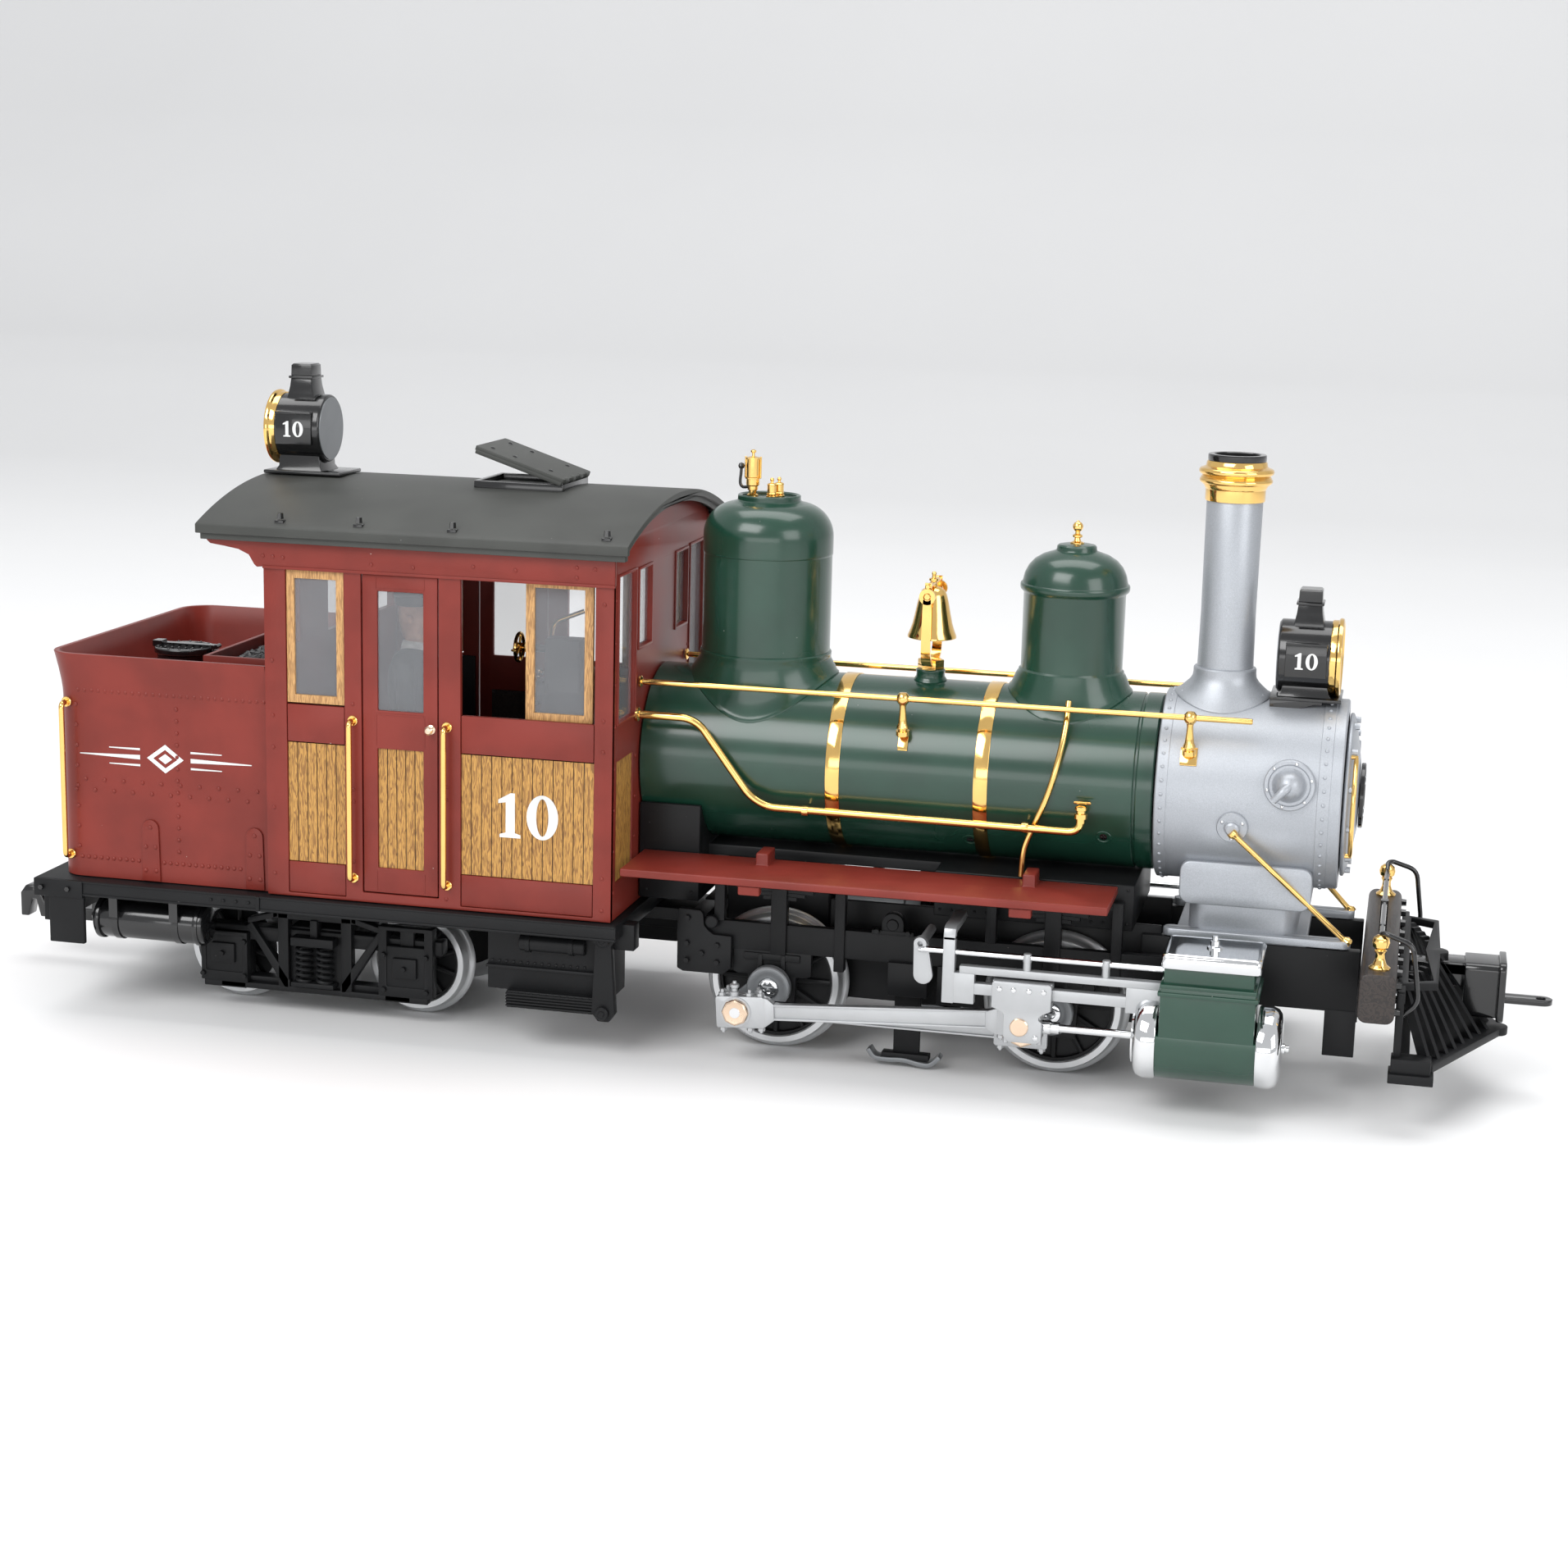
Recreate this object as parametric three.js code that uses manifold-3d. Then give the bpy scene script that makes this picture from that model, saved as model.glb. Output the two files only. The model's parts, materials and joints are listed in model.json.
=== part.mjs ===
// A large-scale model of a four-coupled tank engine with a rear four-wheel truck.
// Millimetres, +X towards the front, +Z up. Inside the shifted group, x = 0 is the cab's front wall.
import * as THREE from "three";
import { mergeVertices } from "three/addons/utils/BufferGeometryUtils.js";
import Module from "manifold-3d";

const wasm = await Module();
wasm.setup();

// ---- Driving dimensions ----
const REAR_END = -236; // tip of the rear coupler, from the cab's front wall
const FRONT_END = 294; // tip of the front drawbar
const GAP = 0.3; // clearance between pieces that rest on each other

const DRIVER = { tread: 21.8, flange: 23.8, rearX: 47.5, base: 92, inner: 21.5, outer: 27.5 };
const TRUCK = { tread: 17, flange: 19, frontX: -76.5, base: 65, inner: 21.5, outer: 27.5 };
const AXLE_R = 2.5;
const FLANGE_WIDTH = 1.6;

const CRANK = { throw: 9.8, angle: 215, quarter: 90 }; // right side's angle, left side leads by a quarter
const PLANE = { web: 34.2, hub: 38, side: 40.4, main: 45, piston: 52 }; // distances from the middle
const SIDE_ROD_T = 2.4;
const MAIN_ROD_T = 3;
const WRIST_X = 132.3;

const FRAME = { inner: 29.5, outer: 32.5, low: 34.5, high: 44, rear: 16, front: 176 };
const NOSE_FRAME = { inner: 17.5, outer: 21.5, low: 28, high: 48, end: 233.8 };

const DECK = { rear: -199.5, front: 2.5, half: 60, low: 41, floor: 44, top: 46.3 };
const CAB = { rear: -117, front: 0, half: 57.5, side: 162.8, wall: 2.2, low: 46.7 };
const ROOF = { rear: -138.3, front: 5.6, half: 62, edge: 168, rise: 11, wall: 2.2, lip: 163.2 };
const TANK = { rear: -193, half: 54.5, low: 46.7, rim: 122.2, wall: 2, deck: 108, flare: 2.6 };
const BUNKER = { rear: -151, half: 30.5, top: 119.6, wall: 1.6 };

const BOILER = { z: 93.6, r: 28.3, start: 0.4, end: 167.3 };
const SMOKEBOX = { r: 30.2, bulkhead: 180, ringEnd: 225, bore: 24 };
const CYLINDER = { r: 12.2, rear: 174.6, front: 205.6, cover: 12.5, coverRear: 167.2, coverFront: 212 };
const BEAM = { rear: 234.4, front: 245.4, half: 55, low: 35, high: 50.3 };

const WHEEL_Z = DRIVER.flange;
const TRUCK_Z = TRUCK.flange;
const FRONT_DRIVER_X = DRIVER.rearX + DRIVER.base;
const TRUCK_REAR_X = TRUCK.frontX - TRUCK.base;
const TRUCK_PIVOT_X = (TRUCK.frontX + TRUCK_REAR_X) / 2;
const ROOF_R = (ROOF.half ** 2 + ROOF.rise ** 2) / (2 * ROOF.rise);
const ROOF_APEX = ROOF.edge + ROOF.rise;

// ---- Finishes ----
const finish = (color, roughness, metalness) =>
  new THREE.MeshStandardMaterial({ color, roughness, metalness });
const RED = finish(0x853a32, 0.55, 0);
const ROOF_GREY = finish(0x34363a, 0.6, 0);
const BLACK = finish(0x2a2b2d, 0.65, 0);
const GREEN = finish(0x143c2d, 0.35, 0);
const SILVER = finish(0x9fa4aa, 0.45, 0.5);
const BRASS = finish(0xd9a441, 0.22, 1);
const STEEL = finish(0xd9dbde, 0.3, 0.8);
const TYRE = finish(0x8b8d90, 0.4, 0.7);
const WOOD = finish(0xa8733c, 0.6, 0);
const DARK_WOOD = finish(0x2b1d17, 0.6, 0);
const COAL = finish(0x17181a, 0.8, 0);
const CLOTH = finish(0x38465a, 0.8, 0);

// ---- Solids ----
function solid(geometry) {
  const plain = geometry.clone();
  plain.deleteAttribute("normal");
  plain.deleteAttribute("uv");
  const merged = mergeVertices(plain, 1e-4);
  const order = merged.index ?? [...Array(merged.attributes.position.count).keys()];
  return new wasm.Manifold(
    new wasm.Mesh({
      numProp: 3,
      vertProperties: new Float32Array(merged.attributes.position.array),
      triVerts: new Uint32Array(order.array ?? order),
    }),
  );
}

const join = (...parts) => parts.flat().reduce((whole, part) => whole.add(part));
const cut = (whole, ...parts) => parts.flat().reduce((rest, part) => rest.subtract(part), whole);

function box(x0, x1, y0, y1, z0, z1) {
  const shape = new THREE.BoxGeometry(x1 - x0, y1 - y0, z1 - z0);
  return solid(shape.translate((x0 + x1) / 2, (y0 + y1) / 2, (z0 + z1) / 2));
}

// A round bar along an axis, from a to b; p and q are the middle's other two coordinates in X, Y, Z order.
function bar(axis, r, a, b, p, q, sides = 16, rEnd = r) {
  const shape = new THREE.CylinderGeometry(rEnd, r, b - a, sides);
  if (axis === "x") shape.rotateZ(-Math.PI / 2).translate((a + b) / 2, p, q);
  if (axis === "y") shape.translate(p, (a + b) / 2, q);
  if (axis === "z") shape.rotateX(Math.PI / 2).translate(p, q, (a + b) / 2);
  return solid(shape);
}

// A profile of [radius, height] points turned about the upright line through x, y.
function turned(profile, x, y, sides = 20) {
  const points = profile.map(([r, h]) => new THREE.Vector2(r, h));
  return solid(new THREE.LatheGeometry(points, sides).rotateX(Math.PI / 2).translate(x, y, 0));
}

// A profile of [radius, x] points turned about the level line through y, z.
function turnedX(profile, y, z, sides = 24) {
  const points = profile.map(([r, h]) => new THREE.Vector2(r, h));
  const shape = new THREE.LatheGeometry(points, sides).rotateZ(-Math.PI / 2);
  return solid(shape.translate(0, y, z));
}

function outline(points) {
  return new THREE.Shape(points.map(([u, v]) => new THREE.Vector2(u, v)));
}

// A flat outline in X and Z, standing between two Y planes.
function plateXZ(shape, y0, y1, curveSegments = 8) {
  const slab = new THREE.ExtrudeGeometry(shape, { depth: y1 - y0, bevelEnabled: false, curveSegments });
  return solid(slab.rotateX(Math.PI / 2).translate(0, y1, 0));
}

// A flat outline in Y and Z, standing between two X planes.
function plateYZ(shape, x0, x1, curveSegments = 8) {
  const slab = new THREE.ExtrudeGeometry(shape, { depth: x1 - x0, bevelEnabled: false, curveSegments });
  return solid(slab.rotateX(Math.PI / 2).rotateZ(Math.PI / 2).translate(x0, 0, 0));
}

// A flat outline in X and Y, lying between two heights.
function plateXY(shape, z0, z1, curveSegments = 4) {
  const slab = new THREE.ExtrudeGeometry(shape, { depth: z1 - z0, bevelEnabled: false, curveSegments });
  return solid(slab.translate(0, 0, z0));
}

function roundedRect(u0, u1, v0, v1, r) {
  const s = new THREE.Shape();
  s.moveTo(u0 + r, v0).lineTo(u1 - r, v0).absarc(u1 - r, v0 + r, r, -Math.PI / 2, 0);
  s.lineTo(u1, v1 - r).absarc(u1 - r, v1 - r, r, 0, Math.PI / 2);
  s.lineTo(u0 + r, v1).absarc(u0 + r, v1 - r, r, Math.PI / 2, Math.PI);
  s.lineTo(u0, v0 + r).absarc(u0 + r, v0 + r, r, Math.PI, 1.5 * Math.PI);
  return s;
}

function tube(points, r, sides = 8, steps = points.length * 3) {
  const path = new THREE.CatmullRomCurve3(points.map((p) => new THREE.Vector3(...p)), false, "centripetal");
  const section = new THREE.Shape();
  section.absarc(0, 0, r, 0, 2 * Math.PI);
  const options = { steps, extrudePath: path, curveSegments: sides / 2, bevelEnabled: false };
  return solid(new THREE.ExtrudeGeometry(section, options));
}

function geometryOf(whole) {
  const found = whole.getMesh();
  const geometry = new THREE.BufferGeometry();
  geometry.setAttribute("position", new THREE.BufferAttribute(found.vertProperties, 3));
  return geometry.setIndex(new THREE.BufferAttribute(found.triVerts, 1));
}

// The same solid on the other side of the middle plane.
function reflected(whole) {
  const geometry = geometryOf(whole).scale(1, -1, 1);
  geometry.setIndex([...geometry.index.array].reverse());
  return solid(geometry);
}

const engine = new THREE.Group();
engine.position.x = -(REAR_END + FRONT_END) / 2;

function piece(name, whole, material) {
  const geometry = geometryOf(whole);
  geometry.computeVertexNormals();
  const mesh = new THREE.Mesh(geometry, material);
  mesh.name = name;
  engine.add(mesh);
  return mesh;
}

// Makes the right-hand piece from a shape built at y < 0, and its left-hand twin by reflection.
function pair(name, right, material, left = right) {
  piece(`${name}_right`, right, material);
  piece(`${name}_left`, left, material).scale.y = -1;
}

const degrees = (value) => (value * Math.PI) / 180;
const crankAt = (angle) => [CRANK.throw * Math.cos(degrees(angle)), CRANK.throw * Math.sin(degrees(angle))];
const RIGHT_CRANK = CRANK.angle;
const LEFT_CRANK = CRANK.angle + CRANK.quarter;

// ---- Wheels ----
function wheelProfile(wheel, side) {
  const rimInside = wheel.tread - 2.8;
  const [a, b] = [wheel.inner, wheel.outer];
  return [
    [0, a], [wheel.flange, a], [wheel.flange, a + 0.8], [wheel.tread, a + FLANGE_WIDTH + 0.6],
    [wheel.tread - 0.4, b], [rimInside, b], [rimInside, b - 2], [0, b - 2],
  ].map(([r, y]) => [r, y * side]);
}

function wheelAt(wheel, x, z, side) {
  const ordered = side > 0 ? wheelProfile(wheel, side) : wheelProfile(wheel, side).reverse();
  const points = ordered.map(([r, y]) => new THREE.Vector2(r, y));
  return solid(new THREE.LatheGeometry(points, 24).translate(x, 0, z));
}

function crankWeb(x, side, angle) {
  const [dx, dz] = crankAt(angle);
  const [a, b] = side > 0 ? [PLANE.web, PLANE.hub - 0.4] : [0.4 - PLANE.hub, -PLANE.web];
  const [ux, uz] = [dx / CRANK.throw, dz / CRANK.throw];
  const arm = outline([[0, -5.2], [CRANK.throw, -3.6], [CRANK.throw, 3.6], [0, 5.2]].map(([u, v]) =>
    [x + u * ux - v * uz, WHEEL_Z + u * uz + v * ux]));
  const web = plateXZ(arm, a, b);
  const outer = side * PLANE.hub;
  const hub = bar("y", 7.1, Math.min(side * PLANE.web, outer), Math.max(side * PLANE.web, outer), x,
    WHEEL_Z, 16);
  const boss = bar("y", 4.2, a, b, x + dx, WHEEL_Z + dz, 12);
  return join(web, hub, boss);
}

function crankPin(x, side, angle, length, headRadius) {
  const [dx, dz] = crankAt(angle);
  const [root, end] = [PLANE.web + 1, length - 1.2];
  const span = (p, q) => (side > 0 ? [p, q] : [-q, -p]);
  const pin = bar("y", 2, ...span(root, end + 0.5), x + dx, WHEEL_Z + dz, 12);
  const head = bar("y", headRadius, ...span(end, length), x + dx, WHEEL_Z + dz, 12);
  return join(pin, head);
}

function drivingWheels(x, pinLength, headRadius) {
  const parts = [bar("y", AXLE_R, -PLANE.web - 1, PLANE.web + 1, x, WHEEL_Z, 16)];
  for (const [side, angle] of [[-1, RIGHT_CRANK], [1, LEFT_CRANK]]) {
    parts.push(wheelAt(DRIVER, x, WHEEL_Z, side));
    parts.push(crankWeb(x, side, angle));
    parts.push(crankPin(x, side, angle, pinLength, headRadius));
  }
  return join(parts);
}

const WORM_WHEEL_R = 11;
const wormWheel = bar("y", WORM_WHEEL_R, -3, 3, DRIVER.rearX, WHEEL_Z, 16);
const rearPinLength = PLANE.main + MAIN_ROD_T + 1.7;
const frontPinLength = PLANE.side + SIDE_ROD_T + 1.6;
piece("driver_wheelset_rear", drivingWheels(DRIVER.rearX, rearPinLength, 3.7).add(wormWheel), TYRE);
piece("driver_wheelset_front", drivingWheels(FRONT_DRIVER_X, frontPinLength, 3.4), TYRE);

for (const [name, x] of [["front", TRUCK.frontX], ["rear", TRUCK_REAR_X]]) {
  const axle = bar("y", 2, -33, 33, x, TRUCK_Z, 12);
  piece(`truck_wheelset_${name}`, join(axle, wheelAt(TRUCK, x, TRUCK_Z, -1), wheelAt(TRUCK, x, TRUCK_Z,
    1)), TYRE);
}

// ---- Rods and crossheads ----
const BORE = 2.35; // clears the crank pin

function rod(y, thickness, x0, z0, x1, z1, ends, bores) {
  const [rear, front] = ends;
  const slope = (z1 - z0) / (x1 - x0);
  const at = (x) => z0 + slope * (x - x0);
  const half = 2.6;
  const beam = outline([
    [x0, at(x0) - half], [x1, at(x1) - half], [x1, at(x1) + half], [x0, at(x0) + half],
  ]);
  const block = ([back, ahead, high], x, z) => box(x - back, x + ahead, -y - thickness, -y, z - high,
    z + high);
  const whole = join(plateXZ(beam, -y - thickness, -y), block(rear, x0, z0), block(front, x1, z1));
  return cut(whole, bores.map(([x, z]) => bar("y", BORE, -y - thickness - 1, -y + 1, x, z, 16)));
}

function sideRod(angle) {
  const [dx, dz] = crankAt(angle);
  const [x0, x1, z] = [DRIVER.rearX + dx, FRONT_DRIVER_X + dx, WHEEL_Z + dz];
  return rod(PLANE.side, SIDE_ROD_T, x0, z, x1, z, [[6, 8, 4.6], [9, 8, 4.8]], [[x0, z], [x1, z]]);
}

function mainRod(angle, wristX) {
  const [dx, dz] = crankAt(angle);
  const [x0, z0] = [DRIVER.rearX + dx, WHEEL_Z + dz];
  return rod(PLANE.main, MAIN_ROD_T, x0, z0, wristX, WHEEL_Z, [[6, 12, 5], [9, 4.5, 3.6]], [[x0, z0]]);
}

// The wrist pin's place for a crank angle, with the main rod's length kept.
const ROD_LENGTH = Math.hypot(WRIST_X - DRIVER.rearX - crankAt(RIGHT_CRANK)[0], crankAt(RIGHT_CRANK)[1]);
function wristFor(angle) {
  const [dx, dz] = crankAt(angle);
  return DRIVER.rearX + dx + Math.sqrt(ROD_LENGTH ** 2 - dz ** 2);
}
const LEFT_WRIST_X = wristFor(LEFT_CRANK);

pair("side_rod", sideRod(RIGHT_CRANK), STEEL, sideRod(LEFT_CRANK));
pair("main_rod", mainRod(RIGHT_CRANK, WRIST_X), STEEL, mainRod(LEFT_CRANK, LEFT_WRIST_X));

const GUIDE = { topLow: 39.4, topHigh: 42, low: 33, high: 36.6, y0: -54.6, y1: -51.6, rear: 110,
  front: 176.4 };

function crosshead(x) {
  const plate = box(x - 9, x + 9.6, -57, -50.9, 30, 38.6);
  const slot = box(x - 11, x + 11, GUIDE.y0 - 0.35, GUIDE.y1 + 0.35, GUIDE.low - 0.35, GUIDE.high + 0.35);
  const shape = outline([
    [x - 5, 31], [x - 5, 21], [x - 3, 19.4], [x + 5, 19.4], [x + 6.5, 22], [x + 6.5, 31],
  ]);
  const tongue = plateXZ(shape, -53.6, -50.9);
  const piston = bar("x", 1.2, x + 5.5, x + 45, -PLANE.piston, WHEEL_Z, 12);
  const pin = bar("y", 2.4, -55, -53, x, WHEEL_Z, 12);
  return join(cut(plate, slot), tongue, piston, pin);
}
pair("crosshead", crosshead(WRIST_X), STEEL, crosshead(LEFT_WRIST_X));

function guides() {
  const top = box(GUIDE.rear, GUIDE.front, GUIDE.y0, GUIDE.y1, GUIDE.topLow, GUIDE.topHigh);
  const bottom = box(GUIDE.rear, GUIDE.front, GUIDE.y0, GUIDE.y1, GUIDE.low, GUIDE.high);
  const rearBlock = box(110, 118, GUIDE.y0, GUIDE.y1, 29.5, 39.6);
  const frontBlock = box(163.6, GUIDE.front, GUIDE.y0, GUIDE.y1, 31, 39.6);
  const yoke = box(107, 111, GUIDE.y0, GUIDE.y1, 29.5, 53.6);
  const arm = box(107, 111, -55, -32.8, 49.6, 53.6);
  const posts = [133.5, 158].map((x) => box(x - 1, x + 1, -54, -52, 41.8, 45.4));
  const valveRod = bar("x", 1.1, 100, 175.6, -53, 45.6, 8);
  const rocker = box(97.4, 102.6, -54.5, -50, 35.6, 48);
  const cover = bar("x", CYLINDER.cover + 0.5, CYLINDER.coverRear - 1, 180, -PLANE.piston, WHEEL_Z, 24);
  return cut(join(top, bottom, rearBlock, frontBlock, yoke, arm, posts, valveRod, rocker), cover);
}
pair("guide_bars", guides(), STEEL);

// ---- Cylinders ----
function cylinder() {
  const profile = [
    [0, CYLINDER.coverRear], [9, CYLINDER.coverRear], [12, CYLINDER.coverRear + 2.4],
    [CYLINDER.cover, CYLINDER.rear], [CYLINDER.r, CYLINDER.rear], [CYLINDER.r, CYLINDER.front],
    [CYLINDER.cover, CYLINDER.front], [CYLINDER.cover, CYLINDER.front + 2], [8.5, CYLINDER.coverFront],
    [0, CYLINDER.coverFront + 0.8],
  ];
  const barrel = turnedX(profile, -PLANE.piston, WHEEL_Z);
  const bore = bar("x", 1.7, CYLINDER.coverRear - 1, 197, -PLANE.piston, WHEEL_Z, 12);
  const web = box(178, 203, -62, -40, WHEEL_Z + 4, 44);
  const chest = box(177, 205, -63, -38, 38, 49.6);
  const lid = box(176, 206, -63.6, -37.4, 49.6, 54.6);
  const inner = box(180, 202, -42, -22, 33, 47);
  const nut = bar("z", 2, 54, 57, 190.5, -50, 8);
  return cut(join(barrel, web, chest, lid, inner, nut), bore);
}
pair("cylinder", cylinder(), GREEN);

// ---- Main frame ----
function sidePlate() {
  const bars = box(FRAME.rear, FRAME.front, -FRAME.outer, -FRAME.inner, FRAME.low, FRAME.high);
  const horns = [DRIVER.rearX, FRONT_DRIVER_X].map((x) =>
    join(box(x - 13, x + 13, -FRAME.outer, -FRAME.inner, 27, FRAME.low + 1),
      box(x - 7.5, x + 7.5, -FRAME.outer, -FRAME.inner, 14, 28)));
  const axleHoles = [DRIVER.rearX, FRONT_DRIVER_X].map((x) =>
    bar("y", AXLE_R + 0.4, -FRAME.outer - 1, -FRAME.inner + 1, x, WHEEL_Z, 16));
  const heel = box(FRAME.rear, 34, -FRAME.outer - 0.6, -FRAME.inner, 27.5, 46);
  const nose = box(165.5, NOSE_FRAME.end, -NOSE_FRAME.outer, -NOSE_FRAME.inner, NOSE_FRAME.low,
    NOSE_FRAME.high);
  const tab = box(224, 233.8, -NOSE_FRAME.outer, -NOSE_FRAME.inner, 15.5, 29);
  return cut(join(bars, horns, heel, nose, tab), axleHoles);
}
// Leaf springs stand on the frame above each driving axle box.
function leafSprings(x) {
  const leaves = [0, 1, 2, 3].map((i) => {
    const reach = 22 - i * 4.5;
    const z = 59.4 - i * 1.9;
    return box(x - reach, x + reach, -32.3, -29.7, z, z + 2.1);
  });
  const hangers = [x - 21.5, x + 18.5].map((a) => box(a, a + 3, -33.2, -29.7, FRAME.high - 1, 61));
  const buckle = box(x - 3, x + 3, -33.2, -29.7, FRAME.high - 1, 62);
  return join(leaves, hangers, buckle);
}
const shoeGuide = cut(box(86, 99, -34, -29.5, 24, 35), box(87.5, 97.5, -32.2, -29.4, 20, 33.7));
const halfFrame = join(sidePlate(), shoeGuide, leafSprings(DRIVER.rearX + 2),
  leafSprings(FRONT_DRIVER_X - 1));
const stretchers = [[FRAME.rear, 22], [97, 104], [165.5, 173]].map(([a, b]) =>
  box(a, b, -FRAME.inner - 1, FRAME.inner + 1, 34.5, 42));
const spine = join(box(-194, 18, -11, 11, 37, 40.7), box(-2, 18, -11, 11, 36, 40.7));
const COUPLER_PIN_X = -196.8;
const couplerBracket = join(
  box(-204, -186, -7, 7, 33.8, 38),
  bar("z", 1.5, 18, 34, COUPLER_PIN_X, 0, 12),
  bar("z", 3.4, 16.4, 18.6, COUPLER_PIN_X, 0, 12),
);
const pivotHole = bar("z", 3, 30, 50, TRUCK_PIVOT_X, 0, 16);
const mainFrame = join(halfFrame, reflected(halfFrame), stretchers, spine, couplerBracket);
piece("main_frame", cut(mainFrame, pivotHole), BLACK);

// ---- Drive ----
const MOTOR = { rear: 62, front: 92, r: 13.5, z: WHEEL_Z + WORM_WHEEL_R + 4.6 };
const gearcase = cut(
  join(box(27, MOTOR.rear - GAP, -12, 12, MOTOR.z - 7, 60.8), box(22 + GAP, 28, -8, 8, 36, 41)),
  box(29.5, MOTOR.rear - 3, -9.5, 9.5, MOTOR.z - 9, 56),
  bar("x", 2.2, 25, 64, 0, MOTOR.z, 12),
  bar("y", WORM_WHEEL_R + 1.5, -8, 8, DRIVER.rearX, WHEEL_Z, 24),
);
piece("gear_case", gearcase, BLACK);
const motorBody = cut(bar("x", MOTOR.r, MOTOR.rear, MOTOR.front, 0, MOTOR.z, 24), bar("x", 2, 60, 89, 0,
  MOTOR.z, 12));
piece("motor", motorBody, STEEL);
const worm = join(bar("x", 1.6, 27.6, 70, 0, MOTOR.z, 10), bar("x", 3.9, 38, 56, 0, MOTOR.z, 16));
piece("worm_shaft", worm, BRASS);

// ---- Rear chassis ----
const footplate = cut(
  box(DECK.rear, DECK.front, -DECK.half, DECK.half, DECK.low, DECK.top),
  box(DECK.rear + 2, DECK.front - 2, -DECK.half + 2, DECK.half - 2, DECK.low - 1, DECK.floor),
);
const endPlates = [-1, 1].map((s) => {
  const [a, b] = s < 0 ? [-DECK.half, -DECK.half + 2] : [DECK.half - 2, DECK.half];
  return box(-194.5, -182, a, b, 24.5, 45);
});
const rearBuffer = cut(box(DECK.rear, DECK.rear + 6, -54, 54, 30, 45), box(-201, -193, -12, 12, 29, 41));
function underCabBox(side) {
  const [a, b] = side < 0 ? [-52, -38] : [38, 52];
  const [c, d] = side < 0 ? [-54, -40] : [40, 54];
  return join(box(-43, -0.5, a, b, 20, 45), box(-36, -4, c, d, 14.5, 20.2));
}
piece("footplate", join(footplate, endPlates, rearBuffer, underCabBox(-1), underCabBox(1)), BLACK);

function airTank() {
  const body = bar("x", 6.6, -181.5, -141, -50, 32, 20);
  const bands = [-175, -149].map((x) => bar("x", 7, x, x + 2.4, -50, 32, 20));
  const hanger = box(-166, -156, -51.5, -48.5, 36, 43.7);
  return join(body, bands, hanger);
}
pair("air_tank", airTank(), BLACK);

// ---- Truck ----
function truckSide(side) {
  const [a, b] = side < 0 ? [-36, -30.5] : [30.5, 36];
  const [o, p] = side < 0 ? [-38.5, -30.5] : [30.5, 38.5];
  const beam = box(TRUCK_REAR_X - 12, TRUCK.frontX + 12, a, b, 24, 29);
  const boxes = [TRUCK_REAR_X, TRUCK.frontX].map((x) => box(x - 8, x + 8, o, p, 10.5, 27));
  const lower = box(TRUCK_REAR_X, TRUCK.frontX, a, b, 8.5, 11.5);
  const column = box(TRUCK_PIVOT_X - 11, TRUCK_PIVOT_X + 11, a, b, 9, 28);
  return join(beam, boxes, lower, column);
}
const bolster = join(
  box(TRUCK_PIVOT_X - 10, TRUCK_PIVOT_X + 10, -35, 35, 24, 30),
  bar("z", 9, 29, 36.4, TRUCK_PIVOT_X, 0, 20),
  bar("z", 2.4, 36, 42.6, TRUCK_PIVOT_X, 0, 12),
);
const journals = [TRUCK_REAR_X, TRUCK.frontX].map((x) => bar("y", 2.4, -33.4, 33.4, x, TRUCK_Z, 12));
piece("truck_frame", cut(join(truckSide(-1), truckSide(1), bolster), journals), BLACK);

// ---- Tank and coal bunker ----
function tankOutline(inset, grow = 0) {
  const r = Math.max(8 - inset + grow, 1.5);
  const [x0, half] = [TANK.rear + inset - grow, TANK.half - inset + grow];
  const s = new THREE.Shape();
  s.moveTo(x0 + r, -half).lineTo(CAB.rear - GAP, -half).lineTo(CAB.rear - GAP, half).lineTo(x0 + r, half);
  s.absarc(x0 + r, half - r, r, Math.PI / 2, Math.PI);
  s.lineTo(x0, -half + r).absarc(x0 + r, -half + r, r, Math.PI, 1.5 * Math.PI);
  return s;
}
const tankShell = cut(
  join(plateXY(tankOutline(0), TANK.low, TANK.rim), plateXY(tankOutline(0, TANK.flare), TANK.rim - 1.8,
    TANK.rim)),
  plateXY(tankOutline(TANK.wall), TANK.low - 1, TANK.deck - TANK.wall),
  plateXY(tankOutline(TANK.wall), TANK.deck, TANK.rim + 1),
);
const bunkerWalls = cut(
  box(BUNKER.rear, CAB.rear - GAP, -BUNKER.half, BUNKER.half, TANK.deck - 1, BUNKER.top),
  box(BUNKER.rear + BUNKER.wall, CAB.rear - 2, BUNKER.wall - BUNKER.half, BUNKER.half - BUNKER.wall,
    TANK.deck, BUNKER.top + 1),
);
const frontWall = box(CAB.rear - 2, CAB.rear - GAP, -TANK.half + 1, TANK.half - 1, TANK.low, TANK.rim);
const FILLER = { x: -168, y: -8, r: 9.5, top: 116 };
const fillerRing = bar("z", FILLER.r, TANK.deck - 1, FILLER.top, FILLER.x, FILLER.y, 20);
const LID_HINGE = { x: -155.9, z: 118.8 };
const hingePost = box(LID_HINGE.x - 1.5, LID_HINGE.x + 1.7, FILLER.y - 1.8, FILLER.y + 1.8,
  TANK.deck - 1, LID_HINGE.z - 1.1);
piece("tank_body", join(tankShell, bunkerWalls, frontWall, fillerRing, hingePost), RED);
const lid = join(
  bar("z", FILLER.r + 0.8, FILLER.top + GAP, FILLER.top + 2.2, FILLER.x, FILLER.y, 20),
  box(FILLER.x - 8, LID_HINGE.x + 0.4, FILLER.y - 1.6, FILLER.y + 1.6, LID_HINGE.z - 0.8, LID_HINGE.z + 0.8),
);
piece("filler_lid", lid, BLACK);
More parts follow.
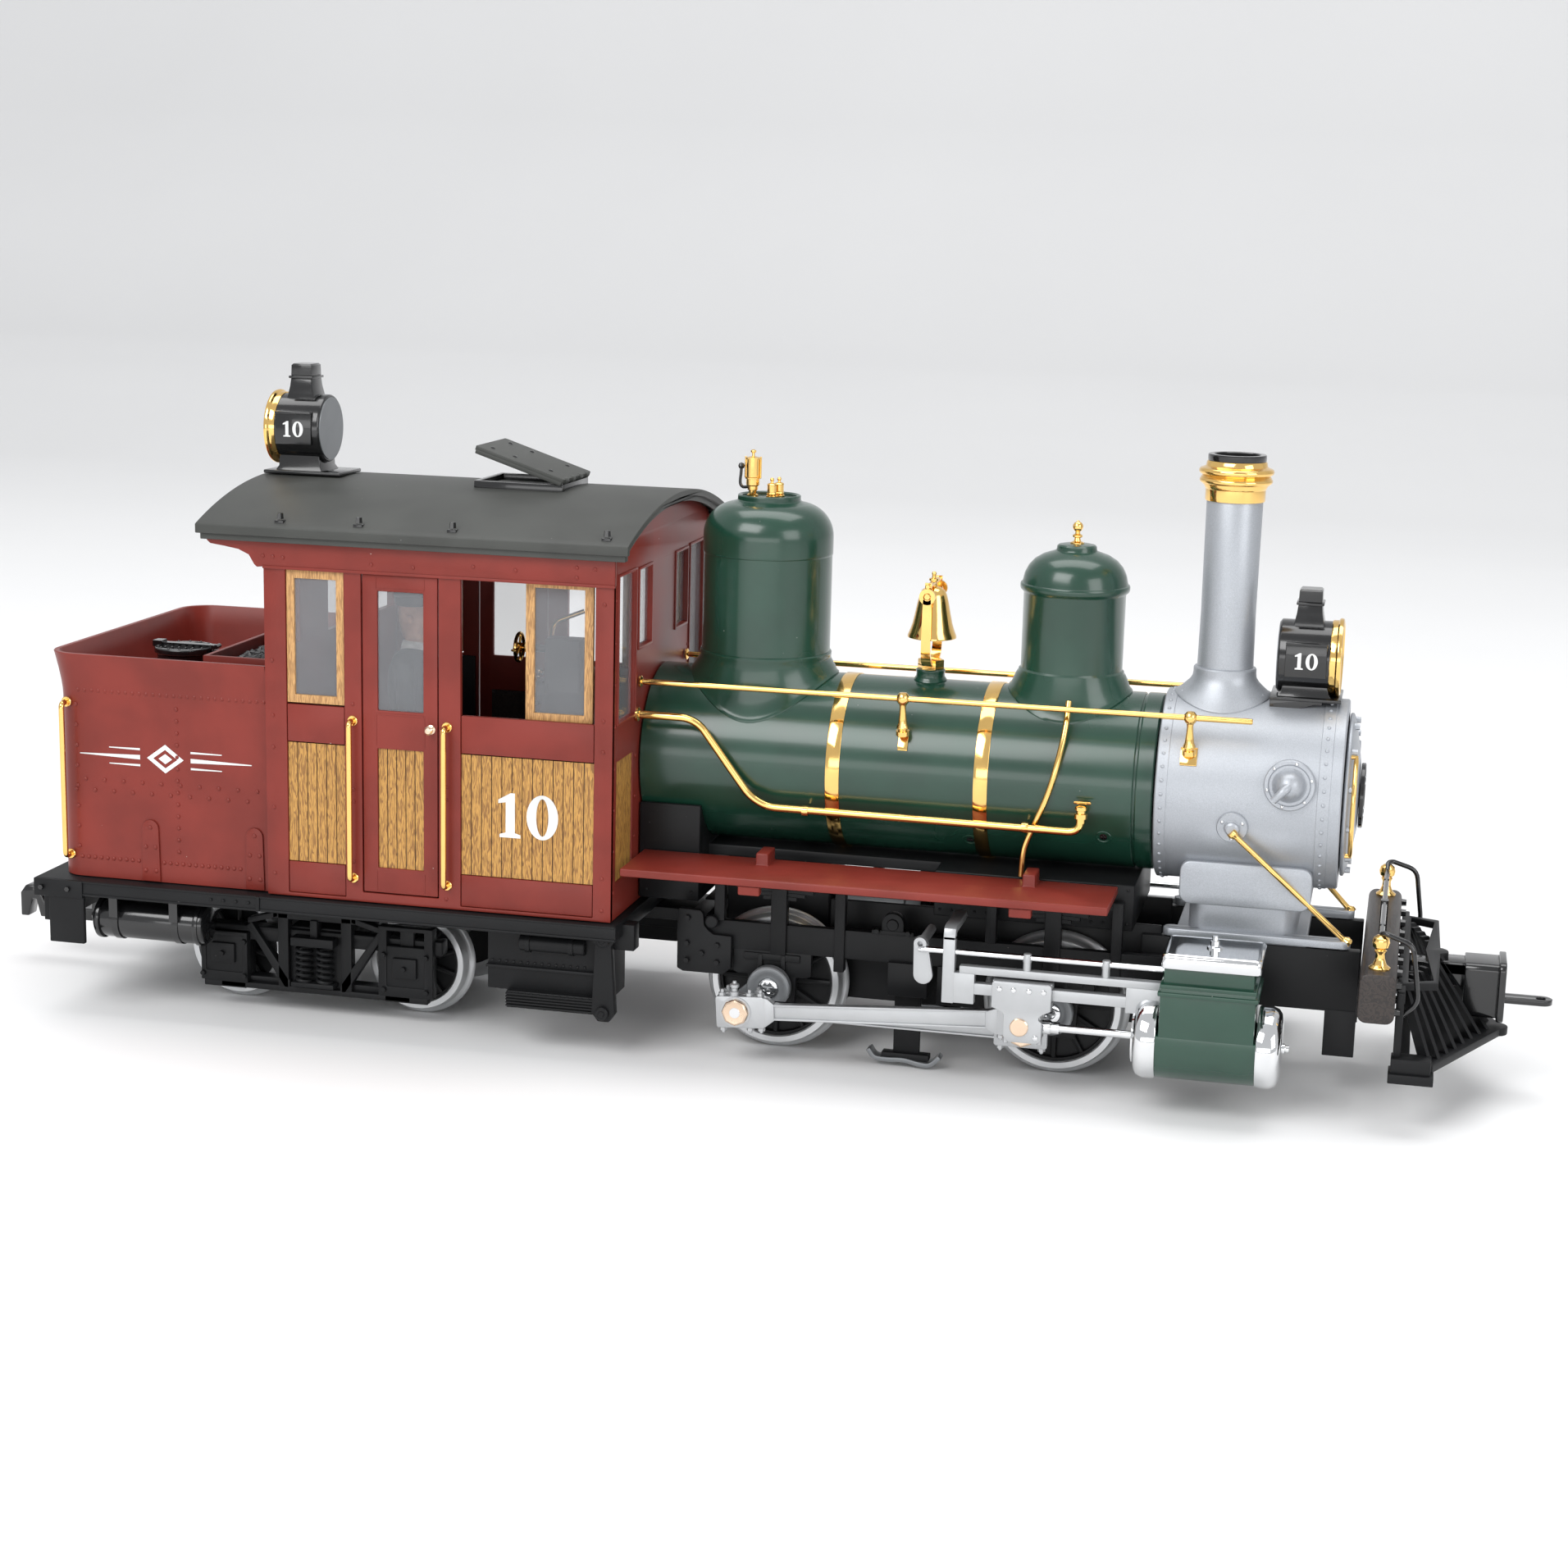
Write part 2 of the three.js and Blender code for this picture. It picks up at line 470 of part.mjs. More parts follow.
const coal = box(BUNKER.rear + 2, CAB.rear - 2.4, 2 - BUNKER.half, BUNKER.half - 2, TANK.deck + GAP, 117);
piece("coal_load", coal, COAL);

// ---- Cab ----
function archAt(y, drop) {
  return ROOF_APEX - drop - (ROOF_R - drop - Math.sqrt((ROOF_R - drop) ** 2 - y ** 2));
}
function houseOutline(half, low, drop) {
  const top = [];
  const steps = 10;
  for (let i = 0; i <= steps; i++) {
    const y = half - (2 * half * i) / steps;
    top.push([y, archAt(y, drop)]);
  }
  return outline([[-half, low], [half, low], ...top]);
}
const WINDOW = { low: 111, high: 154.4 };
const SIDE_HOLES = [[-50.4, -5.8, WINDOW.low, WINDOW.high], [-83.9, -57.8, 49.9, 154.6]];
const PANEL_Y = CAB.half - 1.4; // glazing and panels sit back from the outer face

function cabBody() {
  const roofDrop = ROOF.wall + GAP;
  const house = plateYZ(houseOutline(CAB.half, CAB.low, roofDrop), CAB.rear, CAB.front);
  const inside = CAB.half - CAB.wall;
  const hollow = box(CAB.rear + CAB.wall, CAB.front - CAB.wall, -inside, inside, CAB.low - 1, 190);
  const eaves = [-1, 1].map((s) =>
    box(CAB.rear + CAB.wall, CAB.front - CAB.wall, s < 0 ? -70 : 50, s < 0 ? -50 : 70, CAB.side, 190));
  const recess = (s, x0, x1, z0, z1) => {
    const [a, b] = s < 0 ? [-CAB.half - 1, -PANEL_Y] : [PANEL_Y, CAB.half + 1];
    return box(x0, x1, a, b, z0, z1);
  };
  const through = (s, [x0, x1, z0, z1]) =>
    box(x0, x1, s < 0 ? -CAB.half - 1 : CAB.half - 3, s < 0 ? 3 - CAB.half : CAB.half + 1, z0, z1);
  const cuts = [hollow, ...eaves];
  for (const s of [-1, 1]) {
    cuts.push(...SIDE_HOLES.map((hole) => through(s, hole)));
    cuts.push(recess(s, -109.3, -89.9, WINDOW.low, WINDOW.high));
  }
  for (const y of [-42, -22, 22, 42]) {
    const low = Math.abs(y) > 30 ? WINDOW.low : 132;
    const half = Math.abs(y) > 30 ? 9.5 : 7.5;
    cuts.push(box(-0.8, 1, y - half, y + half, low, 157));
    cuts.push(box(CAB.rear - 1, CAB.rear + 0.8, y - half, y + half, 126, 157));
  }
  const brackets = [-1, 1].map((s) => {
    const wing = outline([
      [CAB.rear + 1, 153.6], [CAB.rear + 1, CAB.side], [ROOF.rear + 2, CAB.side], [ROOF.rear + 1, 160.6],
      [-130, 159], [-122, 156],
    ]);
    return plateXZ(wing, s < 0 ? -CAB.half : CAB.half - 1.8, s < 0 ? 1.8 - CAB.half : CAB.half);
  });
  return join(cut(house, cuts), brackets);
}
piece("cab_body", cabBody(), RED);

const HATCH = { rear: -60, front: -32, half: 12.5, rim: 180.8, pivotX: -31, pivotZ: 182, open: 18 };

function roofShell() {
  const outer = houseOutline(ROOF.half, ROOF.lip, 0);
  const slab = plateYZ(outer, ROOF.rear, ROOF.front);
  const under = houseOutline(ROOF.half - 2, ROOF.lip - 5, ROOF.wall);
  const hollow = plateYZ(under, ROOF.rear - 1, ROOF.front + 1);
  const coaming = box(HATCH.rear - 1.5, HATCH.front + 1.5, -HATCH.half - 1.5, HATCH.half + 1.5, 177.2,
    HATCH.rim);
  const opening = box(HATCH.rear, HATCH.front, -HATCH.half, HATCH.half, 170, 190);
  return cut(join(cut(slab, hollow), coaming), opening);
}
piece("cab_roof", roofShell(), ROOF_GREY);

const hatchPanel = box(HATCH.rear - 2 - HATCH.pivotX, 0.8, -15, 15, -0.6, 0.8);
const hatchKnuckles = join(
  bar("y", 0.9, -11, -6, 0, 0, 8),
  bar("y", 0.9, 6, 11, 0, 0, 8),
);
const hatch = piece("roof_hatch", join(hatchPanel, hatchKnuckles), ROOF_GREY);
hatch.position.set(HATCH.pivotX, 0, HATCH.pivotZ);
hatch.rotation.y = degrees(HATCH.open);

function cabDoor() {
  const leaf = box(-83.5, -58.2, -57.3, -55.7, 50.3, 154.2);
  const pane = box(-78.2, -62.8, -58, -56.8, 110.5, 149);
  const knob = bar("y", 1.2, -60, -57, -60.2, 105.6, 10);
  const pull = bar("y", 1.2, -56, -54, -60.2, 105.6, 10);
  return join(cut(leaf, pane), knob, pull);
}
pair("cab_door", cabDoor(), WOOD);

const SASH = { y0: -54.9, y1: -53.4, rear: -30, front: -7, low: 109.5, high: 156 };
const sash = cut(
  box(SASH.rear, SASH.front, SASH.y0, SASH.y1, SASH.low, SASH.high),
  box(SASH.rear + 3, SASH.front - 3, SASH.y0 - 1, SASH.y0 + 0.6, SASH.low + 3.4, SASH.high - 3.4),
);
pair("window_sash", sash, WOOD);

// ---- Boiler and fittings ----
function barrelX(r, a, b, sides = 28) {
  return bar("x", r, a, b, 0, BOILER.z, sides);
}
piece("boiler_barrel", barrelX(BOILER.r, BOILER.start, BOILER.end), GREEN);

const firebox = join(
  box(0.6, 21, -27, 27, 48, 80),
  box(99, 163, -27, 27, 50, 64.9),
  box(20, 100, -15, 15, 61.2, 64.9),
);
piece("firebox_base", cut(firebox, barrelX(BOILER.r + GAP, 0, 30)), BLACK);

const backheadShape = outline([[-25, 52], [25, 52], [25, BOILER.z], ...Array.from({ length: 11 }, (_, i) => {
  const a = (Math.PI * i) / 10;
  return [25 * Math.cos(a), BOILER.z + 25 * Math.sin(a)];
}).slice(1)]);
const backhead = join(
  plateYZ(backheadShape, -36, CAB.front - CAB.wall - 0.5),
  bar("x", 4.5, -39, -35, -13, 112, 16),
  bar("x", 4.5, -39, -35, 13, 112, 16),
  box(-36, -24, -16, -8, 108, 130),
  bar("x", 1.3, -43, -35, -12, 126, 10),
);
piece("backhead", backhead, BLACK);
const THROTTLE = { x: -46, y: -12, z: 126, r: 4.6 };
const rimPath = new THREE.TorusGeometry(THROTTLE.r, 0.7, 5, 14).rotateY(Math.PI / 2);
const SPOKES = 5;
const spokes = Array.from({ length: SPOKES }, (_, i) => {
  const spoke = new THREE.BoxGeometry(1.2, 1, THROTTLE.r).translate(0, 0, THROTTLE.r / 2);
  return solid(spoke.rotateX((i * 2 * Math.PI) / SPOKES));
});
const throttleWheel = piece("throttle_wheel", join(bar("x", 1.5, -1.2, 2.4, 0, 0, 12), solid(rimPath),
  spokes), BRASS);
throttleWheel.position.set(THROTTLE.x, THROTTLE.y, THROTTLE.z);

// The driver stands on the cab floor, one hand towards the controls.
function driverFigure() {
  const [x, y, floor] = [-76, -30, DECK.top + 0.5];
  const legs = [-4.6, 4.6].map((d) => box(x - 4, x + 5, y + d - 3.8, y + d + 3.8, floor, floor + 42));
  const torso = turned([[0, floor + 40], [9, floor + 40], [11, floor + 62], [9, floor + 76], [3.4,
    floor + 80],
    [0, floor + 80]], x, y, 14);
  const head = turned([[0, floor + 77], [3.6, floor + 79], [5.6, floor + 87], [5.8, floor + 93], [3.4,
    floor + 98],
    [0, floor + 98.6]], x, y, 14);
  const arms = [-1, 1].map((s) => tube([[x, y + s * 9, floor + 73], [x + 2, y + s * 12.4, floor + 60],
    [x + 13, y + s * 9, floor + 53]], 3, 8, 8));
  return join(legs, torso, head, arms);
}
piece("driver_figure", driverFigure(), CLOTH);

const saddleCut = barrelX(SMOKEBOX.r + GAP, 150, 240);
const smokeboxBody = turnedX([
  [0, BOILER.end + GAP], [SMOKEBOX.r, BOILER.end + GAP], [SMOKEBOX.r, SMOKEBOX.ringEnd],
  [SMOKEBOX.bore, SMOKEBOX.ringEnd], [SMOKEBOX.bore, SMOKEBOX.bulkhead], [0, SMOKEBOX.bulkhead],
], 0, BOILER.z, 28);
const cleanOut = bar("y", 6.4, -33, -27, 206, BOILER.z + 2, 20);
const cleanOutDome = bar("y", 2.4, -36, -30, 206, BOILER.z + 2, 12);
const steamBoss = bar("y", 3.6, -34, -26, 193, BOILER.z - 8, 16);
piece("smokebox", join(smokeboxBody, cleanOut, cleanOutDome, steamBoss), SILVER);

const DOOR = { x: SMOKEBOX.ringEnd + GAP, r: 26 };
const smokeboxDoor = join(
  turnedX([
    [0, DOOR.x], [DOOR.r, DOOR.x], [DOOR.r, DOOR.x + 1], [21, DOOR.x + 3.2], [10.6, DOOR.x + 4.4],
    [10.6, DOOR.x + 6], [0, DOOR.x + 6],
  ], 0, BOILER.z, 28),
  box(DOOR.x + 1, DOOR.x + 3, 8, 27.5, BOILER.z + 8, BOILER.z + 11),
  box(DOOR.x + 1, DOOR.x + 3, 8, 27.5, BOILER.z - 11, BOILER.z - 8),
);
piece("smokebox_door", smokeboxDoor, SILVER);

function mounted(profile, x, sides, skirt) {
  // A fitting turned about an upright line, cut to sit on the barrel below it.
  return cut(turned(profile, x, 0, sides), barrelX(skirt + GAP, x - 40, x + 40));
}
const STACK = { x: 185.3, r: 8.8 };
const stack = mounted([
  [0, 105], [15.5, 105], [15.5, 122.6], [12, 126.2], [10.2, 128], [STACK.r, 129.5], [STACK.r, 185],
    [10.2, 188],
  [11.6, 194.2], [9.6, 196.4], [8.6, 197], [8.6, 200], [7, 200], [7, 170], [0, 170],
], STACK.x, 20, SMOKEBOX.r);
piece("smokestack", stack, SILVER);

const DOME = { x: 35.3, r: 21.1 };
const dome = mounted([
  [0, 100], [24, 100], [24, 113.5], [22.4, 121], [DOME.r, 127], [DOME.r, 162], [20.2, 168], [17, 173.6],
    [12, 177],
  [10.3, 178], [10.3, 179.6], [0, 179.6],
], DOME.x, 24, BOILER.r);
piece("steam_dome", dome, GREEN);
const whistle = join(
  turned([[0, 179.9], [2, 179.9], [2, 183], [2.6, 184], [2.6, 193], [1, 195.2], [0, 195.2]], 30, 0, 14),
  bar("x", 0.9, 26.6, 38, 0, 181.4, 8),
  turned([[0, 179.9], [1.8, 179.9], [1.8, 183], [0, 185]], 37.5, 0, 12),
);
piece("whistle", whistle, BRASS);

const SAND = { x: 136.4, r: 16.3 };
const sandDome = mounted([
  [0, 100], [20, 100], [20, 119.5], [17.6, 124], [SAND.r, 128], [SAND.r, 153.4], [17.4, 155], [17.4, 157.6],
  [14, 163], [6, 167], [3.2, 168], [2.4, 173], [0, 175.8],
], SAND.x, 20, BOILER.r);
piece("sand_dome", sandDome, GREEN);

const BELL = { x: 90.6, pivot: 150.5, rim: 7.9 };
const bellArms = [-1, 1].map((s) => {
  const y = s * 10.4;
  return join(
    box(BELL.x - 1.4, BELL.x + 1.4, Math.min(y, y + s * 1.6), Math.max(y, y + s * 1.6), 126, 152.2),
    box(BELL.x - 1.4, BELL.x + 1.4, Math.min(0, s * 12), Math.max(0, s * 12), 125.4, 128),
  );
});
const bellBase = bar("z", 5.2, 108, 126, BELL.x, 0, 16);
const bellStand = cut(join(bellArms, bellBase), barrelX(BOILER.r + GAP, 60, 120),
  [-1, 1].map((s) => bar("y", 1.25, s < 0 ? -13 : 9, s < 0 ? -9 : 13, BELL.x, BELL.pivot, 12)));
piece("bell_stand", bellStand, BRASS);
const bellShell = turned([
  [0, 157], [1.4, 156.6], [1.6, 153], [4.6, 152], [5.4, 148], [5.8, 142], [BELL.rim, 136], [6.6, 136],
    [4.6, 143],
  [4, 148], [0, 149.6],
].reverse(), BELL.x, 0, 16);
const bellYoke = bar("y", 0.9, -11.6, 11.6, BELL.x, BELL.pivot, 10);
const clapper = join(bar("z", 0.6, 138, 151, BELL.x, 0, 8), bar("z", 1.5, 136.6, 139.6, BELL.x, 0, 10));
piece("bell", join(bellShell, bellYoke, clapper), BRASS);

function headlamp(x0, x1, z, r, facing, base, roofY) {
  const [back, lens] = facing > 0 ? [x0, x1] : [x1, x0];
  const shell = bar("x", r, Math.min(back, lens), Math.max(back, lens), 0, z, 20);
  const rimAt = facing > 0 ? [lens - 3, lens + 1.6] : [lens - 1.6, lens + 3];
  const rim = bar("x", r + 0.6, rimAt[0], rimAt[1], 0, z, 20);
  const hollow = facing > 0 ? bar("x", r - 1.6, lens - 4, lens + 3, 0, z, 20) : bar("x", r - 1.6,
    lens - 3, lens + 4, 0, z, 20);
  const middle = (x0 + x1) / 2;
  const chimney = turned([[0, z], [4, z], [4, z + r + 5], [5, z + r + 6], [5, z + r + 8.4], [0, z + r + 10]],
    middle, 0, 16);
  const foot = box(base[0], base[1], -roofY, roofY, base[2], z - r + 2.5);
  return cut(join(shell, rim, chimney, foot), hollow);
}
const frontLamp = join(
  headlamp(203, 219.6, 137.6, 12.2, 1, [203, 219, 124], 8),
  box(200, 222.8, -11.5, 11.5, 124.3, 126),
  [-9.5, 9.5].map((y) => plateXZ(outline([[200, 125], [218, 125], [203, 119.2], [200, 119.2]]), y - 0.8,
    y + 0.8)),
);
piece("front_headlamp", cut(frontLamp, barrelX(SMOKEBOX.r + GAP, 150, 240)), BLACK);
const rearLamp = headlamp(-136, -116.4, 194.8, 11.4, -1, [-137, -111, 179.4], 9);
piece("rear_headlamp", rearLamp, BLACK);

function handrail() {
  const rail = bar("x", 0.8, 1, 196.6, -28.5, 120.2, 8);
  const posts = [87, 177.5].map((x) => box(x - 1, x + 1, -29.4, -26.4, 107.5, 120.6));
  return cut(join(rail, posts), barrelX(SMOKEBOX.r + GAP, 160, 230), barrelX(BOILER.r + GAP, 0, 160));
}
pair("handrail", handrail(), BRASS);

const pipeRun = [[1.4, -30.6, 110], [17, -30.4, 109.5], [28, -31.2, 98], [41, -32, 83], [60, -32, 82],
  [143, -32, 82]];
const pipe = join(
  tube(pipeRun, 1.3, 8, 16),
  bar("z", 1.4, 80, 91, 145, -32, 8),
  bar("x", 1.4, 141, 149, -32, 82, 8),
);
piece("water_pipe", cut(pipe, barrelX(BOILER.r + GAP, 0, 160)), BRASS);

function runningBoard() {
  const board = box(3, 158, -58, -29.6, 62.4, 65);
  const lips = [45, 131].map((x) => box(x - 3.5, x + 3.5, -57.4, -54, 59.4, 62.6));
  const stays = [45, 131].map((x) => box(x - 2, x + 2, -40, -29.6, 64.8, 69));
  return join(board, lips, stays);
}
pair("running_board", cut(runningBoard(), barrelX(BOILER.r + GAP, 0, 170)), RED);

// ---- Front end ----
const saddle = join(
  cut(box(179.5, 213.6, -20, 20, 50.4, 80), saddleCut),
  box(174.4, 230.6, -22, -17, 48.4, 50.8),
  box(174.4, 230.6, 17, 22, 48.4, 50.8),
  box(174.4, 213.6, -22, 22, 48.4, 50.8),
  cut(box(176.6, 217.6, -25, 25, 60, 74), saddleCut, box(170, 220, -23, 23, 50, 68)),
);
piece("saddle", saddle, SILVER);

const beam = box(BEAM.rear, BEAM.front, -BEAM.half, BEAM.half, BEAM.low, BEAM.high);
const LIFT_BAR = { x: 240, z: 59.5 };
const liftBar = join(
  bar("y", 0.7, -50, 50, LIFT_BAR.x, LIFT_BAR.z, 8),
  [-47, 47].map((y) => bar("z", 1, BEAM.high - 1, LIFT_BAR.z + 0.8, LIFT_BAR.x, y, 8)),
);
piece("front_beam", join(beam, liftBar), DARK_WOOD);

const PILOT = { rear: 245.9, nose: 281, half: 53, low: 19.4 };
function pilotFrame() {
  const ring = (half, nose, z0, z1, wide) => {
    const corner = PILOT.rear + 12;
    const shape = outline([[PILOT.rear, -half], [corner, -half + 4], [nose, 0], [corner, half - 4],
      [PILOT.rear, half]]);
    const hole = outline([
      [PILOT.rear + wide, -half + wide], [corner - wide, -half + 4 + wide], [nose - wide * 2, 0],
      [corner - wide, half - 4 - wide], [PILOT.rear + wide, half - wide],
    ]);
    return cut(plateXY(shape, z0, z1), plateXY(hole, z0 - 1, z1 + 1));
  };
  const bottom = ring(PILOT.half, PILOT.nose, PILOT.low, PILOT.low + 2.6, 3);
  const top = ring(46, 262, 42, 45, 3);
  const back = [-48, -32, -16, 0, 16, 32, 48].map((y) => box(PILOT.rear, PILOT.rear + 2.4, y - 1.6,
    y + 1.6, 20, 44));
  const slats = [];
  for (const s of [-1, 1]) {
    for (let i = 0; i < 5; i++) {
      const t = i * 0.17;
      const corner = PILOT.rear + 12;
      const low = [corner + (PILOT.nose - corner) * t - 1.8, s * (PILOT.half - 4) * (1 - t), 20.6];
      const high = [corner + (262 - corner) * t - 1.8, s * 42 * (1 - t), 44];
      slats.push(tube([low, [(low[0] + high[0]) / 2, (low[1] + high[1]) / 2, 32], high], 1.6, 4, 3));
    }
  }
  return join(bottom, top, back, slats);
}
piece("pilot", pilotFrame(), BLACK);

const POCKET = { flange: 279, half: 8, low: 26, high: 43.6 };
const pocket = cut(
  join(
    box(266, POCKET.flange, -POCKET.half, POCKET.half, POCKET.low, POCKET.high),
    box(POCKET.flange - 2, POCKET.flange, -POCKET.half - 1.4, POCKET.half + 1.4, POCKET.low - 1,
      POCKET.high + 1),
    box(245.8, 267, -5, 5, 45.3, 47.6),
    box(263, 267, -5, 5, POCKET.low + 2, 47.6),
  ),
  box(267.5, POCKET.flange + 1, -6, 6, 28.4, 34),
);
const DRAWBAR = {
  pinX: 271.5, low: 30.3, high: 32.1, pinHole: 1.6, eye: 1.5, eyeIn: 3.6, faceRear: 280, relief: 0.2,
};
const drawPin = bar("z", 1.2, POCKET.low + 1, POCKET.high - 1, DRAWBAR.pinX, 0, 12);
piece("coupler_pocket", join(pocket, drawPin), BLACK);
const drawbarShape = roundedRect(DRAWBAR.pinX - 3, FRONT_END, -3.4, 3.4, 3.3);
const drawbarHoles = [
  bar("z", DRAWBAR.pinHole, 25, 40, DRAWBAR.pinX, 0, 12),
  bar("z", DRAWBAR.eye, 25, 40, FRONT_END - DRAWBAR.eyeIn, 0, 12),
];
const relief = box(260, DRAWBAR.faceRear, -5, 5, DRAWBAR.high - DRAWBAR.relief, DRAWBAR.high + 1);
piece("front_drawbar", cut(plateXY(drawbarShape, DRAWBAR.low, DRAWBAR.high), drawbarHoles, relief), BLACK);

const rearCouplerShape = outline([
  [-206, 20], [-226, 20], [-229, 26.8], [-234, 26.8], [REAR_END, 24], [REAR_END, 15.5], [-233, 15.5],
    [-231.6, 22],
  [-230, 22], [-228.4, 15.6], [-206, 15.6],
]);
const rearCoupler = join(
  plateXZ(rearCouplerShape, -3, 3),
  box(-208, -201, -4, 4, 20, 27),
  cut(bar("z", 5, 19, 29.4, COUPLER_PIN_X, 0, 16), bar("z", 1.9, 10, 40, COUPLER_PIN_X, 0, 12)),
);
piece("rear_coupler", rearCoupler, BLACK);
function pickupShoe() {
  const shoe = outline([[80, 5], [83, 1.4], [92, 1.2], [99, 0.6], [104, 3.6], [104, 5], [99, 3], [92,
    4], [84, 4]]);
  return join(plateXZ(shoe, -33.5, -28.5), box(88, 97, -31.8, -29.8, 3, 31.6));
}
pair("pickup_shoe", pickupShoe(), STEEL);

export default engine;
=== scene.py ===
import json
import math
from collections import namedtuple

import bmesh
import bpy
from bpy.props import FloatProperty, FloatVectorProperty, IntProperty, PointerProperty
from bpy.types import Operator, Panel, PropertyGroup
from mathutils import Matrix, Vector
from mathutils.geometry import tessellate_polygon

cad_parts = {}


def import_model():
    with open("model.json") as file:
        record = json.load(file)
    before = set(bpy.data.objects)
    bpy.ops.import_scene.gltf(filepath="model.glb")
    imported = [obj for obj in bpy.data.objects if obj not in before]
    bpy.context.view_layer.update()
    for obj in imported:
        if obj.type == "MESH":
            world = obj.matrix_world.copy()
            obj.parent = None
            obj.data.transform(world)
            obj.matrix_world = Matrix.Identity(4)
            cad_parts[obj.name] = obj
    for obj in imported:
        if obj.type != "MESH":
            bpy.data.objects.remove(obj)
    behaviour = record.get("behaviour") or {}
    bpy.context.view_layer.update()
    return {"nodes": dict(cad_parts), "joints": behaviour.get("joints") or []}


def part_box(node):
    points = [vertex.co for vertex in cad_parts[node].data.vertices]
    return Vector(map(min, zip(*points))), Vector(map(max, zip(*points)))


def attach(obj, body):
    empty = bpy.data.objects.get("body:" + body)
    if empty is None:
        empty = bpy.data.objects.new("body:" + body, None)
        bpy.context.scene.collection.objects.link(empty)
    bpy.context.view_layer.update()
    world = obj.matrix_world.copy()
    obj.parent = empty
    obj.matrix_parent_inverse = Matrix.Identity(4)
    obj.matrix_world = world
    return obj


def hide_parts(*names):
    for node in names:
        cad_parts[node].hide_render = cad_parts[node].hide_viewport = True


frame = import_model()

bl_info = {"name": "Model steam engine", "version": (1, 0, 0), "blender": (4, 5, 0),
    "location": "View3D > Sidebar > Engine",
    "description": "Dresses the frame of a model tank engine in its paint, rivets, brass and glass",
    "category": "Object",}

# Every length below is in millimetres. x is measured from the cab's front wall, z from the rail.
MM = 0.001
CAB_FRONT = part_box("cab_body")[1].x
SIDES = (("right", -1), ("left", 1))

Box = namedtuple("Box", "x0 x1 y0 y1 z0 z1")


def box_of(node):
    """A CAD node's box in the engine's own millimetres."""
    low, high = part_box(node)
    return Box((low.x - CAB_FRONT) / MM, (high.x - CAB_FRONT) / MM, low.y / MM, high.y / MM, low.z / MM,
        high.z / MM)


def joint_at(name):
    """A joint's place in the engine's own millimetres."""
    joint = next(j for j in frame["joints"] if j["name"] == name)
    x, y, z = joint["pos_m"]
    return Vector(((x - CAB_FRONT) / MM, y / MM, z / MM))


# ---- Sizes and colours that a user would change ----


class EngineSizes(PropertyGroup):
    """Sizes of the fittings, in millimetres."""

    edge: FloatProperty(name="Edge", description="Width of a softened edge", default=0.25, min=0.05)
    rivet: FloatProperty(name="Rivet", description="Radius of a tank rivet", default=0.7, min=0.1)
    rail: FloatProperty(name="Rail", description="Radius of a brass rail", default=0.95, min=0.2)
    plank: FloatProperty(name="Plank", description="Pitch of the cab's planking", default=3.42, min=1)
    coal_seed: IntProperty(name="Coal seed", description="Arrangement of the coal lumps", default=7)
    lens: FloatProperty(name="Lens", description="Focal length of the camera", default=63.6, unit="CAMERA")


def colour_property(name, default):
    return FloatVectorProperty(name=name, description=f"Paint colour of {name.lower()}", subtype="COLOR",
        size=3, default=default, min=0, max=1)


class EngineColours(PropertyGroup):
    """Paint colours, as linear light."""

    body: colour_property("Cab and tank", (0.182, 0.0245, 0.017))
    roof: colour_property("Roof", (0.047, 0.049, 0.045))
    frames: colour_property("Frames", (0.0085, 0.0088, 0.0095))
    boiler: colour_property("Boiler", (0.008, 0.043, 0.026))
    smokebox: colour_property("Smokebox", (0.40, 0.42, 0.45))
    planks: colour_property("Planks", (0.46, 0.24, 0.055))
    sashes: colour_property("Sashes", (0.52, 0.29, 0.11))


# ---- Materials ----


class Signal:
    """A number that runs through a material's nodes, so that sums read as sums."""

    def __init__(self, paint, socket):
        self.paint = paint
        self.socket = socket

    def __add__(self, other):
        return self.paint.sum("ADD", self, other)

    def __sub__(self, other):
        return self.paint.sum("SUBTRACT", self, other)

    def __rsub__(self, other):
        return self.paint.sum("SUBTRACT", other, self)

    def __mul__(self, other):
        return self.paint.sum("MULTIPLY", self, other)

    __radd__ = __add__
    __rmul__ = __mul__

    def above(self, edge):
        return self.paint.sum("GREATER_THAN", self, edge)

    def ease(self, low, high):
        """0 below low, 1 above high, smooth between."""
        spread = self.paint.node("ShaderNodeMapRange", {"interpolation_type": "SMOOTHSTEP"},
            {0: self, 1: low, 2: high})
        return Signal(self.paint, spread.outputs[0])


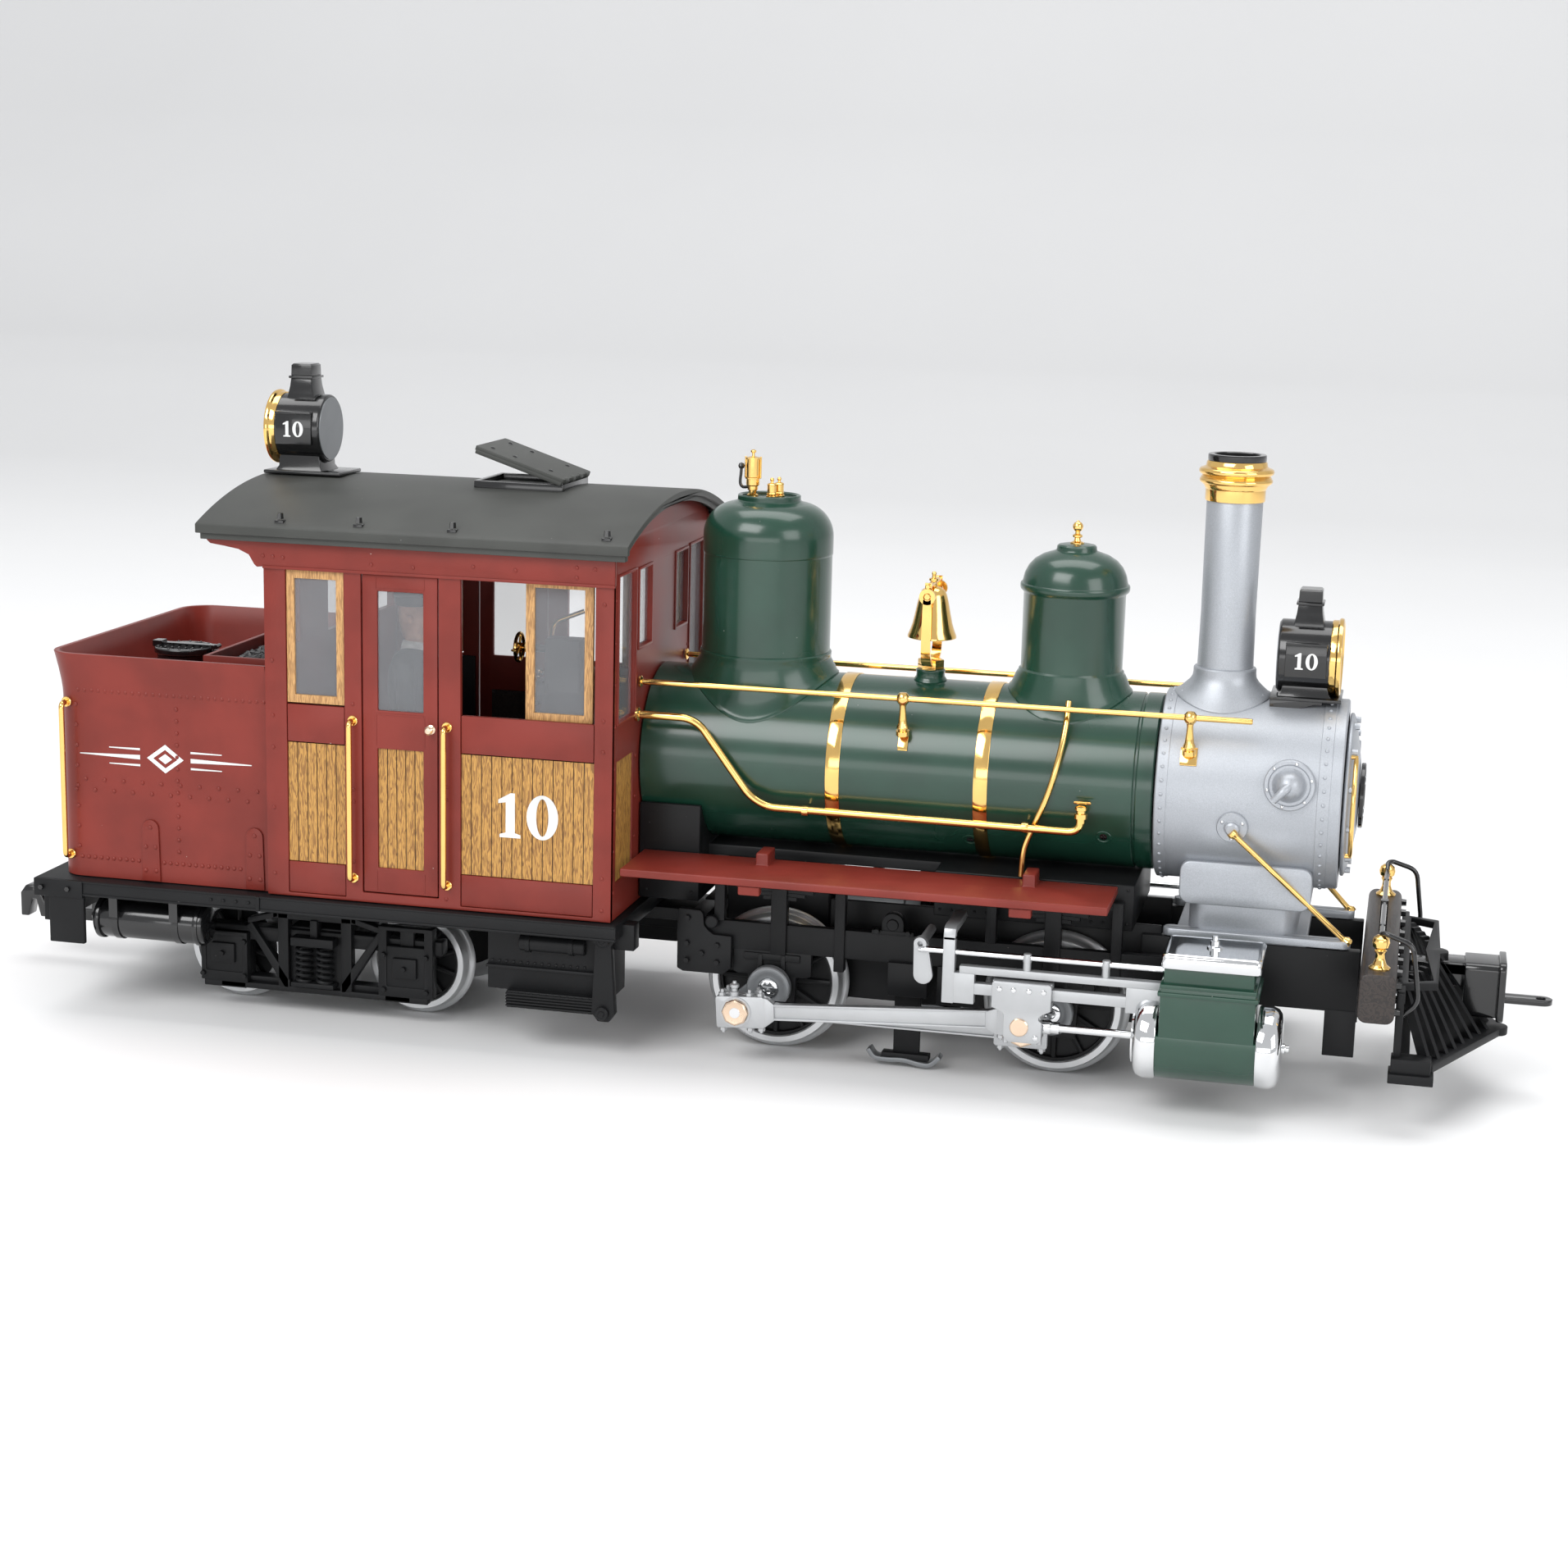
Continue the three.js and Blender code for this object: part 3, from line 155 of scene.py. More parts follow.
class Paint:
    """A material in the making."""

    def __init__(self, name, **constants):
        self.material = bpy.data.materials.new(name)
        self.material.use_nodes = True
        self.tree = self.material.node_tree
        self.tree.nodes.clear()
        self.shader = self.node("ShaderNodeBsdfPrincipled")
        out = self.node("ShaderNodeOutputMaterial")
        self.tree.links.new(self.shader.outputs[0], out.inputs[0])
        coordinates = self.node("ShaderNodeTexCoord")
        self.place = coordinates.outputs["Object"]
        for key, value in constants.items():
            self.shader.inputs[key.replace("_", " ")].default_value = value

    def node(self, kind, settings=None, values=None):
        made = self.tree.nodes.new(kind)
        for key, value in (settings or {}).items():
            setattr(made, key, value)
        for key, value in (values or {}).items():
            self.feed(made.inputs[key], value)
        return made

    def feed(self, socket, value):
        if isinstance(value, Signal):
            value = value.socket
        if isinstance(value, bpy.types.NodeSocket):
            self.tree.links.new(value, socket)
        else:
            socket.default_value = value

    def sum(self, operation, a, b):
        made = self.node("ShaderNodeMath", {"operation": operation}, {0: a, 1: b})
        return Signal(self, made.outputs[0])

    def along(self, axis):
        """The distance along an axis, in millimetres from the frame's origin."""
        parts = self.node("ShaderNodeSeparateXYZ", None, {0: self.place})
        return Signal(self, parts.outputs[axis]) * (1 / MM)

    def stretched(self, stretch):
        """Object coordinates with each axis drawn out by its factor."""
        return self.node("ShaderNodeMapping", None, {"Vector": self.place,
            "Scale": tuple(1 / s for s in stretch)}).outputs[0]

    def noise(self, size, detail=3.0, stretch=None, shift=None):
        """Soft cloudy variation with patches of about that size in millimetres."""
        place = self.stretched(stretch) if stretch else self.place
        if shift is not None:
            moved = self.node("ShaderNodeCombineXYZ", None, {0: shift, 1: shift, 2: shift})
            place = self.node("ShaderNodeVectorMath", {"operation": "ADD"},
                {0: place, 1: moved.outputs[0]}).outputs[0]
        made = self.node("ShaderNodeTexNoise", None, {"Vector": place, "Scale": 1 / (size * MM),
            "Detail": detail})
        return Signal(self, made.outputs[0])

    def specks(self, size, share):
        """Small separate dots, each a cell's centre, with that share of the cell covered."""
        made = self.node("ShaderNodeTexVoronoi", None, {"Vector": self.place, "Scale": 1 / (size * MM)})
        return 1 - Signal(self, made.outputs["Distance"]).ease(share * 0.5, share)

    def mix(self, factor, a, b):
        made = self.node("ShaderNodeMix", {"data_type": "RGBA"}, {0: factor, 6: a, 7: b})
        return made.outputs[2]

    def relief(self, height, depth, then=None):
        values = {"Height": height, "Distance": depth * MM, "Strength": 1.0}
        made = self.node("ShaderNodeBump", None, values)
        if then:
            self.tree.links.new(then, made.inputs["Normal"])
        return made.outputs[0]

    def dress(self, colour=None, roughness=None, normal=None, metallic=None):
        for key, value in (("Base Color", colour), ("Roughness", roughness), ("Normal", normal),
                ("Metallic", metallic)):
            if value is not None:
                self.feed(self.shader.inputs[key], value)
        return self.material


def shade(colour, factor):
    return tuple(min(1.0, c * factor) for c in colour[:3]) + (1.0,)


def satin_paint(name, colour, roughness, dust, **constants):
    """Sprayed paint on moulded plastic: faint clouding, orange peel and a few bright dust specks."""
    paint = Paint(name, **constants)
    cloud = paint.noise(22)
    fine = paint.noise(0.35, 2)
    tone = paint.mix(cloud.ease(0.3, 0.7), shade(colour, 0.88), shade(colour, 1.14))
    speck = paint.specks(5.5, 0.035) * paint.noise(14).ease(0.5, 0.62)
    tone = paint.mix(speck * dust, tone, (0.75, 0.72, 0.68, 1))
    gloss = roughness - 0.05 + 0.12 * cloud + 0.25 * speck
    return paint.dress(tone, gloss, paint.relief(fine, 0.012))


def metal(name, colour, roughness, spread, metallic=1.0, size=6.0, brushed=None, **constants):
    """Bright metal with smears of duller polish."""
    paint = Paint(name, Metallic=metallic, **constants)
    smear = paint.noise(size, 4)
    fine = paint.noise(0.25, 2, brushed)
    tone = paint.mix(smear, shade(colour, 0.9), shade(colour, 1.06))
    gloss = roughness + spread * smear.ease(0.35, 0.75) + spread * 0.5 * fine
    return paint.dress(tone, gloss, paint.relief(fine, 0.004))


def graphite(name, colour):
    """Silver-grey paint with fine bright flakes."""
    paint = Paint(name, Metallic=0.55)
    flake = paint.noise(0.12, 1)
    cloud = paint.noise(16)
    tone = paint.mix(flake.ease(0.35, 0.7), shade(colour, 0.82), shade(colour, 1.22))
    tone = paint.mix(cloud * 0.3, tone, shade(colour, 0.8))
    return paint.dress(tone, 0.36 + 0.12 * cloud, paint.relief(flake, 0.008))


def grained(name, colour, dark, grain, axis="z", pitch=0.0, across=0, roughness=0.45):
    """Wood whose grain runs along an axis. With a pitch, each board across gets its own figure."""
    paint = Paint(name)
    stretch = {"x": (9, 1, 1), "y": (1, 9, 1), "z": (1, 1, 9)}[axis]
    shift = None
    if pitch:
        board = paint.sum("FLOOR", paint.along(across) * (1 / pitch), 0.0)
        shift = board * 0.37
    broad = paint.noise(grain * 3.2, 2, stretch, shift)
    lines = paint.node("ShaderNodeMath", {"operation": "SINE"}, {0: broad * 42.0}).outputs[0]
    figure = (Signal(paint, lines) * 0.5 + 0.5).ease(0.42, 0.95)
    fibre = paint.noise(grain * 0.4, 4, stretch, shift)
    tone = paint.mix(fibre.ease(0.35, 0.65), shade(colour, 0.82), shade(colour, 1.15))
    tone = paint.mix(figure * 0.62, tone, shade(dark, 1.0))
    height = fibre * 0.5 + (1 - figure) * 0.5
    return paint.dress(tone, roughness + 0.1 * fibre, paint.relief(height, 0.05))


def coal_black(name):
    paint = Paint(name, Coat_Weight=0.3, Coat_Roughness=0.2)
    lump = paint.noise(2.2, 4)
    tone = paint.mix(lump.ease(0.45, 0.7), (0.006, 0.006, 0.007, 1), (0.035, 0.035, 0.038, 1))
    return paint.dress(tone, 0.25 + 0.45 * lump, paint.relief(lump, 0.3))


def clear_pane(name):
    """Clear plastic glazing with faint wipe marks."""
    paint = Paint(name, Alpha=0.24, Specular_IOR_Level=0.65)
    smear = paint.noise(9, 3)
    tone = paint.mix(smear, (0.30, 0.31, 0.33, 1), (0.38, 0.39, 0.41, 1))
    return paint.dress(tone, 0.04 + 0.06 * smear)


def lamp_glass(name):
    """A moulded lens, milky and ribbed."""
    paint = Paint(name, Coat_Weight=0.8, Coat_Roughness=0.05)
    rib = paint.node("ShaderNodeMath", {"operation": "SINE"}, {0: paint.along(2) * 3.0}).outputs[0]
    tone = paint.mix(paint.noise(4), (0.72, 0.74, 0.74, 1), (0.86, 0.86, 0.82, 1))
    return paint.dress(tone, 0.12, paint.relief(Signal(paint, rib), 0.05))


def woven(name, colour):
    """A painted figure's clothes, with folds and a faint weave, and painted shade in the fold hollows with
    painted light on the ridges.
    """
    paint = Paint(name)
    fold_relief_and_shade = paint.noise(7, 2)
    weave = paint.noise(0.5, 2, (1, 1, 2))
    # Painted shade and light: a darker copy of the colour in the fold hollows, a lighter copy on the ridges.
    tone = paint.mix(fold_relief_and_shade.ease(0.3, 0.7), shade(colour, 0.7), shade(colour, 1.3))
    return paint.dress(tone, 0.7 + 0.15 * weave, paint.relief(weave * 0.3 + fold_relief_and_shade, 0.25))


def make_finishes(colours):
    """Every finish, by the name that the pieces use."""
    body = tuple(colours.body)
    frames = tuple(colours.frames)
    return {"red": satin_paint("cab_red", body, 0.36, 0.9, Specular_IOR_Level=0.3),
        "roof": satin_paint("roof_grey", tuple(colours.roof), 0.5, 0.5, Specular_IOR_Level=0.35),
        "black": satin_paint("frame_black", frames, 0.42, 0.25, Specular_IOR_Level=0.2),
        "gloss_black": satin_paint("gloss_black", shade(frames, 0.6), 0.16, 0.4, Coat_Weight=0.4),
        "green": satin_paint("boiler_green", tuple(colours.boiler), 0.24, 0.6, Coat_Weight=0.35,
        Coat_Roughness=0.12), "silver": graphite("smokebox_silver", tuple(colours.smokebox)),
        "brass": metal("polished_brass", (0.93, 0.60, 0.20), 0.06, 0.10), "rod": metal("rod_silver",
        (0.46, 0.47, 0.48), 0.30, 0.10, 0.62), "tyre": metal("tyre_steel", (0.60, 0.61, 0.62), 0.28, 0.14,
        0.8), "hub": metal("hub_grey", (0.22, 0.23, 0.24), 0.34, 0.1, 0.5), "chrome": metal("bright_chrome",
        (0.74, 0.75, 0.76), 0.03, 0.04, 1.0, 9.0), "rose": metal("rose_brass", (0.78, 0.60, 0.45), 0.16,
        0.12), "sash": grained("sash_wood", tuple(colours.sashes), (0.24, 0.11, 0.035), 0.5),
        "planks": grained("plank_wood", tuple(colours.planks), (0.11, 0.034, 0.008), 0.42, "z",
        bpy.context.scene.engine_sizes.plank, 0), "planks_end": grained("plank_end_wood",
        tuple(colours.planks), (0.11, 0.034, 0.008), 0.42, "z", bpy.context.scene.engine_sizes.plank, 1),
        "beam": grained("beam_wood", (0.028, 0.020, 0.017), (0.006, 0.005, 0.005), 1.0, "y",
        roughness=0.38), "coal": coal_black("coal_lumps"), "pane": clear_pane("window_pane"),
        "lens": lamp_glass("lamp_lens"), "cloth": woven("driver_coat", (0.022, 0.026, 0.033)),
        "shirt": woven("driver_shirt", (0.62, 0.62, 0.60)), "skin": woven("driver_skin",
        (0.50, 0.27, 0.18)), "cream": satin_paint("cream_paint", (0.66, 0.67, 0.66), 0.34, 0.1),
        "plate": satin_paint("plate_red", (0.14, 0.022, 0.016), 0.3, 0.2),
        "gauge": satin_paint("gauge_white", (0.72, 0.72, 0.68), 0.3, 0.0),}


FINISH = {}

# ---- Shapes ----


def circle(u, v, radius, count=24, start=0.0, sweep=2 * math.pi):
    """Points round a circle; a full turn leaves out the last point."""
    steps = count if sweep >= 2 * math.pi - 1e-6 else count - 1
    return [(u + radius * math.cos(start + sweep * i / steps),
        v + radius * math.sin(start + sweep * i / steps)) for i in range(count)]


def rectangle(u0, u1, v0, v1):
    return [(u0, v0), (u1, v0), (u1, v1), (u0, v1)]


def rounded(u0, u1, v0, v1, radius, steps=5):
    """A rectangle with round corners."""
    quarter = math.pi / 2
    corners = ((u1 - radius, v0 + radius, -quarter), (u1 - radius, v1 - radius, 0),
        (u0 + radius, v1 - radius, quarter), (u0 + radius, v0 + radius, 2 * quarter))
    return [p for u, v, a in corners for p in circle(u, v, radius, steps, a, quarter)]


def arc_profile(r, z, radius, start, end, steps=6):
    """A round stretch of a turned profile, angles in degrees from outward."""
    span = [math.radians(start + (end - start) * i / steps) for i in range(steps + 1)]
    return [(r + radius * math.cos(a), z + radius * math.sin(a)) for a in span]


def eased_path(points, steps=6):
    """A smooth line through the points."""
    knots = [Vector(p) for p in points]
    ends = [knots[0] * 2 - knots[1], *knots, knots[-1] * 2 - knots[-2]]
    line = []
    for a, b, c, d in zip(ends, ends[1:], ends[2:], ends[3:]):
        for i in range(steps):
            t = i / steps
            line.append(0.5 * ((2 * b) + (c - a) * t + (2 * a - 5 * b + 4 * c - d) * t * t
                + (3 * b - a - 3 * c + d) * t * t * t))
    return [*line, knots[-1]]


def bent_path(points, radius, steps=5):
    """Straight runs joined by round bends."""
    knots = [Vector(p) for p in points]
    line = [knots[0]]
    for before, corner, after in zip(knots, knots[1:], knots[2:]):
        back, ahead = before - corner, after - corner
        reach = min(radius, back.length * 0.48, ahead.length * 0.48)
        start, end = corner + back.normalized() * reach, corner + ahead.normalized() * reach
        line += [start.lerp(corner, i / steps).lerp(corner.lerp(end, i / steps), i / steps)
            for i in range(steps + 1)]
    return [*line, knots[-1]]


class Form:
    """A mesh in the making, in the engine's own millimetres."""

    def __init__(self):
        self.mesh = bmesh.new()

    def skin(self, points, faces):
        verts = [self.mesh.verts.new(p) for p in points]
        for face in faces:
            self.mesh.faces.new([verts[i] for i in face])
        return self

    def rings(self, rings, closed=False, capped=True):
        """Joins loops of points that have the same count, and caps the ends."""
        count = len(rings[0])
        faces = []
        pairs = len(rings) if closed else len(rings) - 1
        for k in range(pairs):
            low, high = k * count, ((k + 1) % len(rings)) * count
            faces += [(low + i, low + (i + 1) % count, high + (i + 1) % count, high + i)
                for i in range(count)]
        if capped and not closed:
            faces += [tuple(reversed(range(count))), tuple(range((len(rings) - 1) * count,
                len(rings) * count))]
        return self.skin([p for ring in rings for p in ring], faces)

    def block(self, x0, x1, y0, y1, z0, z1):
        return self.plate("z", z0, z1, rectangle(x0, x1, y0, y1))

    def plate(self, axis, a, b, outline, holes=()):
        """A flat outline with holes, between two planes across an axis."""
        def spot(u, v, w):
            return {"x": (w, u, v), "y": (u, w, v), "z": (u, v, w)}[axis]
        loops = [list(outline), *[list(h) for h in holes]]
        flat = [p for loop in loops for p in loop]
        count = len(flat)
        faces = []
        for tri in tessellate_polygon([[Vector((u, v, 0)) for u, v in loop] for loop in loops]):
            faces += [tuple(tri), tuple(i + count for i in reversed(tri))]
        start = 0
        for loop in loops:
            n = len(loop)
            faces += [(start + i, start + (i + 1) % n, count + start + (i + 1) % n, count + start + i)
                for i in range(n)]
            start += n
        points = [spot(u, v, w) for w in (a, b) for u, v in flat]
        return self.skin(points, faces)

    def turned(self, profile, at, axis="z", sides=40, closed=False):
        """A profile of (radius, distance along the axis) points turned about the line through at."""
        def spot(radius, along, angle):
            c, s = radius * math.cos(angle), radius * math.sin(angle)
            x, y, z = at
            return {"x": (x + along, y + c, z + s), "y": (x + c, y + along, z + s), "z": (x + c, y + s,
                z + along)}[axis]
        angles = [2 * math.pi * i / sides for i in range(sides)]
        small = 1e-4
        loops = [[spot(max(r, small), h, a) for a in angles] for r, h in profile]
        return self.rings(loops, closed)

    def rod(self, axis, radius, a, b, at, sides=28, end=None):
        """A round bar along an axis from a to b; at gives the other two coordinates."""
        end = radius if end is None else end
        soft = min(0.3, abs(b - a) * 0.25, radius * 0.3)
        way = 1 if b > a else -1
        profile = [(radius - soft, a), (radius, a + soft * way), (end, b - soft * way), (end - soft, b)]
        p, q = at
        centre = {"x": (0, p, q), "y": (p, 0, q), "z": (p, q, 0)}[axis]
        return self.turned(profile, centre, axis, sides)

    def tube(self, line, radius, sides=12):
        """A round section along a line of points, its radius a number or one for each point."""
        line = [Vector(p) for p in line]
        radii = radius if isinstance(radius, (list, tuple)) else [radius] * len(line)
        ways = [(b - a).normalized() for a, b in zip(line, line[1:])]
        ways = [ways[0], *[(a + b).normalized() for a, b in zip(ways, ways[1:])], ways[-1]]
        side = ways[0].orthogonal().normalized()
        loops = []
        for point, way, r in zip(line, ways, radii):
            side = (side - way * side.dot(way)).normalized()
            up = way.cross(side)
            loops.append([point + (side * math.cos(a) + up * math.sin(a)) * r
                for a in (2 * math.pi * i / sides for i in range(sides))])
        return self.rings(loops)

    def node(self, name):
        """A copy of a CAD node's mesh, with its loose triangles joined."""
        start = len(self.mesh.verts)
        self.mesh.from_mesh(frame["nodes"][name].data)
        self.mesh.verts.ensure_lookup_table()
        for v in self.mesh.verts[start:]:
            v.co = Vector(((v.co.x - CAB_FRONT) / MM, v.co.y / MM, v.co.z / MM))
        bmesh.ops.remove_doubles(self.mesh, verts=self.mesh.verts[start:], dist=0.002)
        bmesh.ops.dissolve_limit(self.mesh, angle_limit=math.radians(0.6), verts=self.mesh.verts[:],
            edges=self.mesh.edges[:])
        return self

    def turn(self, angle, centre, axis="Y"):
        """Turns everything so far about an axis, in degrees."""
        way = Matrix.Rotation(math.radians(angle), 4, axis)
        bmesh.ops.rotate(self.mesh, cent=Vector(centre), matrix=way, verts=self.mesh.verts[:])
        return self

    def soften(self, width, angle=38, segments=2):
        """Rounds every edge where two faces meet at more than that angle."""
        bmesh.ops.recalc_face_normals(self.mesh, faces=self.mesh.faces[:])
        limit = math.radians(angle)
        sharp = [e for e in self.mesh.edges
            if len(e.link_faces) == 2 and e.calc_face_angle(0) > limit and e.calc_length() > width * 1.2]
        bmesh.ops.bevel(self.mesh, geom=sharp, offset=width, segments=segments, profile=0.5, affect="EDGES",
            clamp_overlap=False)
        return self


def finished(form, name, finish, body="chassis", replaces=(), flip=False, smooth=32):
    """Turns a form into a piece that rides on a body."""
    mesh = form.mesh
    for v in mesh.verts:
        x, y, z = v.co
        v.co = Vector((CAB_FRONT + x * MM, (-y if flip else y) * MM, z * MM))
    bmesh.ops.remove_doubles(mesh, verts=mesh.verts[:], dist=1e-7)
    bmesh.ops.recalc_face_normals(mesh, faces=mesh.faces[:])
    data = bpy.data.meshes.new(name)
    mesh.to_mesh(data)
    mesh.free()
    return as_piece(data, name, finish, body, replaces, smooth)


def as_piece(data, name, finish, body, replaces=(), smooth=32):
    data.materials.clear()
    data.materials.append(FINISH[finish])
    data.polygons.foreach_set("use_smooth", [True] * len(data.polygons))
    data.set_sharp_from_angle(angle=math.radians(smooth))
    piece = bpy.data.objects.new(name, data)
    bpy.context.scene.collection.objects.link(piece)
    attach(piece, body)
    if replaces:
        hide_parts(*replaces)
    return piece


def softened(node, finish, body, width=None, name=None):
    """A CAD node with its edges rounded, standing for that node."""
    edge = width or bpy.context.scene.engine_sizes.edge
    return finished(Form().node(node).soften(edge), name or f"{node}_shape", finish, body, (node,))


# ---- Repeated things, made by node trees ----


class Tree:
    """A geometry node tree in the making."""

    def __init__(self, name, inputs):
        self.tree = bpy.data.node_groups.new(name, "GeometryNodeTree")
        self.tree.interface.new_socket("Geometry", in_out="INPUT", socket_type="NodeSocketGeometry")
        self.keys = {}
        for label, kind, value in inputs:
            socket = self.tree.interface.new_socket(label, in_out="INPUT", socket_type=kind)
            if value is not None:
                socket.default_value = value
            self.keys[label] = socket.identifier
        self.tree.interface.new_socket("Geometry", in_out="OUTPUT", socket_type="NodeSocketGeometry")
        self.start = self.tree.nodes.new("NodeGroupInput")

    def node(self, kind, settings=None, values=None):
        made = self.tree.nodes.new(kind)
        for key, value in (settings or {}).items():
            setattr(made, key, value)
        for key, value in (values or {}).items():
            if isinstance(value, bpy.types.NodeSocket):
                self.tree.links.new(value, made.inputs[key])
            else:
                made.inputs[key].default_value = value
        return made

    def given(self, label):
        return self.start.outputs[label]

    def close(self, geometry):
        """Ends the tree with real geometry in its finish."""
        real = self.node("GeometryNodeRealizeInstances", None, {0: geometry})
        painted = self.node("GeometryNodeSetMaterial", None, {0: real.outputs[0],
            "Material": self.given("Finish")})
        end = self.tree.nodes.new("NodeGroupOutput")
        self.tree.links.new(painted.outputs[0], end.inputs[0])
        return self


def scaled(tree, x, y, z):
    return tree.node("ShaderNodeCombineXYZ", None, {0: x, 1: y, 2: z}).outputs[0]


def stud_tree(hexagonal):
    """Heads set on points, each facing the way that its point says."""
    tree = Tree("hex_heads" if hexagonal else "round_heads", [("Radius", "NodeSocketFloat", 0.0006),
        ("Height", "NodeSocketFloat", 0.0004), ("Finish", "NodeSocketMaterial", None)])
    if hexagonal:
        head = tree.node("GeometryNodeMeshCone", {"fill_type": "NGON"}, {"Vertices": 6, "Radius Top": 0.88,
            "Radius Bottom": 1.0, "Depth": 2.0})
    else:
        head = tree.node("GeometryNodeMeshUVSphere", None, {"Segments": 10, "Rings": 6, "Radius": 1.0})
    facing = tree.node("GeometryNodeInputNamedAttribute", {"data_type": "FLOAT_VECTOR"}, {"Name": "facing"})
    turned = tree.node("FunctionNodeAlignEulerToVector", {"axis": "Z"}, {"Vector": facing.outputs[0]})
    size = scaled(tree, tree.given("Radius"), tree.given("Radius"), tree.given("Height"))
    heads = tree.node("GeometryNodeInstanceOnPoints", None, {"Points": tree.given("Geometry"),
        "Instance": head.outputs[0], "Rotation": turned.outputs[0], "Scale": size})
    return tree.close(heads.outputs[0])


def slat_tree():
    """Flat slats set side by side along a direction."""
    tree = Tree("slats", [("Count", "NodeSocketInt", 8), ("Step", "NodeSocketVector", None),
        ("Start", "NodeSocketVector", None), ("Size", "NodeSocketVector", None),
        ("Finish", "NodeSocketMaterial", None)])
    line = tree.node("GeometryNodeMeshLine", {"mode": "OFFSET"}, {"Count": tree.given("Count"),
        "Start Location": tree.given("Start"), "Offset": tree.given("Step")})
    slat = tree.node("GeometryNodeMeshCube", None, {"Size": tree.given("Size")})
    row = tree.node("GeometryNodeInstanceOnPoints", None, {"Points": line.outputs[0],
        "Instance": slat.outputs[0]})
    return tree.close(row.outputs[0])


def spoke_tree():
    """Tapered spokes round an axle that lies across the engine."""
    tree = Tree("spokes", [("Count", "NodeSocketInt", 12), ("Reach", "NodeSocketFloat", 0.01),
        ("Width", "NodeSocketFloat", 0.001), ("Centre", "NodeSocketVector", None),
        ("Finish", "NodeSocketMaterial", None)])
    spoke = tree.node("GeometryNodeMeshCone", {"fill_type": "NGON"}, {"Vertices": 8, "Radius Top": 0.7,
        "Radius Bottom": 1.0, "Depth": 1.0})
    ring = tree.node("GeometryNodeMeshLine", {"mode": "OFFSET"}, {"Count": tree.given("Count"),
        "Start Location": tree.given("Centre"), "Offset": (0, 0, 0)})
    index = tree.node("GeometryNodeInputIndex")
    share = tree.node("ShaderNodeMath", {"operation": "DIVIDE"}, {0: index.outputs[0],
        1: tree.given("Count")})
    angle = tree.node("ShaderNodeMath", {"operation": "MULTIPLY"}, {0: share.outputs[0], 1: 2 * math.pi})
    turned = tree.node("ShaderNodeCombineXYZ", None, {0: 0.0, 1: angle.outputs[0], 2: 0.0})
    size = scaled(tree, tree.given("Width"), tree.given("Width"), tree.given("Reach"))
    spokes = tree.node("GeometryNodeInstanceOnPoints", None, {"Points": ring.outputs[0],
        "Instance": spoke.outputs[0], "Rotation": turned.outputs[0], "Scale": size})
    return tree.close(spokes.outputs[0])


def leaf_tree():
    """A pack of spring leaves, the longest on top, bowed upwards in the middle."""
    tree = Tree("spring_leaves", [("Count", "NodeSocketInt", 7), ("Centre", "NodeSocketVector", None),
        ("Length", "NodeSocketFloat", 0.04), ("Width", "NodeSocketFloat", 0.003),
        ("Thickness", "NodeSocketFloat", 0.001), ("Bow", "NodeSocketFloat", 0.004),
        ("Finish", "NodeSocketMaterial", None)])
    drop = tree.node("ShaderNodeMath", {"operation": "MULTIPLY"}, {0: tree.given("Thickness"), 1: -1.12})
    step = scaled(tree, 0.0, 0.0, drop.outputs[0])
    line = tree.node("GeometryNodeMeshLine", {"mode": "OFFSET"}, {"Count": tree.given("Count"),
        "Offset": step})
    index = tree.node("GeometryNodeInputIndex")
    share = tree.node("ShaderNodeMath", {"operation": "DIVIDE"}, {0: index.outputs[0],
        1: tree.given("Count")})
    rest = tree.node("ShaderNodeMath", {"operation": "SUBTRACT"}, {0: 1.0, 1: share.outputs[0]})
    reach = tree.node("ShaderNodeMath", {"operation": "MULTIPLY"}, {0: rest.outputs[0],
        1: tree.given("Length")})
    leaf = tree.node("GeometryNodeMeshCube", None, {"Size": (1, 1, 1), "Vertices X": 13})
    size = scaled(tree, reach.outputs[0], tree.given("Width"), tree.given("Thickness"))
    pack = tree.node("GeometryNodeInstanceOnPoints", None, {"Points": line.outputs[0],
        "Instance": leaf.outputs[0], "Scale": size})
    real = tree.node("GeometryNodeRealizeInstances", None, {0: pack.outputs[0]})
    where = tree.node("ShaderNodeSeparateXYZ", None, {0: tree.node("GeometryNodeInputPosition").outputs[0]})
    square = tree.node("ShaderNodeMath", {"operation": "MULTIPLY"}, {0: where.outputs[0],
        1: where.outputs[0]})
    half = tree.node("ShaderNodeMath", {"operation": "MULTIPLY"}, {0: tree.given("Length"),
        1: tree.given("Length")})
    bow = tree.node("ShaderNodeMath", {"operation": "DIVIDE"}, {0: square.outputs[0], 1: half.outputs[0]})
    lift = tree.node("ShaderNodeMath", {"operation": "MULTIPLY"}, {0: bow.outputs[0], 1: tree.given("Bow")})
    down = tree.node("ShaderNodeMath", {"operation": "MULTIPLY"}, {0: lift.outputs[0], 1: -4.0})
    bent = tree.node("GeometryNodeSetPosition", None, {0: real.outputs[0], "Offset": scaled(tree, 0.0, 0.0,
        down.outputs[0])})
    placed = tree.node("GeometryNodeTransform", None, {0: bent.outputs[0],
        "Translation": tree.given("Centre")})
    return tree.close(placed.outputs[0])


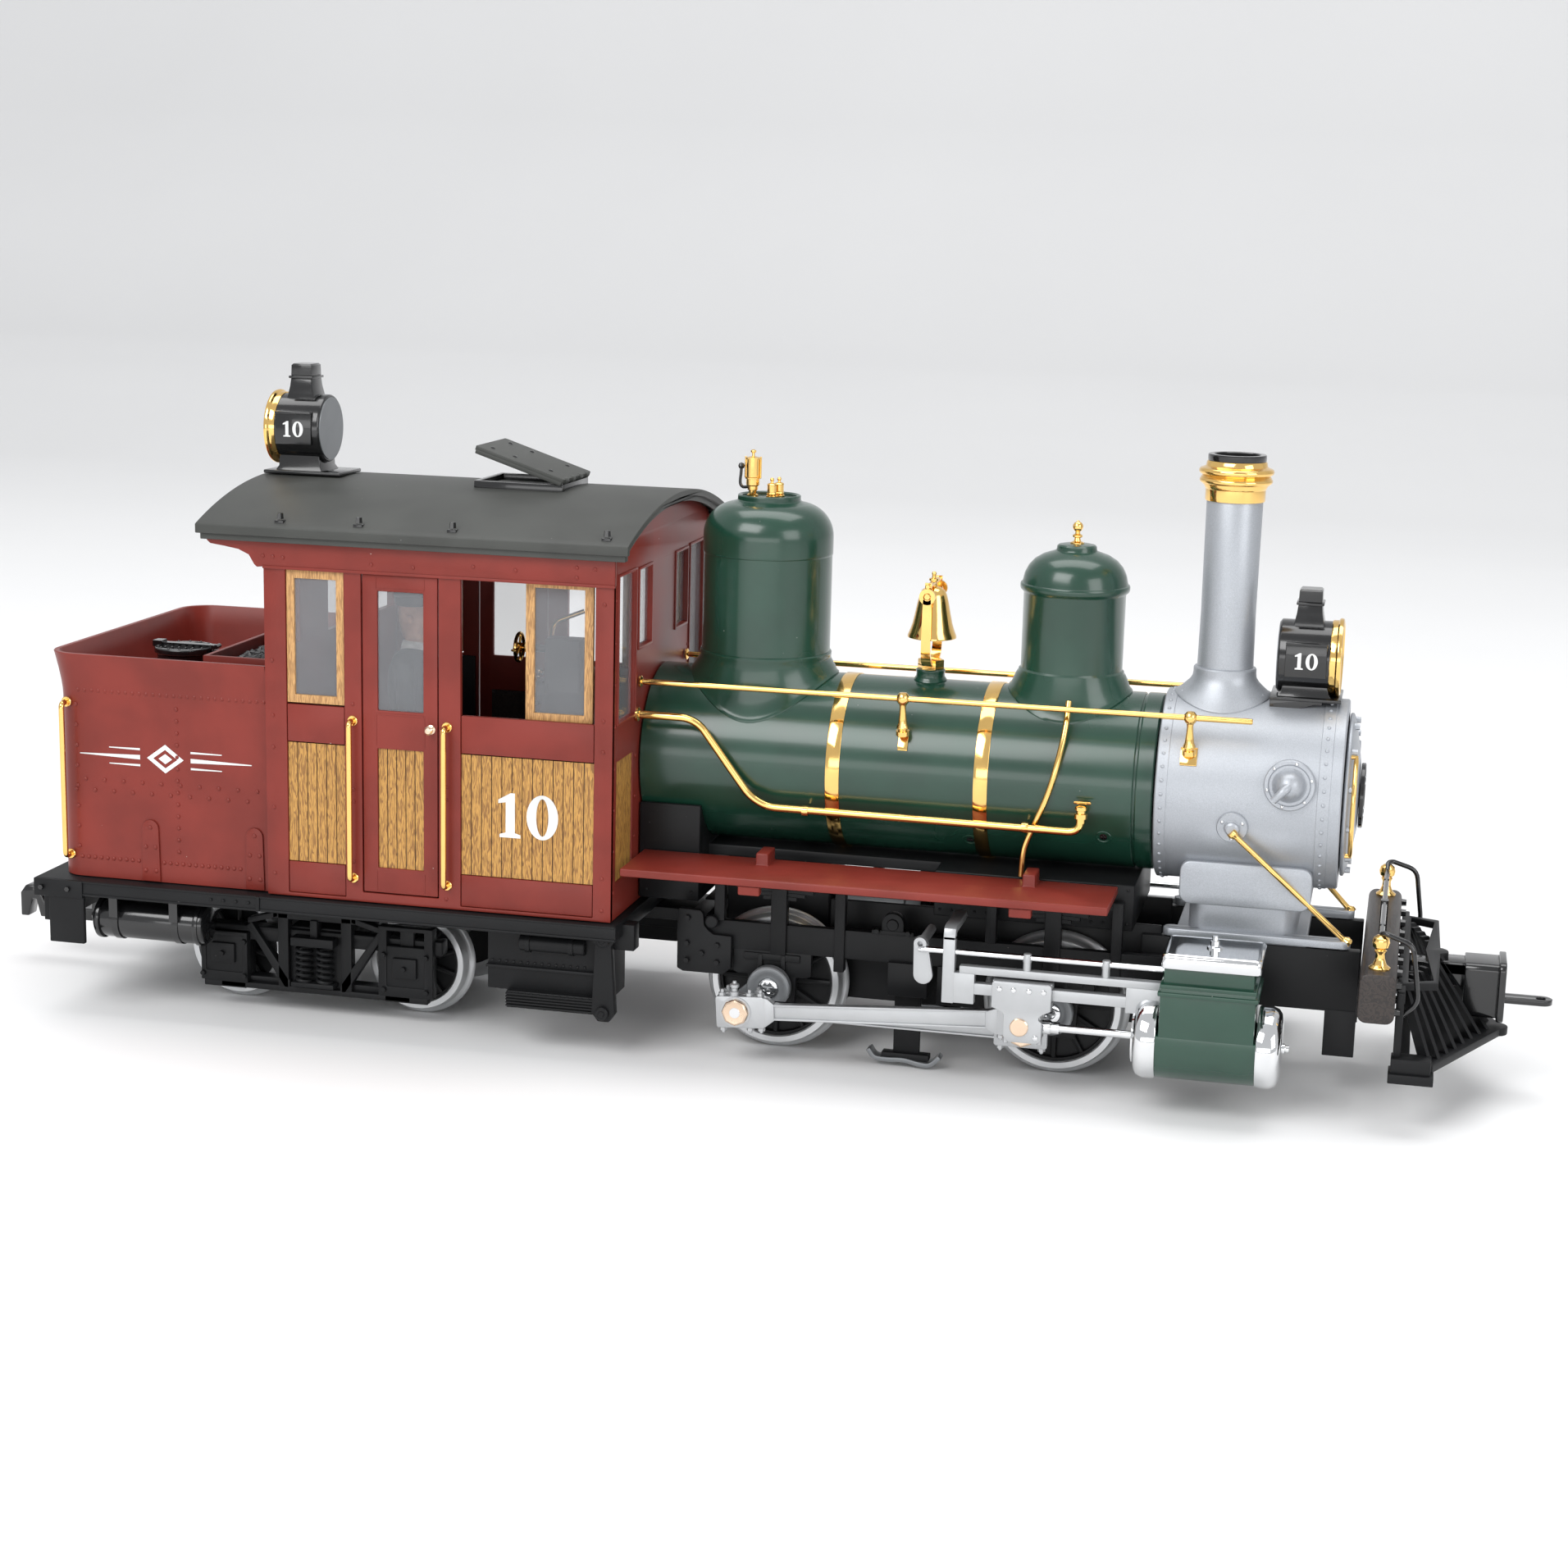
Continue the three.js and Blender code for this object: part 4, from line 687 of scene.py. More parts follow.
def coil_tree():
    """An upright coil spring."""
    tree = Tree("coil_spring", [("Turns", "NodeSocketFloat", 6.0), ("Radius", "NodeSocketFloat", 0.003),
        ("Height", "NodeSocketFloat", 0.01), ("Wire", "NodeSocketFloat", 0.0006),
        ("Centre", "NodeSocketVector", None), ("Finish", "NodeSocketMaterial", None)])
    coil = tree.node("GeometryNodeCurveSpiral", None, {"Resolution": 20, "Rotations": tree.given("Turns"),
        "Start Radius": tree.given("Radius"), "End Radius": tree.given("Radius"),
        "Height": tree.given("Height")})
    section = tree.node("GeometryNodeCurvePrimitiveCircle", None, {"Resolution": 8,
        "Radius": tree.given("Wire")})
    wire = tree.node("GeometryNodeCurveToMesh", None, {0: coil.outputs[0],
        "Profile Curve": section.outputs[0], "Fill Caps": True})
    placed = tree.node("GeometryNodeTransform", None, {0: wire.outputs[0],
        "Translation": tree.given("Centre")})
    return tree.close(placed.outputs[0])


def coal_tree():
    """Broken lumps heaped on a surface, of several sizes and turned every way."""
    tree = Tree("coal_heap", [("Density", "NodeSocketFloat", 90000.0), ("Lump", "NodeSocketFloat", 0.0022),
        ("Seed", "NodeSocketInt", 1), ("Finish", "NodeSocketMaterial", None)])
    spots = tree.node("GeometryNodeDistributePointsOnFaces", None, {0: tree.given("Geometry"),
        "Density": tree.given("Density"), "Seed": tree.given("Seed")})
    ball = tree.node("GeometryNodeMeshIcoSphere", None, {"Radius": 1.0, "Subdivisions": 2})
    dent = tree.node("ShaderNodeTexNoise", None, {"Scale": 1.3, "Detail": 2.0})
    push = tree.node("ShaderNodeVectorMath", {"operation": "SUBTRACT"}, {0: dent.outputs[1],
        1: (0.5, 0.5, 0.5)})
    bent = tree.node("GeometryNodeSetPosition", None, {0: ball.outputs[0], "Offset": push.outputs[0]})
    size = tree.node("FunctionNodeRandomValue", {"data_type": "FLOAT"}, {2: 0.55, 3: 1.25,
        "Seed": tree.given("Seed")})
    amount = tree.node("ShaderNodeMath", {"operation": "MULTIPLY"}, {0: size.outputs[1],
        1: tree.given("Lump")})
    turn = tree.node("FunctionNodeRandomValue", {"data_type": "FLOAT_VECTOR"}, {0: (0, 0, 0),
        1: (6.28, 6.28, 6.28), "Seed": tree.given("Seed")})
    lumps = tree.node("GeometryNodeInstanceOnPoints", None, {"Points": spots.outputs[0],
        "Instance": bent.outputs[0], "Rotation": turn.outputs[0], "Scale": scaled(tree, amount.outputs[0],
        amount.outputs[0], amount.outputs[0])})
    return tree.close(lumps.outputs[0])


TREES = {}


def grown(tree_name, name, finish, body, values, carrier=None, smooth=32):
    """Runs a node tree and keeps its result as a plain piece."""
    if tree_name not in TREES:
        makers = {"round": lambda: stud_tree(False), "hex": lambda: stud_tree(True), "slats": slat_tree,
            "spokes": spoke_tree, "leaves": leaf_tree, "coil": coil_tree, "coal": coal_tree}
        TREES[tree_name] = makers[tree_name]()
    tree = TREES[tree_name]
    data = carrier or bpy.data.meshes.new(name + "_seed")
    seed = bpy.data.objects.new(name + "_seed", data)
    bpy.context.scene.collection.objects.link(seed)
    modifier = seed.modifiers.new("grow", "NODES")
    modifier.node_group = tree.tree
    for label, value in {**values, "Finish": FINISH[finish]}.items():
        modifier[tree.keys[label]] = value
    bpy.context.view_layer.update()
    seen = seed.evaluated_get(bpy.context.evaluated_depsgraph_get())
    made = bpy.data.meshes.new_from_object(seen)
    made.name = name
    seed.modifiers.remove(modifier)
    bpy.data.objects.remove(seed)
    return as_piece(made, name, finish, body, (), smooth)


def world(x, y, z):
    return Vector((CAB_FRONT + x * MM, y * MM, z * MM))


def studs(kind, name, spots, radius, height, finish, body="chassis"):
    """Rivets or bolt heads. Each spot is a point in millimetres and the way it faces."""
    data = bpy.data.meshes.new(name + "_spots")
    data.from_pydata([world(*point) for point, _ in spots], [], [])
    facing = data.attributes.new("facing", "FLOAT_VECTOR", "POINT")
    facing.data.foreach_set("vector", [c for _, way in spots for c in way])
    return grown(kind, name, finish, body, {"Radius": radius * MM, "Height": height * MM}, data)


def both_sides(spots):
    """The spots and their reflections in the middle plane."""
    return [*spots, *[((x, -y, z), (a, -b, c)) for (x, y, z), (a, b, c) in spots]]


def row(start, end, count):
    """Evenly spaced numbers from start to end."""
    return [start + (end - start) * i / (count - 1) for i in range(count)]


# ---- Tank, bunker and coal ----

TANK = box_of("tank_body")
TANK_HALF = 54.5
TANK_CORNER = 8.0
TANK_REAR = -193.0
TANK_DECK = 108.0
BUNKER_BACK = -151.0
FILLER = Vector((-168.0, -8.0, TANK_DECK))


def tank_loop(grow, z):
    """The tank's outline, grown outwards, as a loop at one height."""
    radius = max(TANK_CORNER + grow, 1.5)
    half, back, front = TANK_HALF + grow, TANK_REAR - grow, TANK.x1
    left = circle(back + radius, half - radius, radius, 8, math.pi / 2, math.pi / 2)
    right = circle(back + radius, radius - half, radius, 8, math.pi, math.pi / 2)
    return [(x, y, z) for x, y in [(front, -half), (front, half), *left, *right]]


def build_tank():
    rim = TANK.z1
    wall = [(0, TANK.z0), (0, 107.5), (0.12, 109.4), (0.5, 112.3), (1.2, 116), (2.1, 120), (2.6, rim - 0.2),
        (2.4, rim), (0.9, rim), (0.6, rim - 0.4), (-0.5, 115.6), (-1.4, 111), (-2.0, TANK_DECK)]
    finished(Form().rings([tank_loop(g, z) for g, z in wall]), "tank_shell", "red", replaces=("tank_body",))
    front = TANK.x1
    inner = rectangle(BUNKER_BACK + 1.6, front - 1, -28.9, 28.9)
    bunker = Form().plate("z", TANK_DECK - 0.4, 119.6, rectangle(BUNKER_BACK, front, -30.5, 30.5), [inner])
    finished(bunker.soften(0.3), "coal_bunker", "red")
    deck = Form().plate("x", TANK_REAR + 3, BUNKER_BACK - 0.6, rectangle(-0.4, 0.4, TANK_DECK,
        TANK_DECK + 0.5))
    finished(deck.soften(0.12), "deck_seam", "red")
    neck = Form().turned([(0, 0), (9.9, 0), (9.9, 0.9), (9.4, 1.2), (9.4, 7.8), (0, 7.8)], FILLER, sides=48)
    finished(neck, "filler_neck", "gloss_black")
    post = Form().block(-157.4, -154.2, -9.8, -6.2, TANK_DECK - 0.2, 117.6).soften(0.3)
    finished(post, "filler_hinge_post", "gloss_black")
    top = Vector((FILLER.x, FILLER.y, 116.3))
    cover = Form().turned([(0, 0), (10.1, 0), (10.3, 0.3), (10.3, 1.5), *arc_profile(9.7, 1.5, 0.6, 0, 90,
        4), (8.6, 2.1), (8.2, 1.8), (0, 1.9)], top, sides=48)
    cover.block(FILLER.x - 8.4, -155.5, FILLER.y - 1.5, FILLER.y + 1.5, 118.0, 119.3)
    cover.rod("y", 0.8, FILLER.y - 1.9, FILLER.y + 1.9, (-155.9, 118.8), 16)
    cover.block(FILLER.x - 10.9, FILLER.x - 7.6, FILLER.y - 2.2, FILLER.y + 2.2, 117.9, 119.9)
    finished(cover, "filler_cover", "gloss_black", "filler", ("filler_lid",))
    spots = [((FILLER.x + u, FILLER.y + v, 118.3), (0, 0, 1)) for u, v in [*circle(0, 0, 8.9, 14),
        *[(x, y) for y in (-4.6, 4.6) for x in row(-5, 5, 5)]]]
    studs("round", "filler_studs", spots, 0.5, 0.45, "gloss_black", "filler")
    build_tank_rivets()
    build_coal()


def build_tank_rivets():
    """Rows along every seam of the tank's sides and back."""
    y = -TANK_HALF
    flank = [((x, y, 109.9), (0, -1, 0)) for x in row(-184.5, -118.8, 28)]
    brackets = (-159.5, -122.5)
    for x in row(-184.5, -118.8, 30):
        if all(abs(x - b) > 3.8 for b in brackets):
            flank.append(((x, y, 53.4), (0, -1, 0)))
    flank += [((-149.6, y, z), (0, -1, 0)) for z in row(57.5, 105.5, 13)]
    flank += [((x, y, 80.0), (0, -1, 0)) for x in row(-182.5, -121.5, 10)]
    flank += [((x, y, 76.4), (0, -1, 0)) for x in row(-186.0, -125.0, 10)]
    flank += [((x, y, z), (0, -1, 0)) for x, z in zip([-185.4] * 8, row(57, 105, 8))]
    back = [((TANK_REAR, v, 109.9), (-1, 0, 0)) for v in row(-44, 44, 37)]
    back += [((TANK_REAR, v, 53.4), (-1, 0, 0)) for v in row(-44, 44, 37)]
    back += [((TANK_REAR, v, z), (-1, 0, 0)) for v in (-24, 24) for z in row(57.5, 105.5, 13)]
    back += [((TANK_REAR, v, 78.2), (-1, 0, 0)) for v in row(-42, 42, 13)]
    size = bpy.context.scene.engine_sizes.rivet
    studs("round", "tank_rivets", both_sides(flank) + back, size, size * 0.75, "red")
    for side, way in SIDES:
        plates = Form()
        for x in brackets:
            crown = circle(x, 64.9, 2.9, 9, 0, math.pi)
            outline = [(x - 3.3, TANK.z0 + 0.2), (x + 3.3, TANK.z0 + 0.2), *crown]
            plates.plate("y", -TANK_HALF - 0.75, -TANK_HALF + 0.3, outline)
        finished(plates.soften(0.25), f"tank_gussets_{side}", "red", flip=way > 0)
    heads = [((x + dx, -TANK_HALF - 0.75, z), (0, -1, 0)) for x in brackets for dx, z in ((0, 65.2),
        (-1.7, 58.6), (1.7, 58.6), (-1.9, 50.6), (1.9, 50.6))]
    studs("round", "gusset_rivets", both_sides(heads), size * 1.1, size * 0.7, "red")


def build_coal():
    """A heap that rises in the middle of the bunker, with its lumps."""
    front = TANK.x1 - 2.4
    bed = Form()
    steps = 8
    xs, ys = row(BUNKER_BACK + 2, front, steps), row(-28.4, 28.4, steps)
    points = [(x, y,
        112.4
        + 5.2 * math.sin(math.pi * i / (steps - 1)) ** 0.6 * math.sin(math.pi * j / (steps - 1)) ** 0.6)
        for i, x in enumerate(xs) for j, y in enumerate(ys)]
    faces = [(i * steps + j, i * steps + j + 1, (i + 1) * steps + j + 1, (i + 1) * steps + j)
        for i in range(steps - 1) for j in range(steps - 1)]
    bed.skin(points, faces)
    data = bpy.data.meshes.new("coal_bed")
    for v in bed.mesh.verts:
        v.co = world(*v.co)
    bed.mesh.to_mesh(data)
    seed = bpy.context.scene.engine_sizes.coal_seed
    heap = grown("coal", "coal_lumps", "coal", "chassis", {"Density": 170000.0, "Lump": 2.1 * MM,
        "Seed": seed}, data, 20)
    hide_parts("coal_load")
    base = Form().block(BUNKER_BACK + 1.8, front + 1, -28.7, 28.7, TANK_DECK, 112.6).soften(0.4)
    finished(base, "coal_base", "coal")


def build_ornament():
    """A plain painted lozenge between tapering bars, where a railway's initials would go."""
    for side, way in SIDES:
        form = Form()
        y0, y1 = -TANK_HALF - 0.12, -TANK_HALF + 0.2
        x, z = -153.8, 88.6
        form.plate("y", y0, y1, [(x - 6.5, z), (x, z - 4.8), (x + 6.5, z), (x, z + 4.8)],
            [[(x - 4.3, z), (x, z - 3.1), (x + 4.3, z), (x, z + 3.1)]])
        form.plate("y", y0, y1, [(x - 2.4, z), (x, z - 1.7), (x + 2.4, z), (x, z + 1.7)])
        for turn in (-1, 1):
            for reach, thick, shift in ((30.5, 1.5, 0.0), (20.0, 0.7, 2.7), (20.0, 0.7, -2.7)):
                near, far = x + turn * 9.0, x + turn * reach
                form.plate("y", y0, y1, [(near, z + shift - thick / 2), (far, z + shift - 0.15),
                    (far, z + shift + 0.15), (near, z + shift + thick / 2)])
        finished(form, f"tank_ornament_{side}", "cream", flip=way > 0)


# ---- Cab ----

CAB_REAR = -117.0
CAB_HALF = 57.5
CAB_WALL = 2.2
CAB_LOW = 46.7
ROOF = box_of("cab_roof")
ROOF_EDGE = 168.0
ROOF_APEX = ROOF_EDGE + 11.0
ROOF_HALF = 62.0
ROOF_RADIUS = (ROOF_HALF ** 2 + (ROOF_APEX - ROOF_EDGE) ** 2) / (2 * (ROOF_APEX - ROOF_EDGE))
WINDOW = (111.0, 154.4)
PANEL = (58.6, 98.0)
REAR_BAY = (-109.6, -89.7)
FRONT_BAY = (-50.4, -6.0)
DOORWAY = (-83.9, -57.8, 49.9, 154.6)


def roof_at(y, drop):
    """The roof's height at y, a distance in from its outer face."""
    radius = ROOF_RADIUS - drop
    return ROOF_APEX - drop - (radius - math.sqrt(radius ** 2 - y ** 2))


def arch(half, low, drop, steps=28):
    """A wall's outline up to the curve of the roof."""
    return [(-half, low), (half, low), *[(y, roof_at(y, drop)) for y in row(half, -half, steps)]]


def build_cab():
    outer, inner = -CAB_HALF, CAB_WALL - CAB_HALF
    bays = [rectangle(*REAR_BAY, CAB_LOW + 1.2, WINDOW[1]), rectangle(*DOORWAY), rectangle(*FRONT_BAY,
        CAB_LOW + 1.2, WINDOW[1])]
    for side, way in SIDES:
        flip = way > 0
        wall = Form().plate("y", outer, inner, rectangle(CAB_REAR, 0, CAB_LOW, 164.8), bays)
        finished(wall.soften(0.28), f"cab_side_{side}", "red", flip=flip, replaces=("cab_body",) if way < 0
            else ())
        rails = Form()
        for low, high in (REAR_BAY, FRONT_BAY):
            for z0, z1 in ((CAB_LOW + 1.2, PANEL[0] - 0.2), (PANEL[1] + 0.2, WINDOW[0] - 0.4)):
                rails.block(low + 0.18, high - 0.18, outer + 0.22, inner, z0 + 0.18, z1)
        finished(rails.soften(0.25), f"cab_rails_{side}", "red", flip=flip)
        frieze_line = [(CAB_REAR + 0.6, 154.9), (0.35, 154.9), (0.35, 165.2), (ROOF.x0 + 2.6, 165.2),
            (ROOF.x0 + 2.2, 162.4), (ROOF.x0 + 3.4, 161.4), (ROOF.x0 + 8, 160.8), (ROOF.x0 + 13, 160.0),
            (ROOF.x0 + 16.6, 158.4), (ROOF.x0 + 18.4, 155.4), (CAB_REAR - 2.0, 154.6)]
        frieze = Form().plate("y", outer - 0.55, outer + 1.4, frieze_line)
        frieze.block(CAB_REAR, 0.4, outer - 0.85, outer + 0.4, 154.3, 155.3)
        finished(frieze.soften(0.22), f"cab_frieze_{side}", "red", flip=flip)
        for name, (low, high) in (("rear", REAR_BAY), ("front", FRONT_BAY)):
            planking(f"cab_planks_{name}_{side}", low, high, PANEL, way, 0.75, "chassis")
        # Painted shade: a black sheet on the inner face of the wall below the windows, for the dim inside of
        # the cab seen through the glass.
        shade_sheet = Form().block(CAB_REAR + CAB_WALL, DOORWAY[0] - 1, inner + 0.05, inner + 0.9, CAB_LOW, 110)
        shade_sheet.block(DOORWAY[1] + 1, -CAB_WALL, inner + 0.05, inner + 0.9, CAB_LOW, 109.2)
        finished(shade_sheet.soften(0.2), f"cab_shade_sheet_{side}", "black", flip=flip)
        wooden_frame(f"rear_window_{side}", REAR_BAY, (WINDOW[0], WINDOW[1]), outer + 0.5, 2.7, way,
            "chassis")
        wooden_frame(f"sash_frame_{side}", (-29.8, -7.2), (109.7, 155.8), -54.9, 2.9, way,
            "sash_r" if way < 0 else "sash_l", f"window_sash_{side}")
    build_end_walls()
    build_cab_fittings()


def planking(name, low, high, heights, way, inset, body, end_wall=None):
    """Upright boards side by side in a panel, with a dark groove between boards."""
    pitch = bpy.context.scene.engine_sizes.plank
    count = max(2, round((high - low) / pitch))
    step = (high - low) / count
    z0, z1 = heights
    gap, thick = 0.3, 0.9
    if end_wall is None:
        y = way * (CAB_HALF - inset - thick / 2)
        start, offset = world(low + step / 2, y, (z0 + z1) / 2), (step * MM, 0, 0)
        size = ((step - gap) * MM, thick * MM, (z1 - z0) * MM)
        finish = "planks"
        back = Form().block(low - 0.1, high + 0.1, CAB_HALF - inset - thick - 0.5, CAB_HALF - inset - 0.3,
            z0, z1)
    else:
        start = Vector((CAB_FRONT + end_wall * MM, (low + step / 2) * MM, (z0 + z1) / 2 * MM))
        offset, size = (0, step * MM, 0), (thick * MM, (step - gap) * MM, (z1 - z0) * MM)
        finish = "planks_end"
        lean = math.copysign(1, inset)
        faces = sorted((end_wall - lean * 0.2, end_wall - lean * 0.9))
        back = Form().block(*faces, low - 0.1, high + 0.1, z0, z1)
    grown("slats", name, finish, body, {"Count": count, "Start": start, "Step": offset, "Size": size})
    finished(back, name + "_back", "beam", body, flip=end_wall is None and way < 0)


def wooden_frame(name, xs, zs, y, width, way, body, node=None):
    """A window frame with its glass, built for the right side and reflected for the left."""
    (x0, x1), (z0, z1) = xs, zs
    x0, x1, z0, z1 = x0 + 0.15, x1 - 0.15, z0 + 0.15, z1 - 0.15
    light = rectangle(x0 + width, x1 - width, z0 + width, z1 - width)
    frame_form = Form().plate("y", y, y + 1.5, rectangle(x0, x1, z0, z1), [light])
    finished(frame_form.soften(0.2), name, "sash", body, (node,) if node else (), flip=way > 0)
    pane = Form().block(x0 + width - 0.3, x1 - width + 0.3, y + 0.6, y + 0.95, z0 + width - 0.3,
        z1 - width + 0.3)
    finished(pane, name + "_pane", "pane", body, flip=way > 0)


def build_end_walls():
    """The arched walls at the cab's front and back, with their windows."""
    tall = [rectangle(*sorted((s * 33.2, s * 52.2)), 110.5, 157.0) for s in (-1, 1)]
    short = [rectangle(*sorted((s * 15.0, s * 29.4)), 131.5, 156.5) for s in (-1, 1)]
    panels = [rectangle(*sorted((s * 34.0, s * 52.4)), 58.6, 98.0) for s in (-1, 1)]
    front = Form().plate("x", -CAB_WALL, 0, arch(CAB_HALF - 0.1, CAB_LOW, 2.6), tall + short + panels)
    finished(front.soften(0.25), "cab_front_wall", "red")
    back_lights = [rectangle(*sorted((s * 33.2, s * 52.2)), 127.0, 157.0) for s in (-1, 1)]
    doorlight = [rectangle(-9, 9, 127.0, 157.0)]
    rear = Form().plate("x", CAB_REAR, CAB_REAR + CAB_WALL, arch(CAB_HALF - 0.1, CAB_LOW, 2.6),
        back_lights + doorlight)
    finished(rear.soften(0.25), "cab_rear_wall", "red")
    lights = Form()
    trim = Form()
    for hole in tall + short:
        (y0, z0), (y1, z1) = hole[0], hole[2]
        trim.plate("x", -0.3, 0.5, rectangle(y0 - 0.9, y1 + 0.9, z0 - 0.9, z1 + 0.9), [hole])
        lights.block(-1.5, -1.2, y0 - 0.1, y1 + 0.1, z0 - 0.1, z1 + 0.1)
    for hole in back_lights + doorlight:
        (y0, z0), (y1, z1) = hole[0], hole[2]
        trim.plate("x", CAB_REAR - 0.5, CAB_REAR + 0.3, rectangle(y0 - 0.9, y1 + 0.9, z0 - 0.9, z1 + 0.9),
            [hole])
        lights.block(CAB_REAR + 1.2, CAB_REAR + 1.5, y0 - 0.1, y1 + 0.1, z0 - 0.1, z1 + 0.1)
    finished(trim.soften(0.2), "end_window_trim", "red")
    finished(lights, "end_window_panes", "pane")
    for s, side in ((-1, "right"), (1, "left")):
        low, high = sorted((s * 34.1, s * 52.3))
        planking(f"front_wall_planks_{side}", low, high, (58.8, 97.8), s, 1, "chassis", -0.9)


def grab_rail(form, x, y, low, high, radius, root):
    """An upright rail bent in to the wall at both ends."""
    form.tube(bent_path([(x, root, low), (x, y, low), (x, y, high), (x, root, high)], 3.0, 6), radius, 14)
    for z in (low, high):
        form.rod("y", radius * 1.8, root + 0.2, root - 0.7, (x, z), 18)
    return form


def build_cab_fittings():
    rail = bpy.context.scene.engine_sizes.rail
    for side, way in SIDES:
        flip = way > 0
        rails = Form()
        for x in (-86.9, -54.9):
            grab_rail(rails, x, -61.0, 54.6, 106.6, rail, -CAB_HALF)
        finished(rails, f"cab_grab_rails_{side}", "brass", flip=flip)
        tank_rail = grab_rail(Form(), -188.6, -58.4, 54.0, 105.6, rail, -TANK_HALF)
        finished(tank_rail, f"tank_grab_rail_{side}", "brass", flip=flip)
        build_door(side, way)
    y = -CAB_HALF
    spots = [((x, y, z), (0, -1, 0)) for x, zs in ((-114.4, (54, 76, 96, 106.5, 124.5)),
        (-86.9, (60, 80, 84, 112)), (-55.2, (50, 83, 87)), (-3.0, (50.5, 61, 102, 112, 149))) for z in zs]
    spots += [((x, y - 0.55, z), (0, -1, 0)) for x, z in ((-116.8, 158.3), (-113.4, 158.2), (-110.0, 158.0),
        (-80.0, 157.4), (-66.0, 157.2), (-46.0, 158.6), (-32.0, 158.2), (-12.0, 160.2), (-12.0, 157.0),
        (-6.0, 160.0))]
    size = bpy.context.scene.engine_sizes.rivet
    studs("round", "cab_rivets", both_sides(spots), size * 0.95, size * 0.6, "red")
    ends = [((0.0, s * v, z), (1, 0, 0)) for s in (-1, 1) for v in (31.3, 54.8) for z in row(56, 150, 8)]
    studs("round", "front_wall_rivets", ends, size * 0.8, size * 0.5, "red")


def build_door(side, way):
    """A framed door: glass above, boards below, with a lever."""
    body = "door_r" if way < 0 else "door_l"
    flip = way > 0
    x0, x1, z0, z1 = -83.5, -58.2, 50.3, 154.2
    light, panel = rectangle(-78.4, -63.0, 110.5, 149.0), rectangle(-78.6, -63.0, *PANEL)
    leaf = Form().plate("y", -57.3, -55.7, rectangle(x0, x1, z0, z1), [light, panel])
    finished(leaf.soften(0.28), f"door_frame_{side}", "red", body, (f"cab_door_{side}",), flip=flip)
    seams = Form()
    for x in (-78.9, -62.6):
        for low, high in ((z0 + 0.8, PANEL[0] - 1.2), (PANEL[1] + 1.2, 109.4), (149.9, z1 - 0.8)):
            seams.block(x - 0.14, x + 0.14, -57.42, -57.2, low, high)
    seams.block(-78.8, -62.8, -57.45, -57.2, 109.1, 109.6)
    seams.block(-78.8, -62.8, -57.45, -57.2, 149.5, 149.9)
    finished(seams, f"door_seams_{side}", "red", body, flip=flip)
    planking(f"door_planks_{side}", -78.6, -63.0, PANEL, way, 0.9, body)
    pane = Form().block(-78.7, -62.7, -56.7, -56.35, 110.2, 149.3)
    finished(pane, f"door_pane_{side}", "pane", body, flip=flip)
    knob = Form().turned([(0, 0.2), (1.5, 0.2), (1.5, -0.2), (0.7, -0.6), (0.7, -1.4), (1.3, -1.9),
        (1.4, -2.5), (0.9, -3.0), (0, -3.1)], (-60.4, -57.3, 105.4), "y", 24)
    knob.turned([(0, 0), (1.3, 0), (1.3, 0.5), (0.7, 0.9), (0.7, 1.4), (1.2, 1.9), (0.8, 2.5), (0, 2.6)],
        (-60.4, -55.8, 105.4), "y", 24)
    finished(knob, f"door_knob_{side}", "rose", body, flip=flip)


def numeral_outlines(height):
    """A one and a nought with heavy and fine strokes, as outlines with holes, their foot at zero."""
    h = height
    one = [(0.08 * h, 0), (0.56 * h, 0), (0.56 * h, 0.07 * h), (0.43 * h, 0.11 * h), (0.43 * h, h),
        (0.33 * h, h), (0.05 * h, 0.84 * h), (0.05 * h, 0.76 * h), (0.22 * h, 0.79 * h),
        (0.22 * h, 0.11 * h), (0.08 * h, 0.07 * h)]
    cx, cy = 1.06 * h, 0.5 * h
    outer = [(cx + 0.36 * h * math.cos(a), cy + 0.5 * h * math.sin(a)) for a in row(0, 2 * math.pi,
        33)[:-1]]
    inner = [(cx + 0.14 * h * math.cos(a), cy + 0.42 * h * math.sin(a)) for a in row(0, 2 * math.pi,
        33)[:-1]]
    return [(one, []), (outer, [inner])]


def build_numbers():
    for side, way in SIDES:
        form = Form()
        x, z, height = -38.6, 71.9, 14.6
        for outline, holes in numeral_outlines(height):
            if way > 0:
                outline = [(2 * 0.74 * height - u, v) for u, v in outline]
                holes = [[(2 * 0.74 * height - u, v) for u, v in h] for h in holes]
            form.plate("y", 0.65 - CAB_HALF, 1.0 - CAB_HALF, [(x + u, z + v) for u, v in outline],
                [[(x + u, z + v) for u, v in h] for h in holes])
        finished(form, f"cab_number_{side}", "cream", flip=way > 0)


# ---- Roof ----


